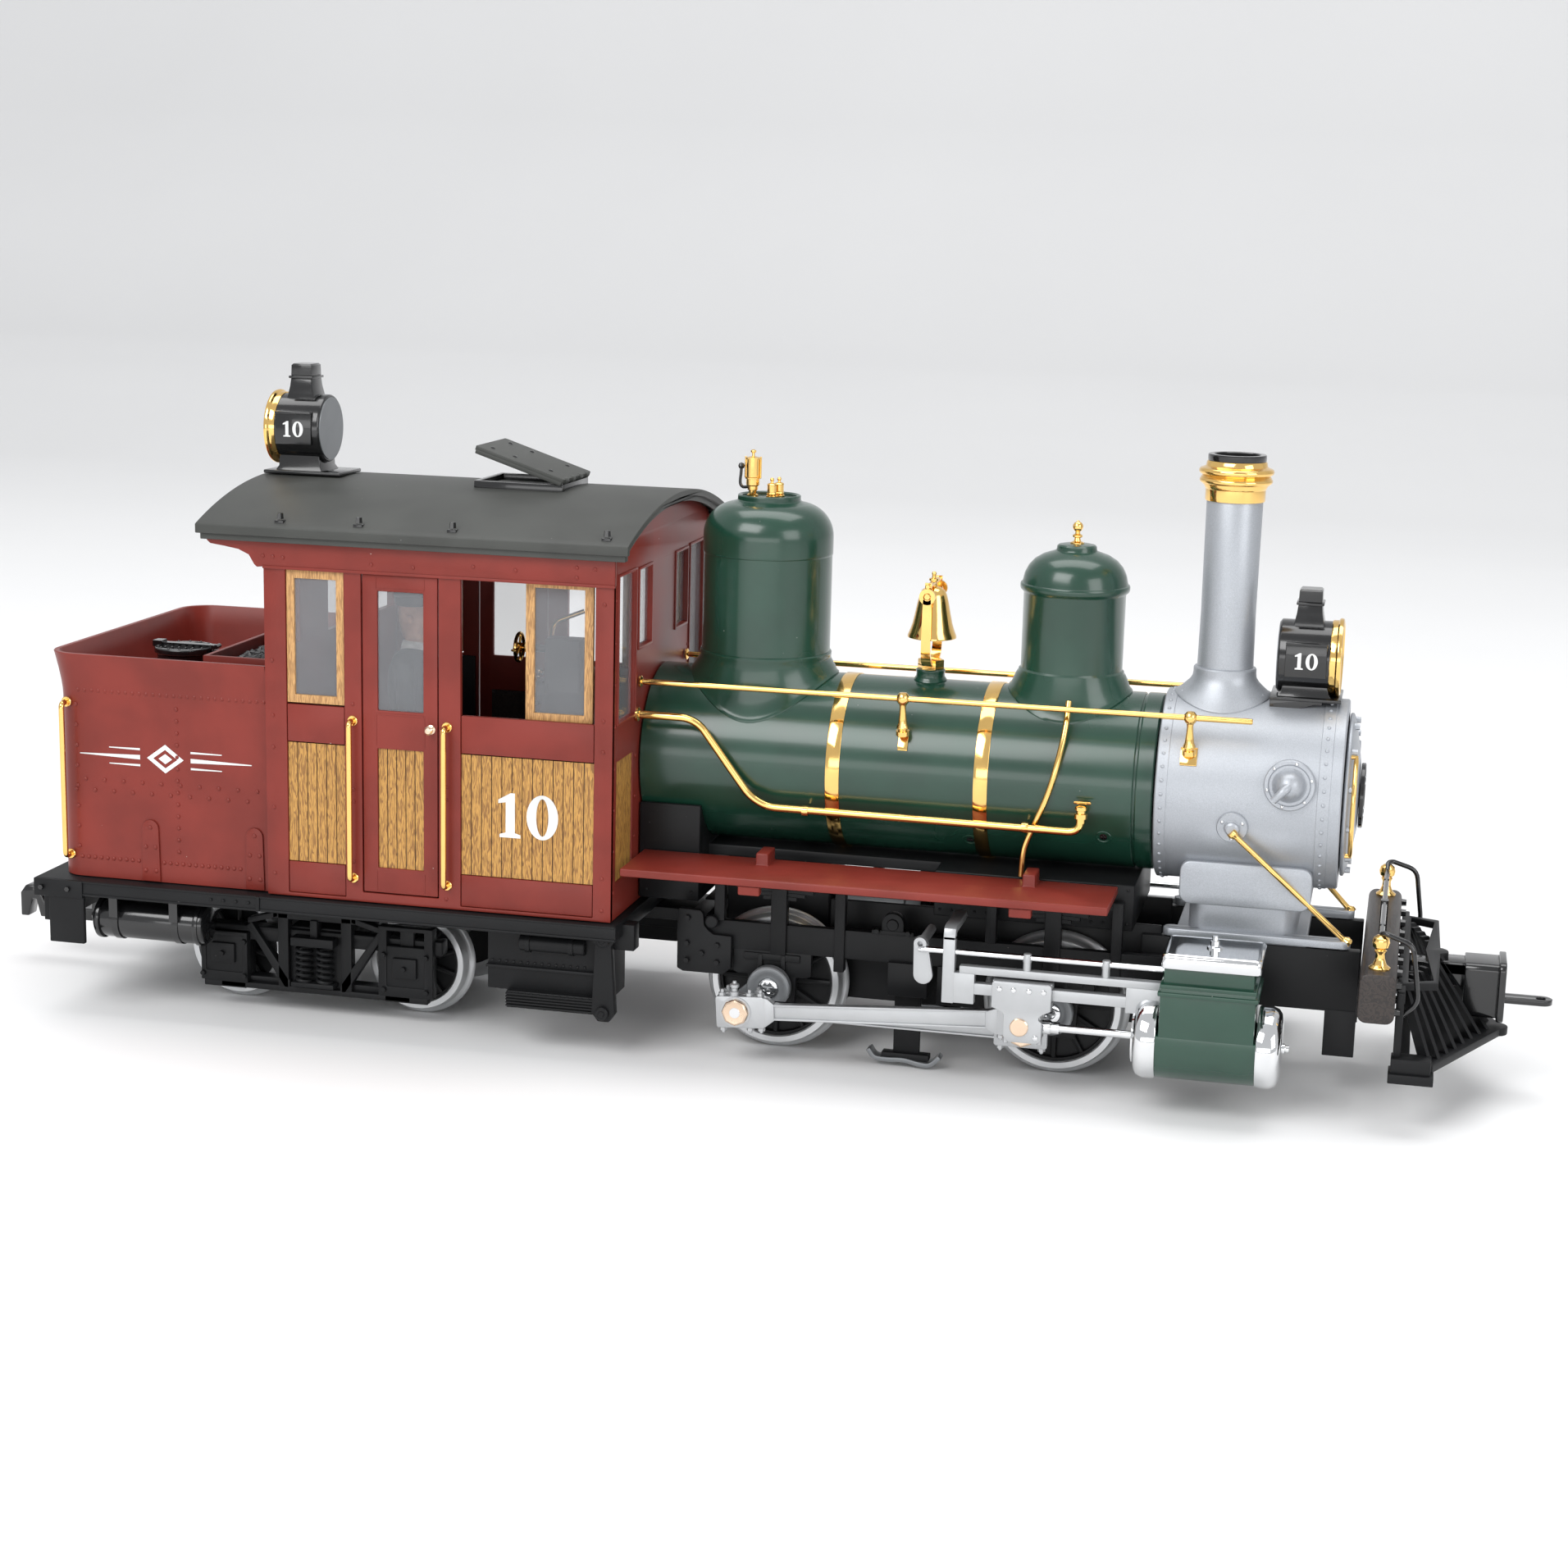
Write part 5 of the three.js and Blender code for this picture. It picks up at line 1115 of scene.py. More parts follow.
def build_roof():
    outer = [(-ROOF_HALF, 165.0), *[(y, roof_at(y, 0)) for y in row(-ROOF_HALF, ROOF_HALF, 40)],
        (ROOF_HALF, 165.0)]
    under = [(y, roof_at(y, 2.2)) for y in row(ROOF_HALF - 2.4, 2.4 - ROOF_HALF, 40)]
    shell = Form().plate("x", ROOF.x0, ROOF.x1, [*outer, (ROOF_HALF - 2.4, 165.0), *under, (2.4 - ROOF_HALF,
        165.0)])
    finished(shell.soften(0.35), "roof_shell", "roof", replaces=("cab_roof",), smooth=40)
    gutter = Form()
    for s in (-1, 1):
        y0, y1 = sorted((s * (ROOF_HALF - 1.3), s * (ROOF_HALF - 4.4)))
        gutter.block(ROOF.x0 + 1.2, ROOF.x1 - 1.2, y0, y1, 163.0, 165.4)
    for x in (ROOF.x0 + 1.6, ROOF.x1 - 2.6):
        ring = [(y, roof_at(y, 1.0)) for y in row(-58.5, 58.5, 36)]
        below = [(y, roof_at(y, 4.0)) for y in row(58.5, -58.5, 36)]
        gutter.plate("x", x, x + 1.0, [*ring, *below])
    finished(gutter.soften(0.25), "roof_edging", "roof")
    bolts, washers = [], Form()
    for x in (-110.8, -84.2, -52.9, -2.4):
        for s in (-1, 1):
            z = roof_at(57.6, 0)
            washers.block(x - 1.5, x + 1.5, s * 57.6 - 1.4, s * 57.6 + 1.4, z - 0.9, z + 0.5)
            bolts.append(((x, s * 57.6, z + 0.9), (0, 0, 1)))
    finished(washers.soften(0.2), "roof_bolt_washers", "gloss_black")
    studs("hex", "roof_bolts", bolts, 1.15, 0.9, "gloss_black")
    hatch = box_of("roof_hatch")
    coaming = Form().plate("z", 176.6, 180.8, rounded(-61.5, -30.5, -14, 14, 0.8, 3),
        [rectangle(-60, -32, -12.5, 12.5)])
    finished(coaming.soften(0.25), "hatch_coaming", "gloss_black")
    prop = Form().rod("z", 1.3, 180.4, hatch.z1 - 2.6, (hatch.x0 + 8.6, 0.0), 18)
    prop.block(hatch.x0 + 6.4, hatch.x0 + 10.8, -2.2, 2.2, 179.8, 180.9)
    build_hatch()


def build_hatch():
    """The lid is drawn flat and then turned to the angle that it stands at."""
    pivot = joint_at("roof_hatch_hinge")
    rear, front = -33.0 + 1.9, 0.8
    lid = Form().plate("z", -0.7, 0.8, rounded(rear + pivot.x, front + pivot.x, -15, 15, 0.7, 3))
    lid.block(rear + pivot.x + 0.5, front + pivot.x - 0.6, -15.1, -13.6, -1.7, -0.3)
    lid.block(rear + pivot.x + 0.5, front + pivot.x - 0.6, 13.6, 15.1, -1.7, -0.3)
    for y in (-11, -4, 4, 11):
        lid.rod("y", 1.1, y - 1.6, y + 1.6, (pivot.x + 0.2, -0.1), 16)
    lift = Form()
    heads = []
    for x in (-27, -19, -6):
        for y in (-9, 9):
            heads.append((pivot.x + x, y))
    for x, y in heads:
        lift.turned([(0, 0.7), (0.8, 0.7), (0.7, 1.1), (0.3, 1.3), (0, 1.3)], (x, y, 0), sides=10)
    for form, name, finish, nodes in ((lid, "hatch_lid", "roof", ("roof_hatch",)), (lift, "hatch_rivets",
            "gloss_black", ())):
        if name == "hatch_lid":
            form.soften(0.2)
        for v in form.mesh.verts:
            v.co.z += pivot.z
        form.turn(18, pivot)
        finished(form, name, finish, "hatch", nodes)


# ---- Boiler and its fittings ----

AXIS = Vector((0, 0, 93.6))
BOILER_R = 28.3
DOME_X = 35.3
SAND_X = 136.4
STACK_X = 185.3
BELL_X = 90.6
RAIL_Y, RAIL_Z = -28.5, 120.2


def skin_height(y, radius):
    """The height of a barrel's upper face at y."""
    return AXIS.z + math.sqrt(max(radius ** 2 - y ** 2, 0))


def mounting(x, barrel, foot, wall, sides=72):
    """A fitting that stands on a barrel. The foot's (radius, lift, level, share) rings follow the barrel and
    pass to the level as the share grows; the wall's (radius, height) rings are level."""
    angles = [2 * math.pi * i / sides for i in range(sides)]
    loops = []
    for radius, lift, level, share in foot:
        loops.append([(x + radius * math.cos(a), radius * math.sin(a), (skin_height(radius * math.sin(a),
            barrel) + lift) * (1 - share) + level * share) for a in angles])
    for radius, level in wall:
        loops.append([(x + max(radius, 1e-4) * math.cos(a), max(radius, 1e-4) * math.sin(a), level)
            for a in angles])
    return Form().rings(loops)


def spun(form, profile, at, way, sides=24):
    """A profile of (radius, distance) points turned about the line from at that runs the given way."""
    way = Vector(way).normalized()
    side = way.orthogonal().normalized()
    up = way.cross(side)
    angles = [2 * math.pi * i / sides for i in range(sides)]
    return form.rings([[Vector(at) + way * h + (side * math.cos(a) + up * math.sin(a)) * max(r, 1e-4)
        for a in angles] for r, h in profile])


def build_boiler():
    r = BOILER_R
    barrel = [(0, 0.5), (r - 0.3, 0.5), (r, 0.8), (r, 160.4), (r - 0.25, 160.7), (r - 0.6, 160.8),
        (r - 0.6, 161.4), (r - 0.1, 161.6), (r + 0.1, 161.9), (r + 0.1, 166.6), (r - 0.2, 167.0),
        (0, 167.1)]
    finished(Form().turned(barrel, AXIS, "x", 112), "boiler_shell", "green", replaces=("boiler_barrel",))
    bands = Form()
    for a, b in ((62.4, 66.9), (110.4, 114.9)):
        bands.turned([(r - 0.1, a), (r + 0.28, a), (r + 0.34, a + 0.1), (r + 0.34, b - 0.1), (r + 0.28, b),
            (r - 0.1, b)], AXIS, "x", 112, closed=True)
    finished(bands, "boiler_bands", "brass")
    clamps = Form()
    for x in (64.6, 112.6):
        clamps.block(x - 2.0, x + 2.0, -2.4, 2.4, AXIS.z - r - 1.6, AXIS.z - r + 0.6)
        clamps.rod("y", 0.7, -3.4, 3.4, (x, AXIS.z - r - 0.9), 12)
    finished(clamps, "band_clamps", "brass")
    sockets, screws = Form(), Form()
    for x, z in ((109.0, 74.3), (152.0, 79.3)):
        y = -math.sqrt(r ** 2 - (z - AXIS.z) ** 2)
        for s in (1, -1):
            out = Vector((0, s * y, z - AXIS.z)).normalized()
            at = Vector((x, s * y, z))
            spun(sockets, [(2.5, -0.6), (2.6, 0.05), (2.4, 0.18), (1.9, 0.18), (1.75, 0.05), (1.7, -0.6)],
                at, out, 28)
            spun(screws, [(0, -0.8), (1.7, -0.8), (1.7, -0.2), (1.2, 0.0), (0, 0.05)], at, out, 20)
            for way in (Vector((1, 0, 0)), out.cross(Vector((1, 0, 0)))):
                spun(screws, [(0.22, -1.0), (0.22, 1.0)], at + out * 0.06, way, 6)
    finished(sockets, "boiler_screw_sockets", "green")
    finished(screws, "boiler_screws", "gloss_black")
    base = softened("firebox_base", "black", "chassis", 0.4)
    rivets = [((x, -27.0, z), (0, -1, 0)) for x in (3.2, 18.4) for z in row(51, 62, 4)]
    rivets += [((x, -27.0, 63.2), (0, -1, 0)) for x in row(101, 161, 17)]
    rivets += [((x, -27.0, 52.2), (0, -1, 0)) for x in row(101, 161, 17)]
    studs("round", "firebox_rivets", both_sides(rivets), 0.5, 0.4, "black")
    return base


def build_domes():
    r = BOILER_R
    foot = [(23.4, -1.4, 0, 0), (24.3, -0.6, 0, 0), (24.4, 0.5, 0, 0), (24.0, 0.9, 0, 0), (23.6, 1.2, 0, 0),
        (23.0, 2.2, 126, 0.18), (22.2, 3.4, 126, 0.45), (21.7, 4.0, 126.4, 0.8)]
    wall = [(21.55, 127.0), (21.7, 127.5), (21.7, 128.4), (21.4, 128.8), (21.1, 128.9), (21.1, 160.4),
        (21.2, 160.5), (21.3, 160.9), (21.3, 161.3), *arc_profile(10.5, 166.3, 10.8, 0, 84, 12),
        (11.0, 177.4), (10.6, 177.5), (10.3, 177.9), *arc_profile(9.8, 179.1, 0.5, -20, 150, 6),
        (8.9, 179.2), (8.8, 178.6), (0, 178.6)]
    finished(mounting(DOME_X, r, foot, wall), "steam_dome_shell", "green", replaces=("steam_dome",))
    foot = [(19.0, -1.4, 0, 0), (19.9, -0.6, 0, 0), (20.0, 0.5, 0, 0), (19.6, 1.0, 0, 0), (19.0, 1.6, 0, 0),
        (18.2, 3.0, 128, 0.25), (17.4, 4.0, 128, 0.6)]
    wall = [(17.0, 127.6), (16.9, 128.2), (16.5, 128.6), (16.3, 128.8), (16.3, 152.8), (16.6, 153.4),
        (17.3, 154.0), (17.5, 154.6), (17.5, 155.6), (17.3, 156.0), (16.9, 156.2), (16.7, 157.0),
        (16.2, 159.2), (15.0, 161.6), (13.2, 163.6), (10.6, 165.2), (7.4, 166.3), (6.6, 166.6),
        (6.4, 167.1), (6.3, 168.0), (5.8, 168.5), (4.2, 168.8), (0, 168.9)]
    finished(mounting(SAND_X, r, foot, wall), "sand_dome_shell", "green", replaces=("sand_dome",))
    finial = Form().turned([(0, 168.6), (2.2, 168.6), (2.2, 169.2), (1.2, 169.6), (0.9, 170.6),
        (1.6, 171.0), (1.6, 171.5), (0.8, 172.0), (0.8, 172.5), *arc_profile(0, 174.2, 1.7, -62, 70, 8),
        (0.5, 175.8), (0.3, 176.2), (0, 176.3)], (SAND_X, 0, 0), sides=28)
    finished(finial, "sand_dome_finial", "brass")
    build_whistle()
    build_bell()


def build_whistle():
    top = 178.7
    form = Form()
    form.turned([(0, 0), (1.9, 0), (1.9, 0.5), (1.3, 0.9), (1.3, 1.9), (1.7, 2.1), (1.7, 3.3), (2.2, 3.7),
        (2.2, 5.6), (2.6, 5.7), (2.6, 6.1), (2.2, 6.3), (2.2, 12.0), (2.7, 12.1), (2.7, 12.6), (1.6, 12.8),
        (0.5, 13.0), (0.45, 14.0), (0.9, 14.3), (0.95, 14.8), (0.5, 15.1), (0, 15.2)], (29.6, 0, top),
        sides=32)
    for s in (-1, 1):
        form.rod("z", 0.35, top + 5.9, top + 12.9, (29.6 + s * 2.5, 0.0), 8)
    for x, y in ((36.4, -1.5), (38.0, 1.9)):
        form.turned([(0, 0), (1.9, 0), (1.9, 0.5), (1.5, 0.8), (1.7, 1.0), (1.7, 1.3), (1.5, 1.5),
            (1.5, 4.0), (1.7, 4.2), (1.2, 4.6), (0.5, 4.8), (0.45, 5.3), *arc_profile(0, 5.8, 0.7, -50, 80,
            5), (0, 6.5)], (x, y, top), sides=24)
    finished(form, "whistle_and_valves", "brass", replaces=("whistle",))
    lever = Form().tube(eased_path([(28.2, -0.6, top + 3.0), (26.4, -0.8, top + 3.0),
        (25.6, -0.9, top + 4.4), (25.8, -0.9, top + 7.4), (25.9, -0.9, top + 9.4)], 6), 0.5, 10)
    lever.turned([(0.0, -1.1), (0.8, -0.8), (1.1, 0), (0.8, 0.8), (0.0, 1.1)], (25.9, -0.9, top + 9.8),
        sides=16)
    lever.turned([(0, 0), (8.7, 0), (8.8, 0.08), (0, 0.1)], (DOME_X, 0, 178.5), sides=48)
    finished(lever, "whistle_lever", "gloss_black")


def build_bell():
    pivot = 150.5
    shell = [(6.7, 136.2), (7.6, 135.7), (7.95, 135.9), (7.9, 136.6), (7.3, 138.0), (6.5, 140.4),
        (5.8, 143.6), (5.0, 147.6), (4.4, 149.8), (3.8, 151.2), (2.4, 152.2), (1.1, 152.6), (1.1, 154.2),
        (1.6, 154.4), (1.6, 155.0), (0.7, 155.3), (0.7, 156.0), *arc_profile(0, 156.6, 0.8, -40, 80, 5),
        (0, 157.2), (0, 150.6), (3.2, 149.6), (3.9, 148.2), (4.8, 143.6), (5.6, 140.2)]
    bell = Form().turned(shell, (BELL_X, 0, 0), sides=48, closed=True)
    bell.rod("y", 0.9, -11.4, 11.4, (BELL_X, pivot + 3.2), 16)
    for s in (-1, 1):
        bell.rod("y", 1.15, *sorted((s * 9.9, s * 12.0)), (BELL_X, pivot), 18)
        y0, y1 = sorted((s * 9.2, s * 10.1))
        bell.plate("y", y0, y1, [(BELL_X - 1.1, pivot - 1.1), (BELL_X + 1.1, pivot - 1.1), (BELL_X + 1.1,
            pivot + 4.3), (BELL_X - 1.1, pivot + 4.3)])
    bell.turned([(0, 137), (0.9, 137.2), (1.5, 138.4), (1.1, 139.8), (0.55, 140.4), (0.5, 151), (0, 151)],
        (BELL_X, 0, 0), sides=16)
    finished(bell, "bell_shape", "brass", "bell_body", ("bell",), smooth=40)
    arm_line = eased_path([(BELL_X, 0.0, 127.4), (BELL_X, -5.6, 127.6), (BELL_X, -10.2, 130.6),
        (BELL_X, -11.2, 138.0), (BELL_X, -11.2, 146.5), (BELL_X, -11.2, 149.6)], 6)
    stand = Form()
    for s in (-1, 1):
        line = [Vector((p.x, p.y * -s, p.z)) for p in arm_line]
        loops = []
        for i, p in enumerate(line):
            ahead = (line[min(i + 1, len(line) - 1)] - line[max(i - 1, 0)]).normalized()
            across = ahead.cross(Vector((1, 0, 0))) * 0.6
            wide = Vector((1.75 - 0.5 * i / len(line), 0, 0))
            loops.append([p - wide - across, p + wide - across, p + wide + across, p - wide + across])
        stand.rings(loops)
        stand.turned([(1.3, -0.6), (2.6, -0.6), (2.7, 0), (2.6, 0.6), (1.3, 0.6)], (BELL_X, s * 11.2,
            pivot), "y", 28, closed=True)
    stand.turned([(0, 121.8), (3.6, 121.8), (3.6, 126.8), (2.4, 127.3), (2.2, 128.4), (0, 128.5)],
        (BELL_X, 0, 0), sides=28)
    stand.turned([(3.4, 125.4), (4.2, 125.4), (4.3, 125.8), (4.3, 128.4), (4.1, 128.7), (0, 128.8)],
        (BELL_X, 0, 0), sides=6)
    finished(stand, "bell_bracket", "brass", replaces=("bell_stand",), smooth=40)
    foot = [(4.9, -1.4, 0, 0), (5.4, 0.2, 0, 0), (5.1, 0.7, 0, 0), (4.7, 1.2, 0, 0)]
    base = mounting(BELL_X, BOILER_R, foot, [(4.6, 124.4), (4.8, 124.8), (4.8, 125.3), (4.5, 125.6),
        (0, 125.7)], 40)
    finished(base, "bell_pedestal", "green")


def build_rails():
    rail = bpy.context.scene.engine_sizes.rail
    for side, way in SIDES:
        form = Form()
        y, z = RAIL_Y, RAIL_Z
        form.rod("x", rail, 0.7, 196.6, (y, z), 20)
        form.turned([(0, 0.4), (1.9, 0.4), (1.9, 1.0), (1.2, 1.4), (0, 1.4)], (0, y, z), "x", 20)
        for x in (87.0, 177.5):
            form.turned([(0, -2.1), (1.2, -1.9), (1.9, -1.1), (2.15, 0), (1.9, 1.1), (1.2, 1.9), (0, 2.1)],
                (x, y, z), "z", 28)
            drop = Vector((0, 1.6, -10.6))
            top = Vector((x, y, z - 1.8))
            spun(form, [(0, 0), (1.2, 0), (1.0, 0.9), (1.1, 3.0), (1.5, 6.4), (1.9, 7.2), (2.0, 7.8),
                (1.5, 8.2), (1.5, 8.7), (2.2, 8.8), (2.2, 10.2), (1.9, 10.5), (0, 10.5)], top, drop, 24)
        finished(form, f"handrail_shape_{side}", "brass", replaces=(f"handrail_{side}",), flip=way > 0)
        plates = Form()
        for x, radius in ((87.0, BOILER_R), (177.5, 30.2)):
            a0 = 155.0 if radius < 30 else 152.5
            span = [math.radians(a) for a in row(a0 - 5.5, a0 + 5.5, 5)]
            outer = [((radius + 0.5) * math.cos(a), AXIS.z + (radius + 0.5) * math.sin(a)) for a in span]
            inner = [((radius - 0.2) * math.cos(a), AXIS.z + (radius - 0.2) * math.sin(a))
                for a in reversed(span)]
            half = 2.6 if radius > 30 else 1.6
            plates.plate("x", x - half, x + half, [*outer, *inner])
        finished(plates.soften(0.12), f"handrail_plates_{side}", "brass", flip=way > 0)
        build_pipes(side, way)


def build_pipes(side, way):
    """The feed pipe with its valve, the sand pipe, and the brace rod."""
    z = 1.3
    run = bent_path([(0.6, -31.2, 108.6 + z), (17, -30.8, 108.4 + z), (21.5, -31.0, 106.4 + z),
        (38.6, -31.4, 84.2 + z), (44.5, -31.6, 81.2 + z), (145.4, -31.6, 80.6 + z), (145.4, -31.6, 90.2)],
        5.5, 6)
    pipe = Form().tube(run, 1.3, 16)
    pipe.turned([(0, 0.3), (2.3, 0.3), (2.3, 1.0), (1.7, 1.4), (0, 1.4)], (0, -31.2, 108.6 + z), "x", 20)
    pipe.turned([(0, 0), (1.5, 0), (1.5, 1.4), (2.1, 1.5), (2.1, 3.0), (1.5, 3.2), (1.5, 4.0), (2.0, 4.2),
        (2.0, 5.2), (1.3, 5.6), (0, 5.7)], (145.4, -31.6, 85.0), sides=20)
    pipe.rod("x", 0.45, 143.0, 148.4, (-31.6, 91.4), 10)
    for x in (57.0, 128.0):
        pipe.turned([(1.2, -1), (1.65, -1), (1.75, 0), (1.65, 1), (1.2, 1)], (x, -31.6, 80.9 + z), "x", 20,
            closed=True)
        pipe.rod("y", 0.5, -31.6, -27.0, (x, 80.9 + z), 10)
    finished(pipe, f"feed_pipe_{side}", "brass", replaces=("water_pipe",) if way < 0 else (), flip=way > 0)
    sand = Form().tube(eased_path([(138.7, -21.2, 121.4), (138.4, -25.4, 112.8), (136.6, -28.6, 101.6),
        (134.0, -29.2, 91.8), (130.4, -28.8, 82.4), (127.6, -28.4, 74.4), (126.9, -28.4, 65.6)], 7), 1.0,
        14)
    finished(sand, f"sand_pipe_{side}", "brass", flip=way > 0)
    brace = Form().tube([(192.6, -32.2, 85.4), (229.6, -20.0, 50.2)], 0.9, 14)
    spun(brace, [(0, -0.6), (1.7, -0.6), (1.8, 0.6), (1.2, 1.4), (0.9, 1.8), (0, 1.8)], (229.4, -20.1,
        50.4), (-0.72, -0.24, 0.66), 20)
    spun(brace, [(0, -1.0), (1.5, -1.0), (1.7, 0), (1.2, 1.2), (0, 1.4)], (192.8, -32.1, 85.2),
        (0.72, 0.24, -0.66), 20)
    finished(brace, f"brace_rod_{side}", "brass", flip=way > 0)


# ---- Smokebox, stack and lamps ----


def build_smokebox():
    r = 30.2
    profile = [(0, 167.7), (r - 0.4, 167.7), (r, 168.1), (r, 171.6), (r, 217.4), (r, 224.5),
        (r - 0.4, 224.9), (24.2, 225.0), (24.0, 224.7), (24.0, 180.0), (0, 180.0)]
    finished(Form().turned(profile, AXIS, "x", 112), "smokebox_shell", "silver", replaces=("smokebox",))
    rings = Form()
    for a, b in ((168.0, 171.4), (217.6, 221.4)):
        rings.turned([(r - 0.3, a), (r + 0.14, a), (r + 0.22, a + 0.12), (r + 0.22, b - 0.12),
            (r + 0.14, b), (r - 0.3, b)], AXIS, "x", 112, closed=True)
    finished(rings, "smokebox_straps", "silver")
    rivets = []
    for x in (169.7, 219.5):
        for i in range(44):
            a = 2 * math.pi * (i + 0.5) / 44
            way = (0.0, math.cos(a), math.sin(a))
            rivets.append(((x, (r + 0.2) * way[1], AXIS.z + (r + 0.2) * way[2]), way))
    studs("round", "smokebox_rivets", rivets, 0.62, 0.45, "silver")
    for side, way in SIDES:
        build_clean_out(side, way)
    build_smokebox_door()


def build_clean_out(side, way):
    """A bolted flange with a lever on the smokebox side, and the pipe boss behind it."""
    at, out = Vector((209.0, -29.4, 101.3)), Vector((0.0, -1.0, 0.12)).normalized()
    form = Form()
    spun(form, [(0, -4), (7.9, -4), (7.9, 1.4), (7.6, 1.8), (6.6, 1.9), (6.2, 1.6), (5.4, 1.6), (5.0, 1.9),
        (4.7, 2.4), *[(r, 3.0 + h) for r, h in arc_profile(0, 0, 4.4, 8, 84, 7)], (0, 7.3)], at, out, 48)
    lever = eased_path([at + out * 6.2, at + out * 8.0 + Vector((-1.6, 0, -1.6)),
        at + out * 8.0 + Vector((-4.4, 0, -4.6))], 6)
    form.tube(lever, [1.5 - 0.35 * i / len(lever) for i in range(len(lever))], 14)
    boss, boss_way = Vector((192.3, -28.6, 87.0)), Vector((0.0, -1.0, -0.14)).normalized()
    spun(form, [(0, -3), (4.9, -3), (4.9, 1.6), (4.6, 2.0), (2.6, 2.1), (2.2, 2.6), (2.2, 3.6), (1.6, 4.0),
        (0, 4.0)], boss, boss_way, 32)
    finished(form, f"clean_out_{side}", "silver", flip=way > 0)
    bolts = []
    for centre, normal, radius, count, lift in ((at, out, 6.9, 6, 1.9), (boss, boss_way, 3.6, 3, 2.1)):
        across = Vector((1, 0, 0))
        up = normal.cross(across)
        for i in range(count):
            a = 2 * math.pi * (i + 0.25) / count
            spot = centre + normal * lift + (across * math.cos(a) + up * math.sin(a)) * radius
            bolts.append((tuple(spot), tuple(normal)))
    if way > 0:
        bolts = [((x, -y, z), (a, -b, c)) for (x, y, z), (a, b, c) in bolts]
    studs("round", f"clean_out_bolts_{side}", bolts, 0.6, 0.5, "chrome")


def build_smokebox_door():
    x = 225.4
    face = Form().turned([(0, x), (25.6, x), (26.0, x + 0.4), (25.9, x + 1.0), (25.2, x + 1.4),
        (22.4, x + 2.2), (16.0, x + 3.4), (10.8, x + 4.2), (10.4, x + 4.2), (0, x + 4.4)], AXIS, "x", 96)
    for z in (103.2, 84.0):
        face.plate("x", x + 0.9, x + 2.6, [(3, z - 2.0), (24.0, z - 2.0), (26.8, z - 1.2), (26.8, z + 1.2),
            (24.0, z + 2.0), (3, z + 2.0)])
        face.rod("z", 1.5, z - 3.0, z + 3.0, (x + 1.9, 26.6), 20)
    finished(face, "smokebox_door_face", "silver", "smoke_door", ("smokebox_door",), smooth=40)
    dogs = []
    for i in range(12):
        a = 2 * math.pi * (i + 0.5) / 12
        dogs.append(((x + 1.2, 23.9 * math.cos(a), AXIS.z + 23.9 * math.sin(a)), (1, 0, 0)))
    studs("hex", "smokebox_door_dogs", dogs, 1.1, 1.0, "silver", "smoke_door")
    plate = Form().turned([(0, x + 5.0), (9.2, x + 5.0), (9.2, x + 5.6), (0, x + 5.7)], AXIS, "x", 56)
    finished(plate, "door_plate", "plate", "smoke_door")
    rim = Form().turned([(8.9, x + 4.5), (10.2, x + 4.5), (10.4, x + 4.8), (10.4, x + 5.7),
        (10.0, x + 5.95), (9.2, x + 5.95), (8.9, x + 5.7)], AXIS, "x", 56, closed=True)
    finished(rim, "door_plate_rim", "gloss_black", "smoke_door")
    ring = [Vector((x + 3.0, 24.4 * math.cos(a), AXIS.z + 24.4 * math.sin(a))) for a in (math.radians(d)
        for d in row(140, 220, 22))]
    rail = Form().tube([ring[0] - Vector((2.0, 0, 0)), *ring, ring[-1] - Vector((2.0, 0, 0))], 0.8, 12)
    finished(rail, "door_rail", "brass", "smoke_door")
    pegs = []
    for i in range(4):
        a = math.pi * (0.25 + i / 2)
        pegs.append(((x + 5.7, 7.2 * math.cos(a), AXIS.z + 7.2 * math.sin(a)), (1, 0, 0)))
    studs("round", "door_plate_pegs", pegs, 0.65, 0.5, "chrome", "smoke_door")


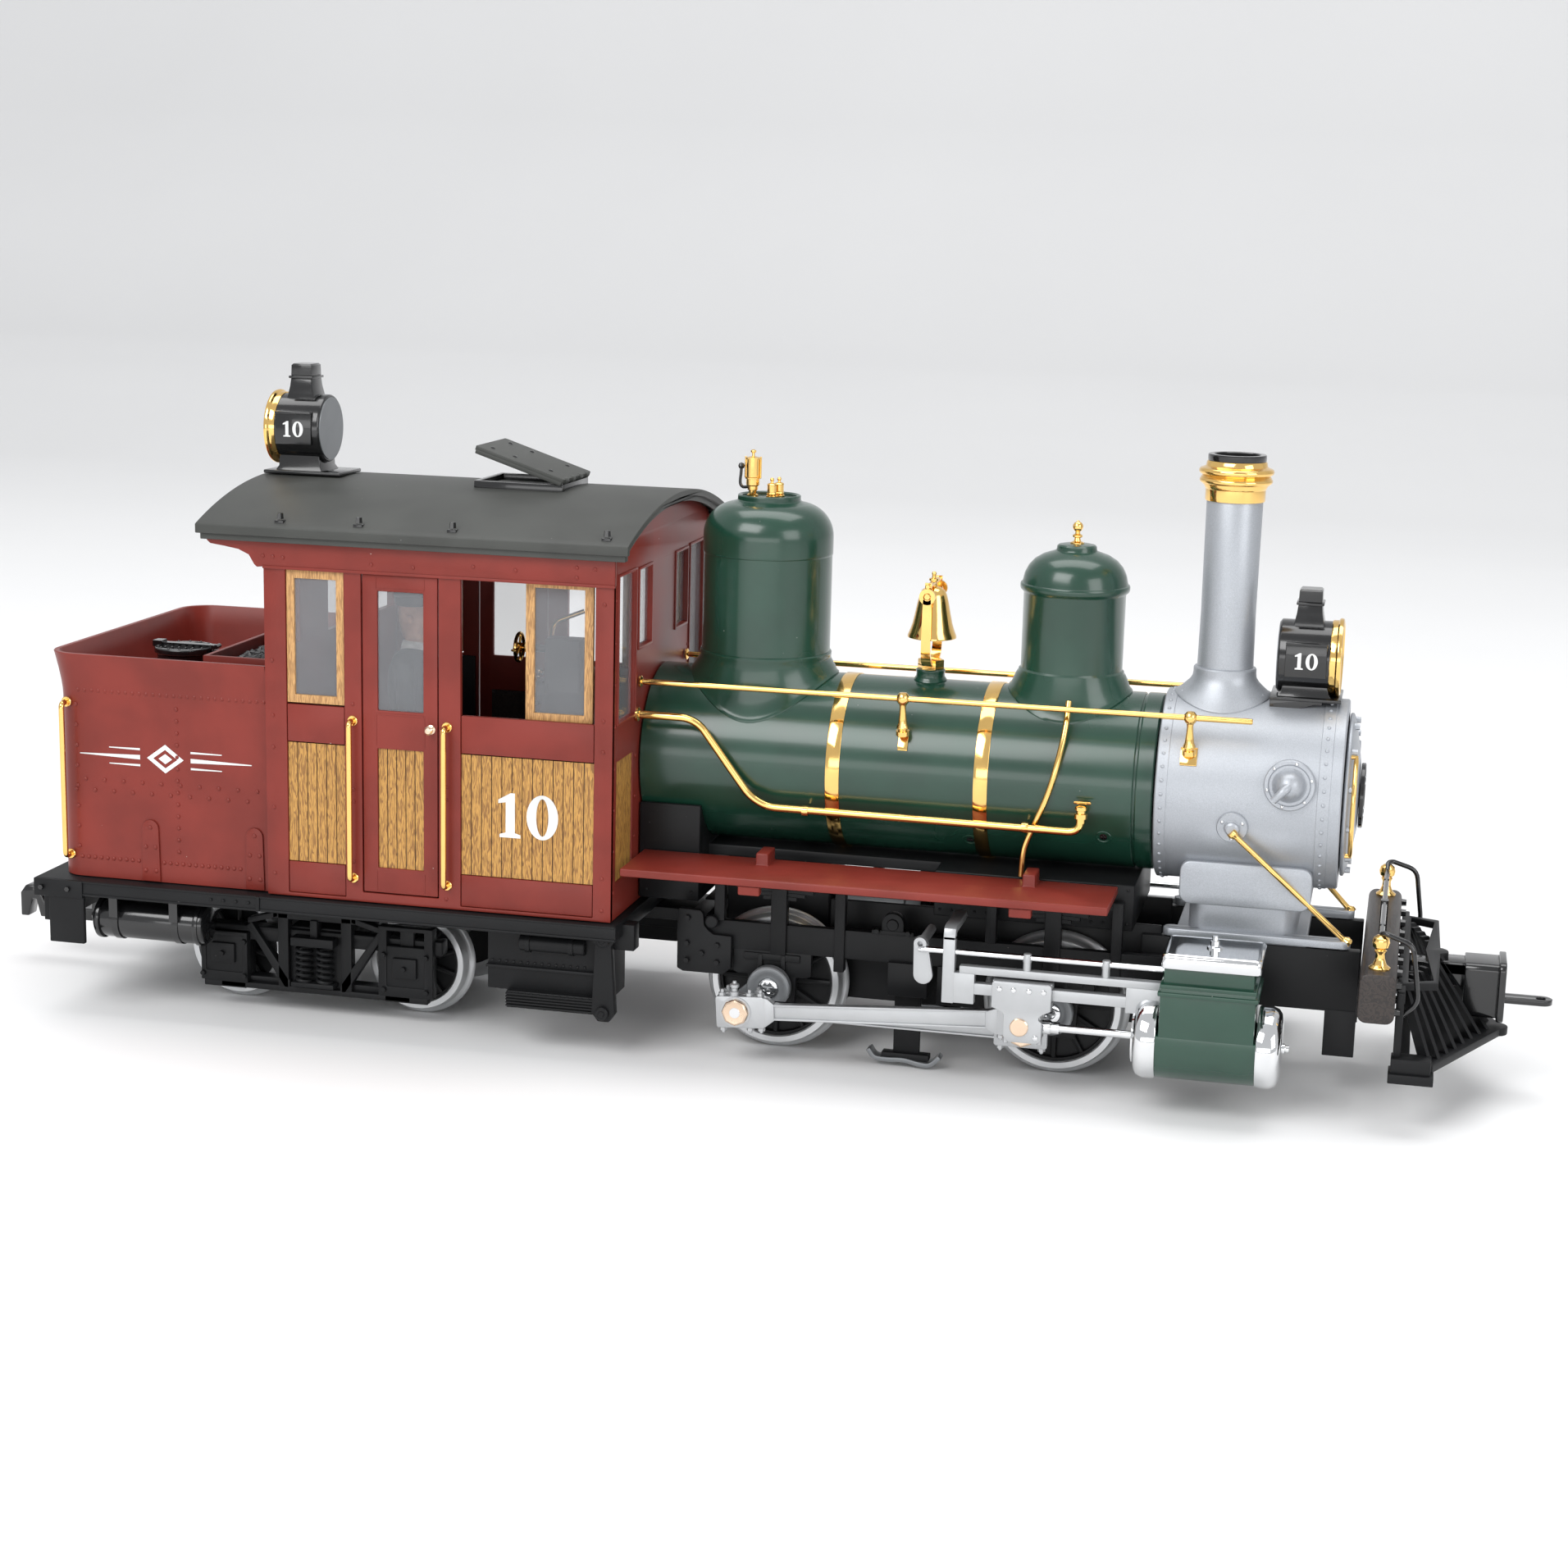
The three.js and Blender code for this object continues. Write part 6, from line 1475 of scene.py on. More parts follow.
def build_stack():
    r = 30.2
    foot = [(14.6, -1.2, 0, 0), (15.3, -0.4, 0, 0), (15.4, 0.4, 0, 0), (15.0, 0.8, 0, 0), (13.8, 1.2, 126.5,
        0.1), (12.2, 2.4, 127.0, 0.4), (10.9, 3.4, 128.0, 0.7), (10.1, 4.0, 129.2, 0.9)]
    wall = [(9.9, 130.4), (9.9, 131.8), (9.6, 132.2), (8.85, 132.4), (8.6, 150), (8.8, 184.9), (8.4, 185.6),
        (7.2, 185.6), (7.2, 140.0), (0, 140.0)]
    finished(mounting(STACK_X, r, foot, wall), "stack_pipe", "silver", replaces=("smokestack",))
    cap = [(8.6, 185.0), (9.3, 185.0), (9.4, 185.3), (9.4, 188.6), (9.6, 188.8), (9.9, 189.6),
        (10.0, 190.0), (10.5, 190.1), *arc_profile(10.4, 191.3, 1.0, -80, 60, 6), (11.0, 192.3),
        (10.6, 192.8), *arc_profile(10.6, 194.2, 1.1, -70, 80, 7), (10.4, 195.4), (9.6, 195.8),
        (9.4, 197.0), (9.1, 197.4), (8.2, 197.4), (7.6, 196.8), (7.6, 186.0), (8.0, 185.2)]
    finished(Form().turned(cap, (STACK_X, 0, 0), sides=64, closed=True), "stack_cap", "brass")
    lip = [(7.1, 190.0), (8.5, 197.2), (9.0, 197.5), (9.1, 197.8), (9.1, 199.2), (8.9, 199.5), (7.4, 199.5),
        (7.1, 199.2)]
    finished(Form().turned(lip, (STACK_X, 0, 0), sides=64, closed=True), "stack_lip", "gloss_black")
    inside = Form().turned([(0, 140.0), (7.15, 140.0), (7.15, 199.0), (6.9, 199.2), (6.8, 141.0),
        (0, 141.0)], (STACK_X, 0, 0), sides=48)
    finished(inside, "stack_lining", "black")
    heads = [((STACK_X + 13.6 * math.cos(a), 13.6 * math.sin(a), skin_height(13.6 * math.sin(a), r) + 1.1),
        (0, 13.6 * math.sin(a), r)) for a in (2 * math.pi * (i + 0.5) / 8 for i in range(8))]
    studs("round", "stack_bolts", heads, 0.6, 0.5, "silver")


def tapered(form, x, levels, y=0.0):
    """An upright post of rectangular section, each level a (half length, half width, height)."""
    return form.rings([[(x - a, y - b, z), (x + a, y - b, z), (x + a, y + b, z), (x - a, y + b, z)] for a,
        b, z in levels])


def build_lamp(name, middle, z, r, facing, half, base):
    """An oil headlamp: round case, number boards, chimney, brass rim and glass."""
    back, front = middle - facing * half, middle + facing * half
    case = [(0, 0), (r - 0.5, 0), (r, 0.4), (r, 2 * half - 0.5), (r - 0.5, 2 * half), (r - 1.4, 2 * half),
        (r - 1.6, half * 1.6), (0, half * 1.2)]
    body = Form().turned([(q, facing * h) for q, h in case], (back, 0, z), "x", 64)
    for s in (-1, 1):
        y0, y1 = sorted((s * (r - 2.5), s * (r + 0.75)))
        board = rectangle(middle - 6.4, middle + 6.4, z - 4.9, z + 5.9)
        body.plate("y", y0, y1, board)
        y2, y3 = sorted((s * (r + 0.2), s * (r + 1.15)))
        body.block(middle - 6.4, middle + 6.4, y2, y3, z + 5.2, z + 6.1)
    tapered(body, middle, [(5.0, 5.6, z + r - 2.6), (4.4, 5.0, z + r + 0.6), (4.0, 4.6, z + r + 2.6),
        (3.7, 4.3, z + r + 5.4)])
    tapered(body, middle, [(4.3, 5.0, z + r + 5.2), (4.3, 5.0, z + r + 6.1)])
    tapered(body, middle, [(3.7, 4.3, z + r + 6.0), (3.6, 4.2, z + r + 9.6), (3.1, 3.7, z + r + 10.1)])
    x0, x1, y_half, low = base
    tapered(body, (x0 + x1) / 2, [((x1 - x0) / 2, y_half, low), ((x1 - x0) / 2, y_half, low + 1.2)])
    tapered(body, middle, [(8.4, y_half - 2.0, low + 1.0), (7.4, y_half - 2.8, low + 2.6),
        (7.0, y_half - 2.6, z - r + 3.4)])
    body.soften(0.3, 50)
    finished(body, f"{name}_case", "gloss_black", replaces=(name,))
    rim = [(r - 1.0, -1.6), (r + 0.2, -1.6), (r + 0.4, -1.2), (r + 0.4, 0.2), (r + 1.0, 0.7),
        (r + 1.1, 1.2), (r + 0.9, 1.8), (r + 0.2, 2.1), (r - 0.2, 2.1), (r - 0.5, 1.7), (r - 0.9, 1.5),
        (r - 1.3, 0.4)]
    finished(Form().turned([(q, facing * h) for q, h in rim], (front, 0, z), "x", 64, closed=True),
        f"{name}_rim", "brass")
    glass = [(0, 0.2), (r - 1.0, 0.2), (r - 1.0, 0.8), (r - 4, 1.4), (r - 8, 1.7), (0, 1.8)]
    finished(Form().turned([(q, facing * h) for q, h in glass], (front, 0, z), "x", 48), f"{name}_glass",
        "lens")
    disc = [(0, 0), (r - 0.9, 0), (r - 0.9, -0.3), (0, -0.35)]
    finished(Form().turned([(q, facing * h) for q, h in disc], (back, 0, z), "x", 48), f"{name}_back",
        "hub")
    for s, side in ((-1, "right"), (1, "left")):
        figures = Form()
        height = 5.2
        for outline, holes in numeral_outlines(height):
            mirror = (lambda u: 2 * 0.74 * height - u) if s > 0 else (lambda u: u)
            y0, y1 = sorted((s * (r + 0.7), s * (r + 0.95)))
            figures.plate("y", y0, y1, [(middle - 3.7 + mirror(u), z - 2.3 + v) for u, v in outline],
                [[(middle - 3.7 + mirror(u), z - 2.3 + v) for u, v in h] for h in holes])
        finished(figures, f"{name}_number_{side}", "cream")


def build_lamps():
    build_lamp("front_headlamp", 210.8, 137.0, 11.6, 1, 8.8, (200.2, 222.4, 10.6, 124.2))
    brackets = Form()
    for y in (-9.5, 9.5):
        brackets.plate("y", y - 0.7, y + 0.7, [(200.4, 119.6), (203.4, 119.6), (217.5, 124.6),
            (200.4, 124.6)])
    brackets.block(204.5, 216.5, -7.4, 7.4, 121.8, 124.6)
    finished(brackets.soften(0.25), "front_lamp_brackets", "gloss_black")
    build_lamp("rear_headlamp", -125.6, 194.3, 11.3, -1, 8.6, (-137.4, -110.0, 9.5, 179.2))


# ---- Wheels ----

AXLE_Z = 23.8
REAR_X, FRONT_X = 47.5, 139.5
TRUCK_XS = (-76.5, -141.5)
TRUCK_Z = 19.0
CRANK_THROW = 9.8
CRANK_ANGLE = {"right": 215.0, "left": 305.0}
WRIST = {"right": 132.3, "left": 145.77}
PIN_RADIUS = 4.4
WHEEL_FACES = (21.5, 27.5)
DRIVER = (21.8, 23.8)
TRUCK_WHEEL = (17.0, 19.0)


def crank_at(side):
    a = math.radians(CRANK_ANGLE[side])
    return CRANK_THROW * math.cos(a), CRANK_THROW * math.sin(a)


def tyre(form, x, z, tread, flange, inner, outer):
    """The steel tyre of one wheel, on the y < 0 side."""
    inside = tread - 2.9
    profile = [(inside, inner), (flange - 0.9, inner), (flange - 0.2, inner + 0.3), (flange, inner + 0.8),
        (flange - 0.2, inner + 1.3), (flange - 1.0, inner + 1.8), (tread + 0.3, inner + 2.2),
        (tread, inner + 2.7), (tread - 0.3, outer - 0.5), (tread - 0.7, outer), (inside + 0.4, outer),
        (inside, outer - 0.4)]
    return form.turned([(r, -y) for r, y in profile], (x, 0, z), "y", 96, closed=True)


def build_wheelset(x, z, tread, flange, body, node, spokes_each):
    """Tyres, dark spoked centres and the axle; the drivers' hubs and cranks are built apart by build_cranks.
    """
    inner, outer = WHEEL_FACES
    tyres, centres = Form(), Form()
    for s in (-1, 1):
        one, disc = Form(), Form()
        tyre(one, x, z, tread, flange, inner, outer)
        inside = tread - 2.9
        disc.turned([(q, -y) for q, y in [(0, inner + 1.0), (inside + 0.2, inner + 1.0), (inside + 0.2,
            outer - 1.4), (inside - 0.9, outer - 1.4), (inside - 1.0, inner + 2.4), (6.4, inner + 2.4),
            (6.2, outer - 0.6), (5.6, outer - 0.2), (3.4, outer - 0.2), (3.2, outer - 0.8),
            (0, outer - 0.8)]], (x, 0, z), "y", 72)
        for target, source in ((tyres, one), (centres, disc)):
            for v in source.mesh.verts:
                v.co.y *= -s if s > 0 else 1
            data = bpy.data.meshes.new("part")
            source.mesh.to_mesh(data)
            target.mesh.from_mesh(data)
            bpy.data.meshes.remove(data)
    finished(tyres, f"{node}_tyres", "tyre", body, (node,), smooth=40)
    finished(centres, f"{node}_centres", "black", body, smooth=40)
    for s, side in ((-1, "right"), (1, "left")):
        grown("spokes", f"{node}_spokes_{side}", "black", body, {"Count": spokes_each,
            "Reach": (tread - 3.4) * MM, "Width": 1.25 * MM, "Centre": world(x, s * (outer - 2.6), z)})
    axle = Form().rod("y", 2.5, -28.6, 28.6, (x, z), 28)
    finished(axle, f"{node}_axle", "hub", body)


def build_cranks(x, body, label, pin_y, disc_radius):
    """The parts outside the frames: grey hub disc, crank web, pin and its brass disc."""
    for side, way in SIDES:
        dx, dz = crank_at(side)
        flip = way > 0
        hub = Form().turned([(q, -y) for q, y in [(0, 28.4), (2.5, 28.4), (2.5, 34.4), (6.8, 34.4),
            (7.15, 34.8), (7.15, 37.4), (6.8, 37.8), (5.6, 37.9), (4.8, 37.4), (3.4, 37.2), (0, 37.2)]],
            (x, 0, AXLE_Z), "y", 48)
        a = math.atan2(dz, dx)
        web = [*circle(x, AXLE_Z, 5.4, 12, a + math.pi / 2, math.pi), *circle(x + dx, AXLE_Z + dz, 4.2, 12,
            a - math.pi / 2, math.pi)]
        hub.plate("y", -37.2, -34.5, web)
        finished(hub, f"{label}_hub_{side}", "hub", body, flip=flip, smooth=40)
        screw = Form().turned([(q, -y) for q, y in [(0, 36.8), (3.2, 36.8), (3.3, 37.2), (3.1, 37.8),
            (2.6, 38.0), (1.7, 38.05), (1.5, 37.4), (0, 37.4)]], (x, 0, AXLE_Z), "y", 36)
        screw.block(x - 2.9, x + 2.9, -38.1, -37.0, AXLE_Z - 0.35, AXLE_Z + 0.35)
        finished(screw, f"{label}_screw_{side}", "chrome", body, flip=flip)
        pin = Form().rod("y", 2.0, -pin_y, -36.0, (x + dx, AXLE_Z + dz), 24)
        finished(pin, f"{label}_pin_{side}", "chrome", body, flip=flip)
        r, y = disc_radius, pin_y
        disc = Form().turned([(q, -h) for q, h in [(0, y - 1.5), (r, y - 1.5), (r, y - 0.45),
            (r - 0.2, y - 0.2), (r - 0.7, y), (r - 1.0, y - 0.05), (0, y - 0.05)]],
            (x + dx, 0, AXLE_Z + dz), "y", 8)
        finished(disc, f"{label}_disc_{side}", "rose", body, flip=flip, smooth=20)


def gear_outline(x, z, radius, teeth, depth):
    points = []
    for i in range(teeth):
        for share, out in ((0.0, 0), (0.22, 0), (0.34, 1), (0.6, 1), (0.76, 0)):
            a = 2 * math.pi * (i + share) / teeth
            points.append((x + (radius - depth + depth * out) * math.cos(a),
                z + (radius - depth + depth * out) * math.sin(a)))
    return points


def build_wheels():
    build_wheelset(REAR_X, AXLE_Z, *DRIVER, "rear_drivers", "driver_wheelset_rear", 12)
    build_wheelset(FRONT_X, AXLE_Z, *DRIVER, "front_drivers", "driver_wheelset_front", 12)
    build_cranks(REAR_X, "rear_drivers", "rear_crank", 49.7, PIN_RADIUS)
    build_cranks(FRONT_X, "front_drivers", "front_crank", 44.4, PIN_RADIUS)
    wheel = Form().plate("y", -3, 3, gear_outline(REAR_X, AXLE_Z, 11, 32, 0.9))
    finished(wheel, "worm_wheel", "brass", "rear_drivers", smooth=20)
    for x, body, node in ((TRUCK_XS[0], "truck_front_axle", "truck_wheelset_front"),
            (TRUCK_XS[1], "truck_rear_axle", "truck_wheelset_rear")):
        build_wheelset(x, TRUCK_Z, *TRUCK_WHEEL, body, node, 10)
        stubs = Form().rod("y", 1.9, -33.0, 33.0, (x, TRUCK_Z), 20)
        finished(stubs, f"{node}_stubs", "hub", body)


# ---- Rods, crossheads, guides and cylinders ----


def along_rod(x0, z0, x1, z1):
    """A function from distances along and across a rod to x and z."""
    length = math.hypot(x1 - x0, z1 - z0)
    c, s = (x1 - x0) / length, (z1 - z0) / length
    return length, lambda u, v: (x0 + u * c - v * s, z0 + u * s + v * c)


def bar_shape(spot, u0, u1, v0, v1, chamfer):
    corners = [(u0 + chamfer, v0), (u1 - chamfer, v0), (u1, v0 + chamfer), (u1, v1 - chamfer),
        (u1 - chamfer, v1), (u0 + chamfer, v1), (u0, v1 - chamfer), (u0, v0 + chamfer)]
    return [spot(u, v) for u, v in corners]


def fluted(form, spot, u0, u1, half0, half1, y_face, y_back):
    """A rod's shank with raised edges along the top and bottom."""
    form.plate("y", y_face + 0.55, y_back, [spot(u0, -half0), spot(u1, -half1), spot(u1, half1),
        spot(u0, half0)])
    for s in (-1, 1):
        a0, a1, b0, b1 = s * half0, s * half1, s * (half0 - 0.7), s * (half1 - 0.7)
        form.plate("y", y_face, y_back, [spot(u0, a0), spot(u1, a1), spot(u1, b1), spot(u0, b0)][::s])
    return form


def rod_bolts(form, spot, us, v_low, v_high, y):
    """Bolts through a rod's end: heads above, nuts below."""
    for u in us:
        x, z = spot(u, v_high)
        form.rod("z", 0.62, z - 0.4, z + 2.2, (x, y), 12)
        form.turned([(0, 0.1), (1.25, 0.1), (1.25, 1.0), (0, 1.1)], (x, y, z), "z", 6)
        x, z = spot(u, v_low)
        form.rod("z", 0.62, z - 1.9, z + 0.4, (x, y), 12)
        form.turned([(0, -1.2), (1.25, -1.1), (1.25, -0.1), (0, -0.1)], (x, y, z), "z", 6)
    return form


def build_rods():
    for side, way in SIDES:
        flip = way > 0
        dx, dz = crank_at(side)
        suffix = "r" if way < 0 else "l"
        length, spot = along_rod(REAR_X + dx, AXLE_Z + dz, WRIST[side], AXLE_Z)
        face, back = -48.0, -45.0
        main = Form()
        fluted(main, spot, 11.0, length - 8.0, 2.6, 3.0, face + 0.1, back)
        main.plate("y", face, back, [*bar_shape(spot, -6.6, 9.4, -5.4, 5.0, 0.5)])
        main.plate("y", face, back, [spot(9.2, -5.2), spot(12.6, -2.7), spot(12.6, 2.7), spot(10.6, 4.4),
            spot(9.2, 4.8)])
        main.plate("y", face, back, [spot(length - 12.0, -2.7), spot(length - 9.0, -4.6), spot(length - 8.0,
            -4.8), spot(length - 8.0, 3.8), spot(length - 9.0, 3.6), spot(length - 12.0, 2.7)])
        main.plate("y", face, back, [*bar_shape(spot, length - 8.4, length + 4.4, -4.9, 3.8, 0.5)])
        main.soften(0.22, 30)
        rod_bolts(main, spot, (-4.6, 4.4, 8.0), -5.4, 5.0, -46.5)
        rod_bolts(main, spot, (length - 7.4, length + 3.2), -4.9, 3.0, -46.5)
        x, z = spot(-0.6, 5.0)
        main.turned([(0, -0.2), (1.5, -0.2), (1.5, 1.4), (1.0, 1.7), (1.0, 2.6), (1.5, 2.9), (1.5, 3.8),
            (0.7, 4.2), (0.6, 4.9), (0, 5.0)], (x, -46.5, z), "z", 20)
        finished(main, f"main_rod_shape_{side}", "rod", f"main_rod_{suffix}", (f"main_rod_{side}",),
            flip=flip)
        ring = Form().turned([(PIN_RADIUS - 0.2, -0.3), (PIN_RADIUS + 0.6, -0.3), (PIN_RADIUS + 0.6, 0.2),
            (PIN_RADIUS + 0.3, 0.35), (PIN_RADIUS - 0.2, 0.35)], (REAR_X + dx, face - 0.2, AXLE_Z + dz),
            "y", 40, closed=True)
        finished(ring, f"main_rod_bush_{side}", "rod", f"main_rod_{suffix}", flip=flip)
        length, spot = along_rod(REAR_X + dx, AXLE_Z + dz, FRONT_X + dx, AXLE_Z + dz)
        face, back = -42.8, -40.4
        link = Form()
        fluted(link, spot, 7.6, length - 8.6, 2.5, 2.5, face, back)
        link.plate("y", face, back, [*bar_shape(spot, -6, 8, -4.6, 4.6, 0.6)])
        link.plate("y", face, back, [*bar_shape(spot, length - 9, length + 8, -4.8, 4.8, 0.6)])
        link.soften(0.22, 30)
        rod_bolts(link, spot, (-4.2, 5.8, length - 7.0, length + 6.2), -4.6, 4.6, -41.6)
        finished(link, f"side_rod_shape_{side}", "rod", f"side_rod_{suffix}", (f"side_rod_{side}",),
            flip=flip)
        build_crosshead(side, way, WRIST[side])
        build_guides(side, way)
        build_cylinder(side, way)


def build_crosshead(side, way, x):
    body = "crosshead_r" if way < 0 else "crosshead_l"
    form = Form()
    plate = [(x - 9, 30.2), (x - 9, 38.0), (x - 8.4, 38.6), (x + 9.0, 38.6), (x + 9.6, 38.0),
        (x + 9.6, 30.2), (x + 7.2, 29.0), (x + 6.0, 28.0), (x + 6.0, 27.0), (x + 7.0, 26.4),
        (x + 7.0, 20.6), (x + 5.6, 19.4), (x - 3.4, 19.4), (x - 5.0, 21.2), (x - 5.0, 28.0),
        (x - 5.6, 29.0)][::-1]
    form.plate("y", -57.0, -55.1, plate)
    form.plate("y", -55.2, -50.9, [(x - 5.0, 31.8), (x - 5.0, 21.2), (x - 3.4, 19.4), (x + 5.6, 19.4),
        (x + 7.0, 20.6), (x + 6.0, 31.8)])
    form.block(x - 9, x + 9.6, -55.3, -51.0, 37.1, 38.5)
    form.block(x - 9, x + 9.6, -55.3, -51.0, 30.2, 32.4)
    form.block(x - 9, x + 9.6, -51.2, -50.9, 30.2, 38.5)
    form.soften(0.28, 30)
    for dx, z in ((-4.4, 19.8), (6.2, 20.0)):
        form.rod("z", 0.8, z - 1.6, z + 0.6, (x + dx, -54.2), 12)
    finished(form, f"crosshead_shape_{side}", "rod", body, (f"crosshead_{side}",), flip=way > 0)
    bolts = [((x + d, -57.0, 36.2), (0, -1, 0)) for d in (-6.6, -2.2, 2.6, 7.2)] + [((x + 5.2, -57.0, 21.4),
        (0, -1, 0))]
    if way > 0:
        bolts = [((u, -v, w), (a, -b, c)) for (u, v, w), (a, b, c) in bolts]
    studs("round", f"crosshead_bolts_{side}", bolts, 0.95, 0.5, "chrome", body)
    disc = Form()
    spun(disc, [(0, -0.4), (2.9, -0.4), (2.9, 0.35), (2.6, 0.6), (0, 0.62)], (x, -57.0, AXLE_Z + 0.6),
        (0, -1, 0), 40)
    finished(disc, f"wrist_disc_{side}", "rose", body, flip=way > 0)
    piston = Form().rod("x", 1.25, x + 5.0, x + 45, (-52.0, AXLE_Z), 28)
    piston.turned([(0, x + 6.2), (2.2, x + 6.2), (2.2, x + 9.2), (1.9, x + 9.6), (1.9, x + 12.0),
        (0, x + 12.2)], (0, -52.0, AXLE_Z), "x", 24)
    finished(piston, f"piston_rod_{side}", "chrome", body, flip=way > 0)


GUIDE_FACES = (-54.6, -51.6)


def build_guides(side, way):
    y0, y1 = GUIDE_FACES
    form = Form()
    form.plate("y", y0, y1, [(112.5, 39.4), (176.4, 39.4), (176.4, 41.9), (112.5, 41.9)])
    form.block(110.5, 176.4, y0, y1, 33.0, 36.6)
    form.block(110.6, 117.4, y0 - 0.2, y1 + 0.2, 29.8, 39.6)
    form.block(164.6, 176.5, y0 - 0.2, y1 + 0.2, 31.4, 39.6)
    form.block(107.2, 111.0, y0 - 0.3, y1, 29.6, 51.0)
    form.plate("x", 107.2, 111.0, [(y0 - 0.3, 49.8), (y0 - 0.3, 51.2), (y0 + 0.6, 53.4), (y0 + 2.2, 54.2),
        (-33.0, 54.2), (-33.0, 51.6), (y1 - 0.2, 51.6), (y1, 50.6), (y1, 49.8)][::-1])
    form.soften(0.25, 30)
    for x in (133.5, 158.0):
        form.rod("z", 1.25, 41.6, 45.6, (x, -53.1), 20)
        form.turned([(0, -1.0), (1.4, -1.0), (1.5, 0.4), (1.2, 1.6), (0, 1.7)], (x, -53.1, 45.6), "z", 20)
    finished(form, f"guide_shape_{side}", "rod", replaces=(f"guide_bars_{side}",), flip=way > 0)
    valve = Form().rod("x", 0.95, 100.0, 178.0, (-53.1, 45.9), 24)
    valve.turned([(0, -1.3), (1.0, -1.0), (1.3, 0), (1.0, 1.0), (0, 1.3)], (100.2, -53.1, 46.0), "x", 20)
    finished(valve, f"valve_rod_{side}", "chrome", flip=way > 0)
    rocker = Form()
    lower, upper = circle(100.6, 37.2, 3.1, 16, math.pi, math.pi), circle(99.6, 47.2, 2.3, 12, 0, math.pi)
    rocker.plate("y", -52.0, -50.2, [*lower, *upper])
    rocker.soften(0.3, 30)
    rocker.turned([(0.9, -1.3), (2.0, -1.3), (2.1, 0), (2.0, 1.3), (0.9, 1.3)], (99.7, -52.4, 47.6), "y",
        24, closed=True)
    rocker.rod("y", 1.5, -50.6, -33.0, (99.7, 47.2), 20)
    finished(rocker, f"rocker_{side}", "rod", flip=way > 0)


CYLINDER_Y, CYLINDER_R = -52.0, 12.2


def build_cylinder(side, way):
    y, z, r = CYLINDER_Y, AXLE_Z, CYLINDER_R
    body = Form()
    curve = circle(y, z, r, 33, math.pi, math.pi)
    body.plate("x", 174.8, 205.4, [*curve, (y + r, z + 4.0), (y - r, z + 4.0)])
    body.plate("x", 175.8, 204.6, [(y - r, z + 3.6), (y + r, z + 3.6), (y + r, 44.2), (y - r, 44.2)])
    body.plate("x", 175.0, 205.4, [(y - r - 0.6, 40.6), (y + r + 0.6, 40.6), (y + r + 0.6, 42.0),
        (y - r - 0.6, 42.0)])
    body.plate("x", 175.6, 204.8, [(y - r - 0.3, 43.0), (y + r + 0.3, 43.0), (y + r + 0.3, 44.4),
        (y - r - 0.3, 44.4)])
    body.plate("x", 176.6, 203.8, [(y - r + 0.8, 44.0), (y + r - 0.8, 44.0), (y + r - 0.8, 50.0),
        (y - r + 0.8, 50.0)])
    body.block(179.0, 202.5, -41.0, -22.0, 33.2, 47.0)
    finished(body.soften(0.35, 30), f"cylinder_shape_{side}", "green", replaces=(f"cylinder_{side}",),
        flip=way > 0)
    chrome = Form()
    chrome.turned([(1.9, 167.2), (8.4, 167.2), (8.6, 167.8), (10.6, 168.0), (12.0, 169.0), (12.7, 170.8),
        (12.8, 174.2), (12.5, 174.9), (1.9, 174.9)], (0, y, z), "x", 64, closed=True)
    chrome.turned([(0, 205.3), (12.5, 205.3), (12.8, 206.0), (12.7, 209.4), (12.0, 211.2), (10.6, 212.3),
        (8.6, 212.7), (3.0, 213.0), (0, 213.0)], (0, y, z), "x", 64)
    chrome.turned([(0, 212.8), (1.6, 212.8), (1.6, 213.6), (1.1, 213.8), (1.1, 214.8), (0, 214.9)],
        (0, y, z), "x", 16)
    chrome.rings([[(u, v, h) for u, v in rounded(175.6 + i, 205.8 - i, y - r - 0.2 + i, y + r + 0.2 - i,
        1.6, 5)] for i, h in ((0.2, 49.4), (0.0, 49.7), (0.0, 52.9), (0.35, 53.5), (1.0, 53.9), (1.4, 53.7),
        (2.0, 53.7))])
    chrome.turned([(0, 53.4), (2.4, 53.4), (2.4, 54.2), (1.4, 54.5), (1.4, 56.0), (0.9, 56.2), (0.9, 57.6),
        (0, 57.7)], (190.6, y, 0), "z", 8)
    finished(chrome, f"cylinder_covers_{side}", "chrome", flip=way > 0, smooth=40)


# ---- Frames, springs and drive ----


HEEL_X, CYLINDER_X = 16, 176
FRAME_FACES = (-32.5, -29.5)
FRAME_BAR = (34.5, 44)


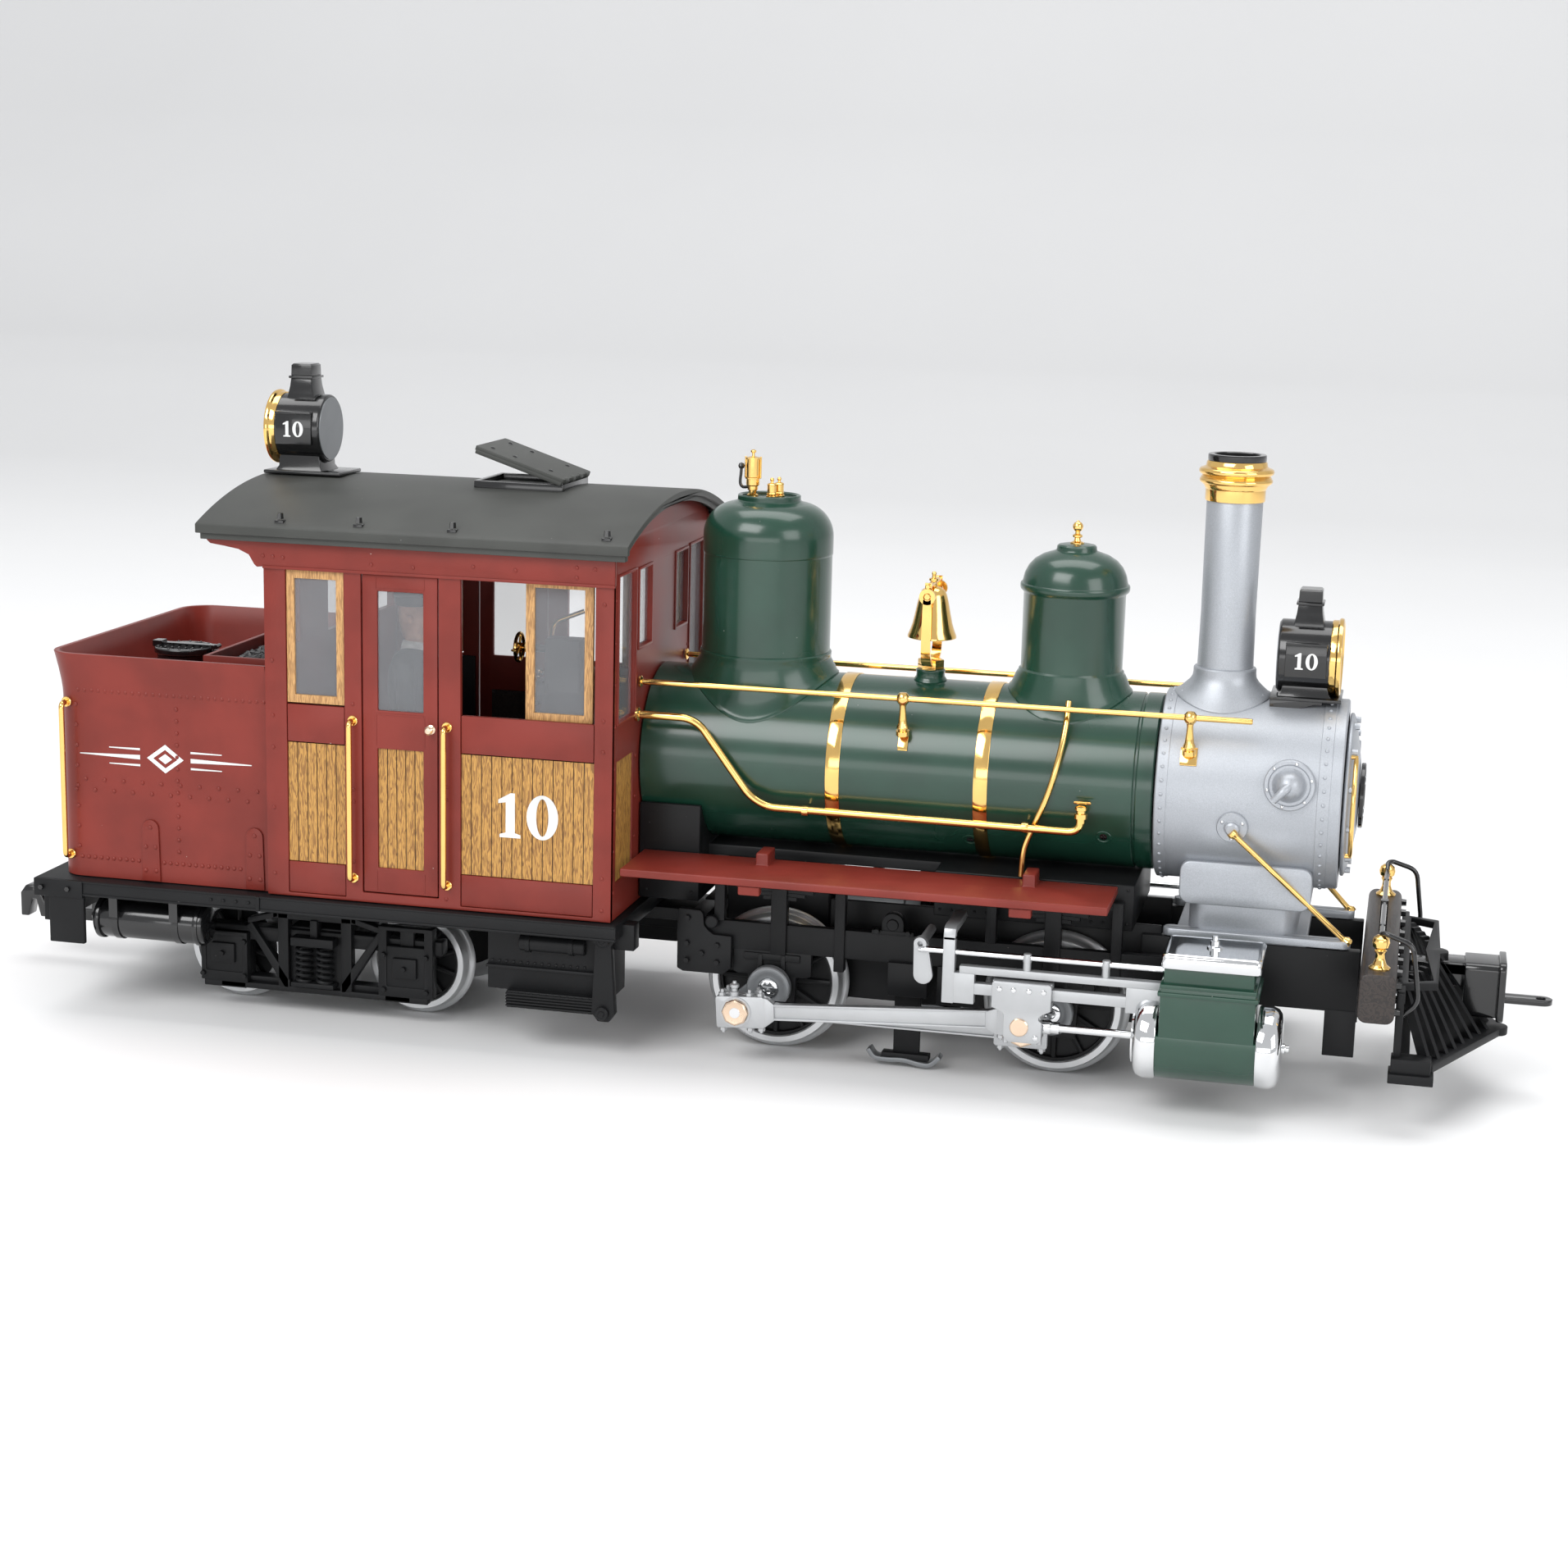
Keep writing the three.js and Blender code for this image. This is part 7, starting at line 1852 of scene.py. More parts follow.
def build_frames():
    for side, way in SIDES:
        flip = way > 0
        o, i = FRAME_FACES
        form = Form()
        form.block(HEEL_X, CYLINDER_X, o, i, *FRAME_BAR)
        for x in (REAR_X, FRONT_X):
            form.plate("y", o, i, [(x - 13, 27.4), (x - 11.4, 26.6), (x - 8, 26.6), (x - 7.5, 14.6),
                (x + 7.5, 14.6), (x + 8, 26.6), (x + 11.4, 26.6), (x + 13, 27.4), (x + 13, 35),
                (x - 13, 35)], [circle(x, AXLE_Z, 3.0, 20)])
            form.block(x - 9.4, x + 9.4, o - 0.9, o + 0.4, 31.8, 34.2)
            form.block(x - 4.6, x - 3.0, o - 1.2, o + 0.4, 27, 34)
            form.block(x + 3.0, x + 4.6, o - 1.2, o + 0.4, 27, 34)
        form.block(165.5, 233.8, -21.5, -17.5, 28, 48)
        form.block(224, 233.8, -21.7, -17.5, 13.5, 28.6)
        form.block(86, 99, -34, -29.5, 24, 35)
        form.block(97, 104, -30.5, -1, 34.5, 42)
        form.block(165.5, 173, -30.5, -1, 34.5, 42)
        form.block(16, 22, -30.5, -1, 34.5, 42)
        form.block(102.0, 107.0, o - 0.7, i, 22.0, 34.8)
        finished(form.soften(0.3, 40), f"frame_shape_{side}", "black", replaces=("main_frame",) if way < 0
            else (), flip=flip)
        heel = Form().plate("y", -34.6, -32.2, [(16, 27.2), (18, 26.2), (31.6, 26.2), (34.2, 28.4),
            (34.2, 39.2), (28.2, 39.4), (26.4, 40.6), (25.0, 42.2), (24.6, 46.0), (23.6, 47.2),
            (16.6, 47.4), (16, 46.6)])
        heel.rod("y", 2.2, -35.0, -32.4, (27.4, 43.6), 24)
        finished(heel.soften(0.35, 40), f"frame_heel_{side}", "black", flip=flip)
        springs(side, way)
        bracket = Form().block(80.2, 94.0, o - 0.7, i, 43.8, 45.2)
        bracket.plate("y", o - 0.5, i, [(83.4, 44.4), (90.6, 44.4), *circle(87.0, 47.4, 3.6, 15, 0,
            math.pi)])
        bracket.soften(0.25, 40)
        bracket.rod("y", 2.0, o - 1.0, i, (87.0, 47.2), 24)
        finished(bracket, f"shaft_bracket_{side}", "black", flip=flip)
    spots = [((x, -34.6, z), (0, -1, 0)) for x, z in ((19.6, 44.6), (19.4, 36.0), (24.4, 33.0),
        (29.6, 36.0), (19.4, 30.2), (29.6, 30.2))]
    spots += [((x, -33.2, 44.9), (0, -1, 0)) for x in (82.0, 92.2)]
    studs("hex", "frame_bolts", both_sides(spots), 1.0, 0.6, "black")
    walls = Form()
    for s in (-1, 1):
        walls.block(63.5, 171.5, *sorted((s * 17.2, s * 18.8)), 17.6, 50.5)
    walls.block(63.5, 171.5, -17.4, 17.4, 17.6, 19.2)
    finished(walls.soften(0.4, 40), "drive_casing", "black")
    middle = Form().block(-194, 18, -11, 11, 36.6, 40.7)
    middle.block(-204, -186, -7, 7, 33.8, 38)
    middle.rod("z", 1.5, 18, 34, (-196.8, 0), 20)
    middle.turned([(0, 16.4), (3.4, 16.4), (3.4, 18.4), (1.5, 18.6), (0, 18.6)], (-196.8, 0, 0), "z", 28)
    finished(middle.soften(0.3, 40), "frame_spine", "black")
    build_drive()


def springs(side, way):
    """Leaf springs with their hangers and buckle over each driving axle."""
    for label, x in (("rear", REAR_X + 2), ("front", FRONT_X - 1)):
        grown("leaves", f"spring_{label}_{side}", "black", "chassis", {"Count": 8, "Centre": world(x,
            way * 31.0, 60.6), "Length": 44 * MM, "Width": 2.7 * MM, "Thickness": 1.15 * MM,
            "Bow": 1.6 * MM})
        form = Form()
        for a in (x - 21.5, x + 18.5):
            form.block(a, a + 3.4, -33.4, -29.6, 30.0 if a > x else 44.0, 60.4)
        form.block(x - 2.6, x + 2.6, -33.6, -29.4, 34.0, 62.2)
        form.block(x - 3.6, x + 3.6, -33.2, -29.6, 60.4, 62.6)
        finished(form.soften(0.3, 40), f"spring_hangers_{label}_{side}", "black", flip=way > 0)


def build_drive():
    softened("gear_case", "black", "chassis", 0.5)
    z = 39.4
    can = Form().turned([(0, 62.2), (9.0, 62.2), (9.4, 63.0), (12.9, 63.2), (13.4, 63.8), (13.4, 86.0),
        (12.6, 86.6), (12.6, 90.6), (12.0, 91.4), (5.4, 91.6), (5.0, 92.0), (2.4, 92.0), (2.2, 91.4),
        (0, 91.4)], (0, 0, z), "x", 56)
    finished(can, "motor_can", "hub", replaces=("motor",), smooth=40)
    brushes = Form()
    for s in (-1, 1):
        brushes.block(86.8, 90.2, *sorted((s * 11.6, s * 13.3)), z - 2.4, z + 2.4)
    finished(brushes.soften(0.2), "motor_brushes", "black")
    shaft = Form().rod("x", 1.5, 27.8, 69.8, (0, z), 20)
    shaft.turned([(0, 38.2), (2.9, 38.2), (3.0, 38.6), (3.0, 55.4), (2.9, 55.8), (0, 55.8)], (0, 0, z), "x",
        28)
    turns, steps = 7, 20
    thread = [(39.2 + 15.6 * i / (turns * steps), 3.0 * math.cos(2 * math.pi * i / steps),
        z + 3.0 * math.sin(2 * math.pi * i / steps)) for i in range(turns * steps + 1)]
    shaft.tube(thread, 0.85, 8)
    finished(shaft, "worm_shape", "brass", "worm", ("worm_shaft",))
    for side, way in SIDES:
        shoe = Form()
        top = eased_path([(80.2, 0, 5.2), (82.4, 0, 2.6), (86.5, 0, 2.2), (92.0, 0, 2.4), (97.0, 0, 1.5),
            (100.6, 0, 1.5), (103.8, 0, 4.4)], 5)
        loops = []
        for k, p in enumerate(top):
            ahead = (top[min(k + 1, len(top) - 1)] - top[max(k - 1, 0)]).normalized()
            up = Vector((-ahead.z, 0, ahead.x)) * 0.75
            loops.append([p + up + Vector((0, -33.4, 0)), p + up + Vector((0, -28.6, 0)),
                p - up + Vector((0, -28.6, 0)), p - up + Vector((0, -33.4, 0))])
        shoe.rings(loops)
        suffix = "r" if way < 0 else "l"
        finished(shoe.soften(0.2, 50), f"shoe_blade_{side}", "hub", f"shoe_{suffix}",
            (f"pickup_shoe_{side}",), flip=way > 0)
        block = Form().block(84.6, 100.2, -33.0, -29.0, 2.6, 4.6)
        block.block(88.2, 96.8, -31.7, -29.9, 3.4, 31.4)
        finished(block.soften(0.3), f"shoe_holder_{side}", "black", f"shoe_{suffix}", flip=way > 0)


# ---- Footplate, truck and front end ----


def build_footplate():
    softened("footplate", "black", "chassis", 0.35)
    for side, way in SIDES:
        flip = way > 0
        form = Form()
        form.block(-199.4, 2.4, -60.35, -59.6, 41.2, 42.0)
        form.block(-199.4, 2.4, -60.35, -59.6, 45.5, 46.2)
        form.block(-120.2, -118.8, -60.7, -59.6, 41.2, 46.2)
        form.block(-199.6, -182.0, -60.6, -59.4, 40.2, 46.2)
        tank = Form().rod("x", 2.8, -31.5, -9.5, (-52.6, 36.6), 28)
        for x in (-28.6, -14.0):
            tank.turned([(2.6, -0.8), (3.2, -0.8), (3.2, 0.8), (2.6, 0.8)], (x, -52.6, 36.6), "x", 28,
                closed=True)
        finished(tank, f"box_tank_{side}", "black", flip=flip)
        form.block(-43.4, -0.4, -52.9, -51.6, 27.2, 28.2)
        form.plate("y", -55.0, -51.6, [(-7.6, 43.0), (-7.6, 40.4), (-5.8, 38.4), (-6.8, 15.6), (-4.6, 12.8),
            (-1.0, 12.8), (1.0, 15.6), (-0.4, 38.4), (1.4, 40.4), (1.4, 43.0)])
        form.block(-2.2, 6.4, -52.0, -46.0, 36.4, 45.0)
        form.soften(0.3, 40)
        for z in (40.2, 15.8):
            form.rod("y", 2.2, -56.6, -54.2, (-3.0, z), 24)
            form.rod("y", 1.0, -57.2, -54.2, (-3.0, z), 16)
        finished(form, f"footplate_trim_{side}", "black", flip=flip)
        grown("slats", f"box_louvres_{side}", "black", "chassis", {"Count": 5, "Start": world(-21.0,
            way * 54.2, 15.4), "Step": (0, 0, 1.0 * MM), "Size": (30 * MM, 1.0 * MM, 0.5 * MM)})
        tanks = Form().turned([(0, -181.4), (4.8, -181.4), (6.2, -180.6), (6.6, -179.6), (6.6, -143.0),
            (6.2, -141.8), (4.8, -141.0), (0, -141.0)], (0, -50, 32), "x", 48)
        for x in (-180.0, -144.6):
            tanks.turned([(6.4, 0), (7.1, 0), (7.2, 0.3), (7.2, 1.3), (7.1, 1.6), (6.4, 1.6)], (x, -50, 32),
                "x", 48, closed=True)
        for x in (-173.6, -152.0):
            tanks.turned([(6.4, 0), (7.0, 0), (7.0, 2.2), (6.4, 2.2)], (x, -50, 32), "x", 48, closed=True)
            tanks.block(x, x + 2.2, -51.6, -44.4, 37.4, 43.6)
            tanks.block(x - 0.4, x + 2.6, -57.6, -56.0, 34.0, 43.6)
        tanks.rod("x", 1.4, -183.6, -181.0, (-50, 32), 16)
        finished(tanks, f"air_tank_shape_{side}", "gloss_black", replaces=(f"air_tank_{side}",), flip=flip)
    rivets = [((x, -52.0, 29.4), (0, -1, 0)) for x in row(-41.4, -10.0, 14)]
    rivets += [((x, -54.0, 19.4), (0, -1, 0)) for x in row(-34.6, -8.0, 12)]
    rivets += [((x, -60.35, 43.8), (0, -1, 0)) for x in (-136, -131.6, -127.2, -122.8)]
    rivets += [((x, -54.0, 44.0), (0, -1, 0)) for x in (-40, -12)]
    studs("round", "footplate_rivets", both_sides(rivets), 0.55, 0.45, "black")
    bolts = [((-187.0, -60.6, 43.4), (0, -1, 0)), ((-196.6, -60.6, 43.4), (0, -1, 0))]
    studs("hex", "footplate_bolts", both_sides(bolts), 1.0, 0.6, "gloss_black")
    softened("rear_coupler", "gloss_black", "coupler", 0.5)


def build_truck():
    softened("truck_frame", "black", "truck", 0.4)
    centre = sum(TRUCK_XS) / 2
    for side, way in SIDES:
        form = Form()
        y0, y1 = -38.2, -34.6
        for x in TRUCK_XS:
            top = 33.6 if x > centre else 27.0
            half = 9.6 if x > centre else 8.4
            form.plate("y", y0 - 0.6, y1, [(x - half, 9.6), (x + half, 9.6), (x + half, top),
                (x - half, top)], [[(x - 6.6, 13.0), (x + 6.6, 13.0), (x + 6.6, top - 1.4),
                (x - 6.6, top - 1.4)]])
            form.block(x - 5.4, x + 5.4, y0 - 0.2, y1, 14.6, 25.4)
            form.block(x - 4.2, x + 4.2, y0 - 1.8, y1, 16.4, 23.2)
            form.block(x - 7.6, x + 7.6, y0, y1, 7.4, 9.8)
            form.block(x - 2.4, x + 2.4, y0 + 1.0, y1, 25.2, top - 1.0)
        for s in (-1, 1):
            form.plate("y", y0, y1, [(centre + s * 22.6, 31.0), (centre + s * 9.0, 11.6), (centre + s * 9.0,
                9.0), (centre + s * 11.0, 9.0), (centre + s * 24.4, 29.6)][::s])
            form.plate("y", y0, y1, [(centre + s * 24.0, 32.4), (centre + s * 13.0, 35.4),
                (centre + s * 13.0, 33.4), (centre + s * 24.0, 30.4)][::s])
            form.block(*sorted((centre + s * 9.4, centre + s * 13.2)), y0, y1, 9.0, 35.0)
        form.block(centre - 15, centre + 15, y0, y1, 33.0, 35.4)
        form.block(centre - 34, centre + 34, y0, y1, 7.6, 9.6)
        form.block(centre - 7.6, centre + 7.6, y0 - 2.6, y1, 10.4, 12.0)
        form.block(centre - 7.6, centre + 7.6, y0 - 2.6, y1, 24.6, 27.6)
        form.block(centre - 1.3, centre + 1.3, y0 - 0.8, y1, 26.6, 33.4)
        finished(form.soften(0.3, 40), f"truck_side_{side}", "black", "truck", flip=way > 0)
        for k in (-1, 1):
            grown("coil", f"truck_spring_{side}_{'front' if k > 0 else 'rear'}", "black", "truck",
                {"Turns": 6.0, "Radius": 2.4 * MM, "Height": 12.2 * MM, "Wire": 0.62 * MM,
                "Centre": world(centre + k * 3.7, way * 38.4, 12.2)})
    heads = [((x + d, -38.8, z), (0, -1, 0)) for x in TRUCK_XS for d in (-7.5, 7.5) for z in (12.0, 24.0)]
    heads += [((x, -40.0, 19.8), (0, -1, 0)) for x in TRUCK_XS]
    studs("hex", "truck_bolts", both_sides(heads), 0.95, 0.6, "black", "truck")


def build_front_end():
    saddle = Form().plate("y", -25, 25, rounded(176.6, 217.6, 60.2, 74, 3.4, 6))
    saddle.plate("z", 50.4, 61, rounded(179.5, 213.6, -20, 20, 5.5, 7))
    for s in (-1, 1):
        saddle.plate("z", 48.4, 51.0, rounded(172, 230.6, *sorted((s * 16.8, s * 22.4)), 2.6, 6))
    saddle.block(176, 217, -21, 21, 47.4, 50.6)
    finished(saddle.soften(0.5, 40), "saddle_shape", "silver", replaces=("saddle",), smooth=45)
    for side in ("right", "left"):
        softened(f"running_board_{side}", "red", "chassis", 0.45)
    outline = [(x, z) for x, z in rounded(234.4, 245.4, 35.0, 50.3, 2.6, 6)]
    finished(Form().plate("y", -55, 55, outline).soften(0.5, 50), "front_beam_log", "beam",
        replaces=("front_beam",), smooth=50)
    posts, wire = Form(), Form()
    for s in (-1, 1):
        posts.turned([(0, 50.0), (3.2, 50.0), (3.3, 50.8), (2.2, 51.6), (1.5, 53.4), (1.4, 55.0),
            (1.9, 56.0), (1.6, 56.4), (2.4, 57.2), (2.7, 58.6), (2.3, 60.0), (1.3, 60.8), (0, 61.0)],
            (240.0, s * 47, 0), sides=32)
        wire.tube(bent_path([(240.0, s * 44, 59.2), (240.0, s * 47, 61.4), (241.5, s * 48.4, 61.6),
            (249.6, s * 49.4, 59.0), (252.2, s * 49.4, 41.0), (247.6, s * 49.0, 36.6)], 3.0, 5), 0.8, 12)
    wire.rod("y", 0.8, -45, 45, (240.0, 59.2), 16)
    wire.block(238.8, 241.2, -1.4, 1.4, 50.0, 60.2)
    for y in (-30, 30):
        wire.block(239.2, 240.8, y - 0.8, y + 0.8, 50.0, 60.0)
    finished(posts, "marker_posts", "brass")
    finished(wire, "uncoupling_lever", "gloss_black")
    heads = [((245.4, s * y, z), (1, 0, 0)) for s in (-1, 1) for y in (10, 24, 38, 52) for z in (38.4,
        46.8)]
    studs("hex", "beam_bolts", heads, 1.3, 0.8, "gloss_black")
    build_pilot()
    pocket = Form().plate("x", 266.2, 277.6, rounded(-8, 8, 26, 43.6, 2.2, 6),
        [rectangle(-6, 6, 28.6, 33.8)])
    pocket.plate("x", 276.8, 279.0, rounded(-9.4, 9.4, 25.0, 44.6, 2.8, 6), [rectangle(-6, 6, 28.6, 33.8)])
    pocket.block(258.0, 267.0, -4.6, 4.6, 35.0, 43.0)
    pocket.block(248.0, 267.0, -4.6, 4.6, 38.6, 42.4)
    pocket.rod("z", 1.2, 27, 42.6, (271.5, 0), 16)
    finished(pocket.soften(0.35, 50), "coupler_pocket_shape", "gloss_black", replaces=("coupler_pocket",),
        smooth=50)
    bar = Form().plate("z", 30.3, 32.1, rounded(268.6, 294.0, -3.3, 3.3, 3.2, 8),
        [circle(271.5, 0, 1.6, 18), circle(290.4, 0, 1.5, 18)])
    finished(bar.soften(0.3, 50), "front_drawbar_shape", "gloss_black", "drawbar", ("front_drawbar",),
        smooth=50)


PILOT_REAR, PILOT_NOSE, PILOT_HALF, PILOT_LOW = 245.9, 281.0, 53.0, 19.4


def build_pilot():
    rear, nose, half, low = PILOT_REAR, PILOT_NOSE, PILOT_HALF, PILOT_LOW
    corner = rear + 12

    def deck(form, wide, tip, z0, z1, rim):
        nose_round = circle(tip - 4.0, 0, 4.0, 9, -math.pi / 2.6, 2 * math.pi / 2.6)
        outer = [(rear, -wide), (corner, 4 - wide), *nose_round, (corner, wide - 4), (rear, wide)]
        inner = [(rear + rim, rim - wide), (corner - 1.5, 4 + rim - wide), (tip - rim * 2.4, 0),
            (corner - 1.5, wide - 4 - rim), (rear + rim, wide - rim)]
        return form.plate("z", z0, z1, outer, [inner])

    form = Form()
    deck(form, half, nose, low, low + 2.6, 5.0)
    deck(form, 43, 261.0, 42.6, 45.0, 3.0)
    for y in (-50, -36, -22, -8, 8, 22, 36, 50):
        form.block(rear, rear + 2.2, y - 1.5, y + 1.5, 20, 44)
    form.block(rear, rear + 2.4, -50, 50, 40.5, 44.5)
    for s in (-1, 1):
        form.block(rear - 1.2, corner + 0.4, *sorted((s * 45.4, s * 54.6)), 16.6, 19.6)
        form.block(rear - 0.6, corner - 0.6, *sorted((s * 46.4, s * 53.6)), 19.4, 24.2)
    form.soften(0.3, 40)
    count = 8
    for s in (-1, 1):
        for k in range(count):
            t = k / (count - 0.4)
            foot = Vector((corner - 2 + (nose - 6 - corner + 2) * t, s * (half - 6) * (1 - t), low + 2.0))
            head = Vector((rear + 1.6 + (258.5 - rear - 1.6) * t, s * 40 * (1 - t), 44.4))
            out = Vector(((half - 6) * 0.55, s * (nose - corner), 0)).normalized()
            wide, thick = out * 1.9, Vector((-out.y, out.x, 0)) * 0.7
            loops = [[p - wide * w - thick, p + wide * w - thick, p + wide * w + thick,
                p - wide * w + thick] for p, w in ((foot, 1.15), (foot.lerp(head, 0.5), 1.0), (head, 0.75))]
            form.rings(loops)
    finished(form, "pilot_shape", "black", replaces=("pilot",))


# ---- Inside the cab ----


def build_cab_inside():
    form = softened("backhead", "black", "chassis", 0.5)
    ring = Form()
    gauges = Form()
    for y in (-13, 13):
        ring.turned([(3.9, -39.8), (4.6, -39.8), (4.8, -39.4), (4.8, -38.4), (3.9, -38.4)], (0, y, 112),
            "x", 32, closed=True)
        gauges.turned([(0, -39.0), (4.0, -39.0), (4.0, -39.3), (0, -39.35)], (0, y, 112), "x", 32)
    for y, z in ((-6, 96), (6, 96), (0, 104)):
        ring.turned([(0, -36.2), (1.2, -36.2), (1.2, -38.6), (0.7, -39.0), (0.7, -41.0), (2.2, -41.2),
            (2.2, -41.8), (0, -42.0)], (0, y, z), "x", 20)
    ring.tube(bent_path([(-37, -18, 78), (-41, -18, 78), (-41, -18, 100), (-37, -18, 100)], 2, 5), 0.7, 12)
    ring.tube(bent_path([(-36, 0, 118), (-40, 0, 122), (-40, 6, 132), (-30, 9, 136)], 3, 5), 0.8, 12)
    finished(ring, "backhead_fittings", "brass")
    finished(gauges, "gauge_faces", "gauge")
    fire = Form().turned([(0, -36.0), (8.4, -36.0), (8.8, -36.6), (8.6, -37.8), (7.0, -38.2), (0, -38.4)],
        (0, 0, 74), "x", 40)
    fire.block(-38.6, -36.6, -11.6, -6.0, 72.4, 75.6)
    finished(fire.soften(0.2, 60), "fire_door", "gloss_black")
    spots = [((-36.0, 22.6 * math.cos(a), 93.6 + 22.6 * math.sin(a)), (-1, 0, 0)) for a in row(0, math.pi,
        13)]
    spots += [((-36.0, s * 22.6, z), (-1, 0, 0)) for s in (-1, 1) for z in row(56, 90, 6)]
    studs("round", "backhead_rivets", spots, 0.7, 0.5, "black")
    x, y, z = THROTTLE_AT
    wheel = Form().turned([(0, -1.2), (1.5, -1.2), (1.5, 2.2), (0, 2.3)], (x, y, z), "x", 24)
    rim = [(x, y + 4.6 * math.cos(a), z + 4.6 * math.sin(a)) for a in row(0, 2 * math.pi, 41)[:-1]]
    loops = []
    for px, py, pz in rim:
        out = Vector((0, py - y, pz - z)).normalized()
        loops.append([Vector((px, py, pz)) + (out * math.cos(b) + Vector((1, 0, 0)) * math.sin(b)) * 0.62
            for b in row(0, 2 * math.pi, 11)[:-1]])
    wheel.rings(loops, closed=True)
    for k in range(5):
        a = 2 * math.pi * k / 5
        wheel.tube([(x, y, z), (x, y + 4.5 * math.cos(a), z + 4.5 * math.sin(a))], 0.45, 10)
    wheel.rod("y", 0.45, -19.5, -17.0, (x - 0.0, z), 10)
    finished(wheel, "throttle_wheel_shape", "brass", "throttle", ("throttle_wheel",))
    build_driver()
    return form


DRIVER_AT = (-76.0, -30.0, 46.8)
THROTTLE_AT = (-46.0, -12.0, 126.0)


def build_driver():
    """A plain standing figure in a coat and a visored cap."""
    x, y, floor = DRIVER_AT
    coat = Form()
    body = [(0, 40), (8.2, 40), (9.4, 46), (9.6, 56), (10.4, 66), (10.2, 73), (8.2, 77.6), (4.2, 80.4),
        (0, 80.6)]
    coat.rings([[(x + r * 0.82 * math.cos(a), y + r * 1.08 * math.sin(a), floor + h) for a in row(0,
        2 * math.pi, 29)[:-1]] for r, h in ((max(r, 0.05), h) for r, h in body)])
    for s in (-1, 1):
        coat.tube(eased_path([(x - 0.5, y + s * 4.4, floor + 0.5), (x, y + s * 4.8, floor + 22),
            (x, y + s * 4.4, floor + 42)], 5), 4.2, 18)
        arm = eased_path([(x, y + s * 9.4, floor + 75), (x + 1.4, y + s * 12.6, floor + 66),
            (x + 3.0, y + s * 12.4, floor + 59), (x + 9.0, y + s * 10.4, floor + 55),
            (x + 12.6, y + s * 9.0, floor + 54)], 5)
        coat.tube(arm, [3.3 - 0.9 * i / len(arm) for i in range(len(arm))], 16)
        coat.tube([(x - 3.4, y + s * 4.4, floor + 1.6), (x + 5.4, y + s * 4.8, floor + 1.4)], [3.2, 2.4],
            14)
    cap = [(5.9, 94.2), (6.3, 94.6), (6.5, 96.4), (7.0, 97.4), (6.6, 98.2), (4.0, 98.9), (0, 99.0),
        (0, 94.0)]
    coat.turned([(r, floor + h) for r, h in cap], (x, y, 0), sides=32)
    coat.rings([[(x + 3.0 + c * 6.6, y + s * 4.6, floor + 94.5 - max(c, 0) * 0.8 + t) for c,
        s in ((math.cos(a), math.sin(a)) for a in row(-math.pi / 2, math.pi / 2, 15))] for t in (0.0, 0.6)])
    finished(coat, "driver_coat_shape", "cloth", replaces=("driver_figure",), smooth=50)
    collar = Form().turned([(0, floor + 78), (4.9, floor + 78.2), (4.4, floor + 81.0), (3.8, floor + 82.6),
        (0, floor + 82.6)], (x, y, 0), sides=28)
    collar.plate("y", y - 2.6, y + 2.6, [(x + 6.6, floor + 66), (x + 8.7, floor + 67),
        (x + 6.8, floor + 77), (x + 4.4, floor + 79.6)])
    finished(collar.soften(0.3, 50), "driver_collar", "shirt", smooth=50)
    face = Form()
    head = [(0, 80.6), (3.2, 81.2), (3.9, 83.0), (5.0, 85.6), (5.7, 89.0), (5.9, 92.4), (5.8, 95.0),
        (0, 95.4)]
    face.rings([[(x + 0.6 + r * 1.02 * math.cos(a), y + r * 0.92 * math.sin(a), floor + h) for a in row(0,
        2 * math.pi, 29)[:-1]] for r, h in ((max(r, 0.05), h) for r, h in head)])
    face.tube([(x + 6.0, y, floor + 91.2), (x + 7.4, y, floor + 88.8), (x + 6.6, y, floor + 87.6)],
        [0.6, 1.0, 0.8], 10)
    for s in (-1, 1):
        face.turned([(0, -1.6), (1.0, -1.2), (1.3, 0), (1.0, 1.2), (0, 1.6)], (x + 0.4, y + s * 5.3,
            floor + 90), "z", 14)
        face.turned([(0, -1.9), (1.5, -1.4), (2.1, 0), (1.6, 1.4), (0, 2.0)], (x + 14.2, y + s * 8.6,
            floor + 53.8), "x", 16)
    finished(face, "driver_head", "skin", smooth=50)


# ---- Stage ----

CAMERA_EYE = (0.21384, -0.87786, 0.27855)
CAMERA_YAW = 0.2243007
CAMERA_PITCH = 0.2133667
CAMERA_ROLL = 0.0253890


def aim_camera(lens):
    """The viewpoint, as an eye with its yaw to the left, its pitch down and a slight roll."""
    look = Vector((-math.sin(CAMERA_YAW) * math.cos(CAMERA_PITCH),
        math.cos(CAMERA_YAW) * math.cos(CAMERA_PITCH), -math.sin(CAMERA_PITCH)))
    right = look.cross(Vector((0, 0, 1))).normalized()
    up = right.cross(look)
    across = right * math.cos(CAMERA_ROLL) + up * math.sin(CAMERA_ROLL)
    above = up * math.cos(CAMERA_ROLL) - right * math.sin(CAMERA_ROLL)
    data = bpy.data.cameras.new("view")
    data.lens = lens
    data.clip_start = 0.01
    camera = bpy.data.objects.new("view", data)
    bpy.context.scene.collection.objects.link(camera)
    turn = Matrix((across, above, -look)).transposed().to_4x4()
    camera.matrix_world = Matrix.Translation(CAMERA_EYE) @ turn
    bpy.context.scene.camera = camera


def soft_light(name, place, aim, size, power):
    """A large rectangular light that faces a point."""
    data = bpy.data.lights.new(name, "AREA")
    data.shape = "RECTANGLE"
    data.size, data.size_y = size
    data.energy = power
    light = bpy.data.objects.new(name, data)
    bpy.context.scene.collection.objects.link(light)
    light.location = place
    light.rotation_euler = (Vector(aim) - Vector(place)).to_track_quat("-Z", "Y").to_euler()


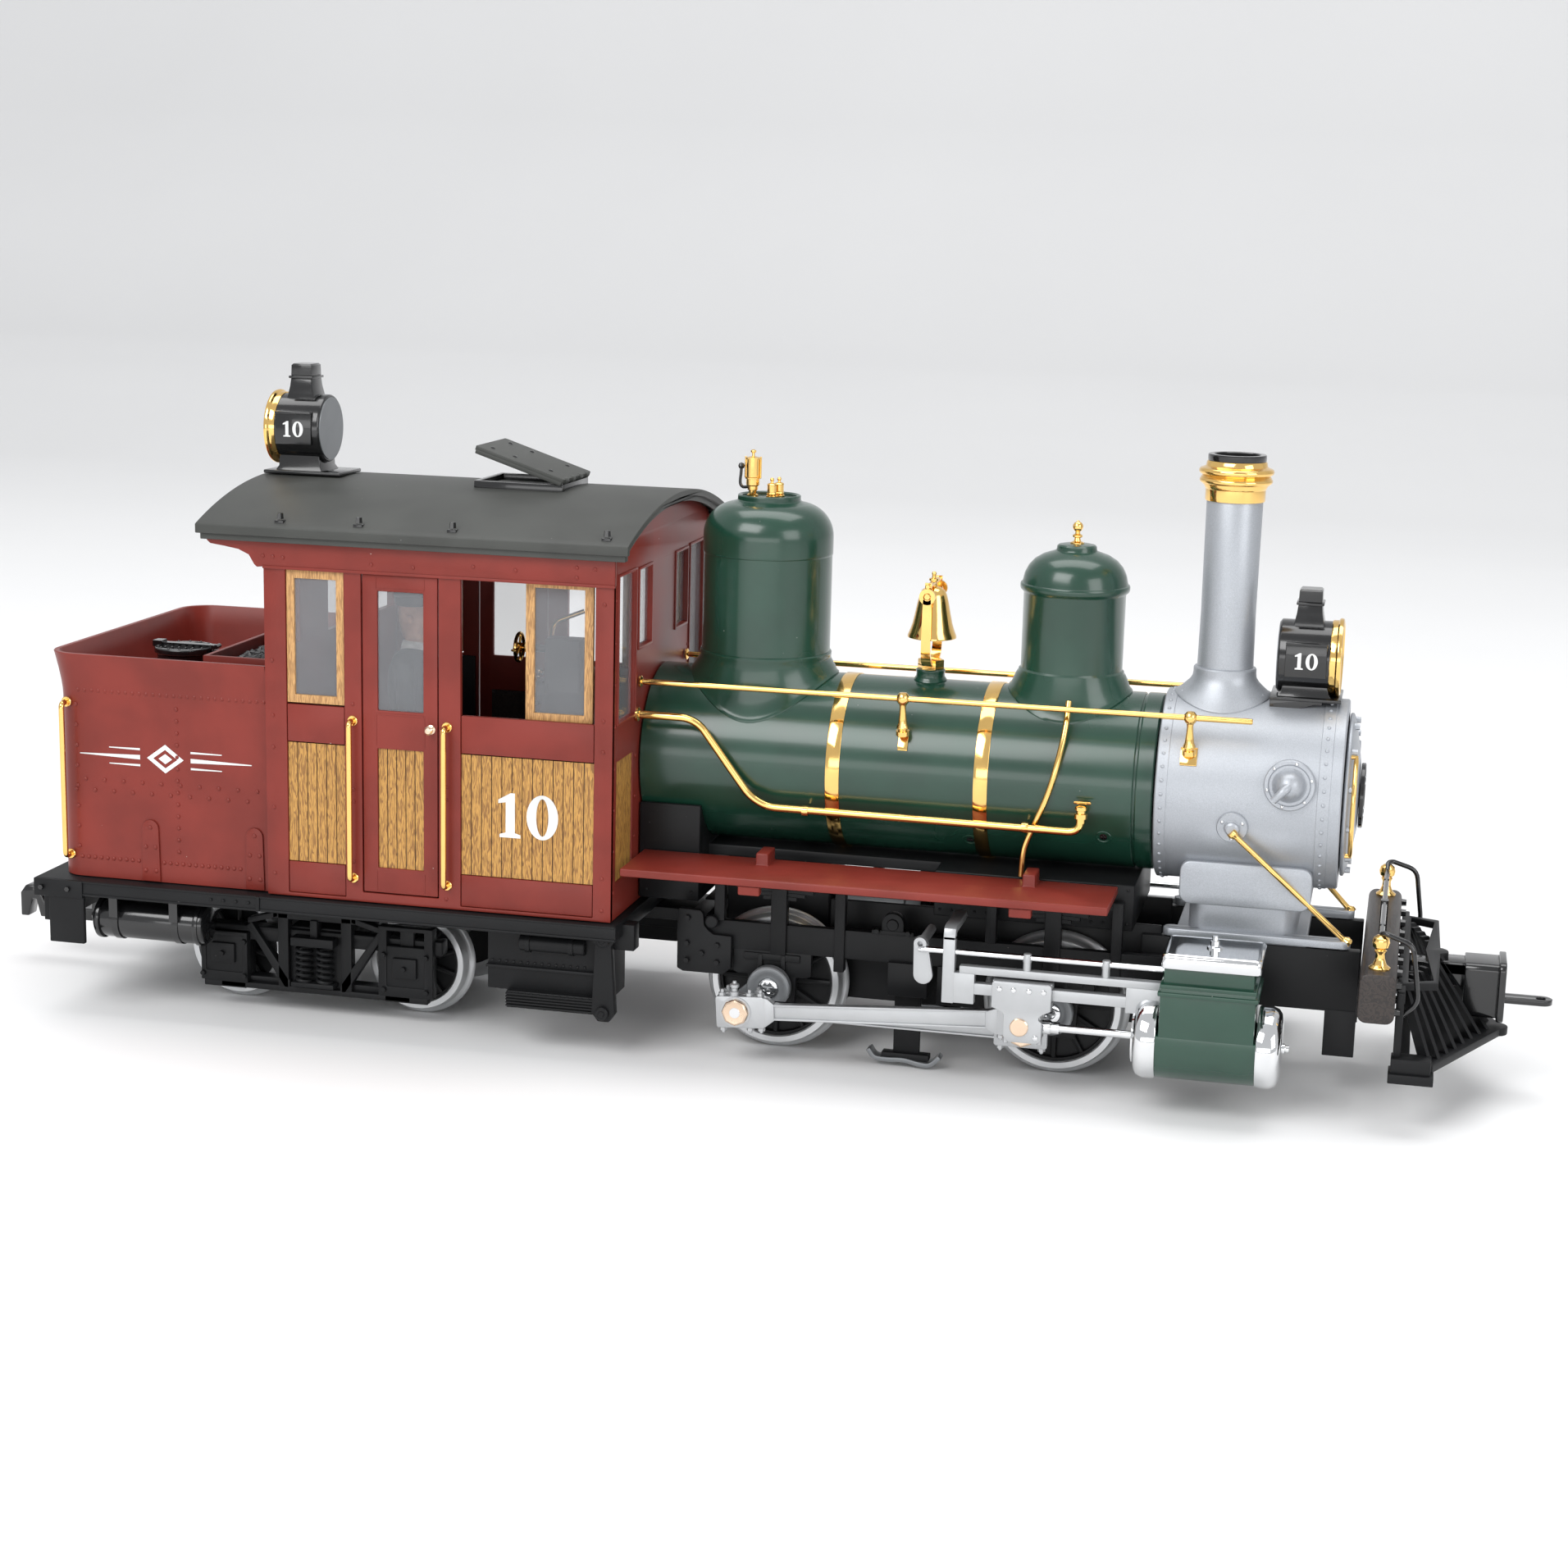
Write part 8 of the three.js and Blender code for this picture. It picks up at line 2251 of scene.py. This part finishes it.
def build_stage():
    scene = bpy.context.scene
    scene.view_settings.view_transform = "Standard"
    world_data = bpy.data.worlds.new("studio")
    world_data.use_nodes = True
    sky = world_data.node_tree.nodes["Background"]
    sky.inputs[0].default_value = (0.93, 0.94, 0.96, 1)
    sky.inputs[1].default_value = 0.75
    scene.world = world_data
    paint = Paint("studio_floor", Roughness=0.55)
    tone = paint.mix(paint.noise(300), (0.80, 0.80, 0.80, 1), (0.84, 0.84, 0.84, 1))
    floor_finish = paint.dress(tone)
    data = bpy.data.meshes.new("studio_floor")
    profile = [(-4.0, 0.0), (1.6, 0.0), (2.2, 0.08), (2.6, 0.35), (2.75, 0.8), (2.8, 3.5)]
    verts = [(x, y, z - 0.0002) for y, z in profile for x in (-5.0, 5.0)]
    data.from_pydata(verts, [], [(2 * i, 2 * i + 1, 2 * i + 3, 2 * i + 2) for i in range(len(profile) - 1)])
    data.materials.append(floor_finish)
    data.polygons.foreach_set("use_smooth", [True] * len(data.polygons))
    floor = bpy.data.objects.new("studio_floor", data)
    scene.collection.objects.link(floor)
    soft_light("key_light", (-0.7, -1.5, 1.5), (0, 0, 0.08), (1.4, 1.0), 26)
    soft_light("fill_light", (1.6, -1.1, 0.8), (0.05, 0, 0.08), (1.0, 1.0), 10)
    soft_light("top_light", (0.0, 0.25, 1.7), (0, 0, 0.1), (1.8, 0.9), 16)
    soft_light("low_light", (0.1, -1.9, 0.25), (0, 0, 0.05), (2.2, 0.35), 6)
    aim_camera(scene.engine_sizes.lens)


# ---- The add-on ----


class ENGINE_OT_finishes(Operator):
    """Makes every material from the panel's colours."""
    bl_idname = "engine.finishes"
    bl_label = "Finishes"

    def execute(self, context):
        FINISH.update(make_finishes(context.scene.engine_colours))
        return {"FINISHED"}


class ENGINE_OT_tank(Operator):
    """Builds the tank with its rivets and brackets, the filler and the heaped bunker."""
    bl_idname = "engine.tank"
    bl_label = "Tank, filler and coal"

    def execute(self, context):
        build_tank()
        build_ornament()
        return {"FINISHED"}


class ENGINE_OT_cab(Operator):
    """Builds the cab's walls, windows, boards, doors, rails and number."""
    bl_idname = "engine.cab"
    bl_label = "Cab"

    def execute(self, context):
        build_cab()
        build_numbers()
        return {"FINISHED"}


class ENGINE_OT_roof(Operator):
    """Builds the curved roof with its bolts and the tilting hatch."""
    bl_idname = "engine.roof"
    bl_label = "Roof and hatch"

    def execute(self, context):
        build_roof()
        return {"FINISHED"}


class ENGINE_OT_inside(Operator):
    """Builds the backhead with its gauges, the throttle wheel and the driver."""
    bl_idname = "engine.inside"
    bl_label = "Cab fittings and driver"

    def execute(self, context):
        build_cab_inside()
        return {"FINISHED"}


class ENGINE_OT_boiler(Operator):
    """Builds the boiler with its bands, domes, whistle, bell, handrails and pipes."""
    bl_idname = "engine.boiler"
    bl_label = "Boiler"

    def execute(self, context):
        build_boiler()
        build_domes()
        build_rails()
        return {"FINISHED"}


class ENGINE_OT_smokebox(Operator):
    """Builds the smokebox with its door, stack, clean-out flanges and both headlamps."""
    bl_idname = "engine.smokebox"
    bl_label = "Smokebox"

    def execute(self, context):
        build_smokebox()
        build_stack()
        build_lamps()
        return {"FINISHED"}


class ENGINE_OT_wheels(Operator):
    """Builds the driving and truck wheelsets with their hubs, cranks and pins."""
    bl_idname = "engine.wheels"
    bl_label = "Wheels"

    def execute(self, context):
        build_wheels()
        return {"FINISHED"}


class ENGINE_OT_rods(Operator):
    """Builds the main and side rods, the crossheads, the guides and the cylinders."""
    bl_idname = "engine.rods"
    bl_label = "Rods and cylinders"

    def execute(self, context):
        build_rods()
        return {"FINISHED"}


class ENGINE_OT_frames(Operator):
    """Builds the frames, the springs, the motor, the worm and the pickup shoes."""
    bl_idname = "engine.frames"
    bl_label = "Frames and drive"

    def execute(self, context):
        build_frames()
        return {"FINISHED"}


class ENGINE_OT_footplate(Operator):
    """Builds the footplate with its tanks and boxes, the truck and the rear coupler."""
    bl_idname = "engine.footplate"
    bl_label = "Footplate and truck"

    def execute(self, context):
        build_footplate()
        build_truck()
        return {"FINISHED"}


class ENGINE_OT_front(Operator):
    """Builds the saddle, the running boards, the beam, the pilot and the drawbar."""
    bl_idname = "engine.front"
    bl_label = "Front end"

    def execute(self, context):
        build_front_end()
        return {"FINISHED"}


class ENGINE_OT_stage(Operator):
    """Sets up the floor, the lights and the camera."""
    bl_idname = "engine.stage"
    bl_label = "Stage"

    def execute(self, context):
        build_stage()
        return {"FINISHED"}


STEPS = (ENGINE_OT_finishes, ENGINE_OT_tank, ENGINE_OT_cab, ENGINE_OT_roof, ENGINE_OT_inside,
    ENGINE_OT_boiler, ENGINE_OT_smokebox, ENGINE_OT_wheels, ENGINE_OT_rods, ENGINE_OT_frames,
    ENGINE_OT_footplate, ENGINE_OT_front, ENGINE_OT_stage,)


class ENGINE_PT_panel(Panel):
    """Colours, sizes and one button for each part of the engine."""
    bl_label = "Steam engine"
    bl_idname = "ENGINE_PT_panel"
    bl_space_type = "VIEW_3D"
    bl_region_type = "UI"
    bl_category = "Engine"

    def draw(self, context):
        scene = context.scene
        for group in (scene.engine_colours, scene.engine_sizes):
            box = self.layout.box()
            for key in group.__annotations__:
                box.prop(group, key)
        column = self.layout.column(align=True)
        for step in STEPS:
            column.operator(step.bl_idname)


CLASSES = (EngineSizes, EngineColours, *STEPS, ENGINE_PT_panel)


def register():
    for cls in CLASSES:
        bpy.utils.register_class(cls)
    bpy.types.Scene.engine_sizes = PointerProperty(type=EngineSizes)
    bpy.types.Scene.engine_colours = PointerProperty(type=EngineColours)


def unregister():
    del bpy.types.Scene.engine_colours
    del bpy.types.Scene.engine_sizes
    for cls in reversed(CLASSES):
        bpy.utils.unregister_class(cls)


def main():
    register()
    for step in STEPS:
        group, key = step.bl_idname.split(".")
        getattr(getattr(bpy.ops, group), key)()
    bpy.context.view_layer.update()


if __name__ == "__main__":
    main()
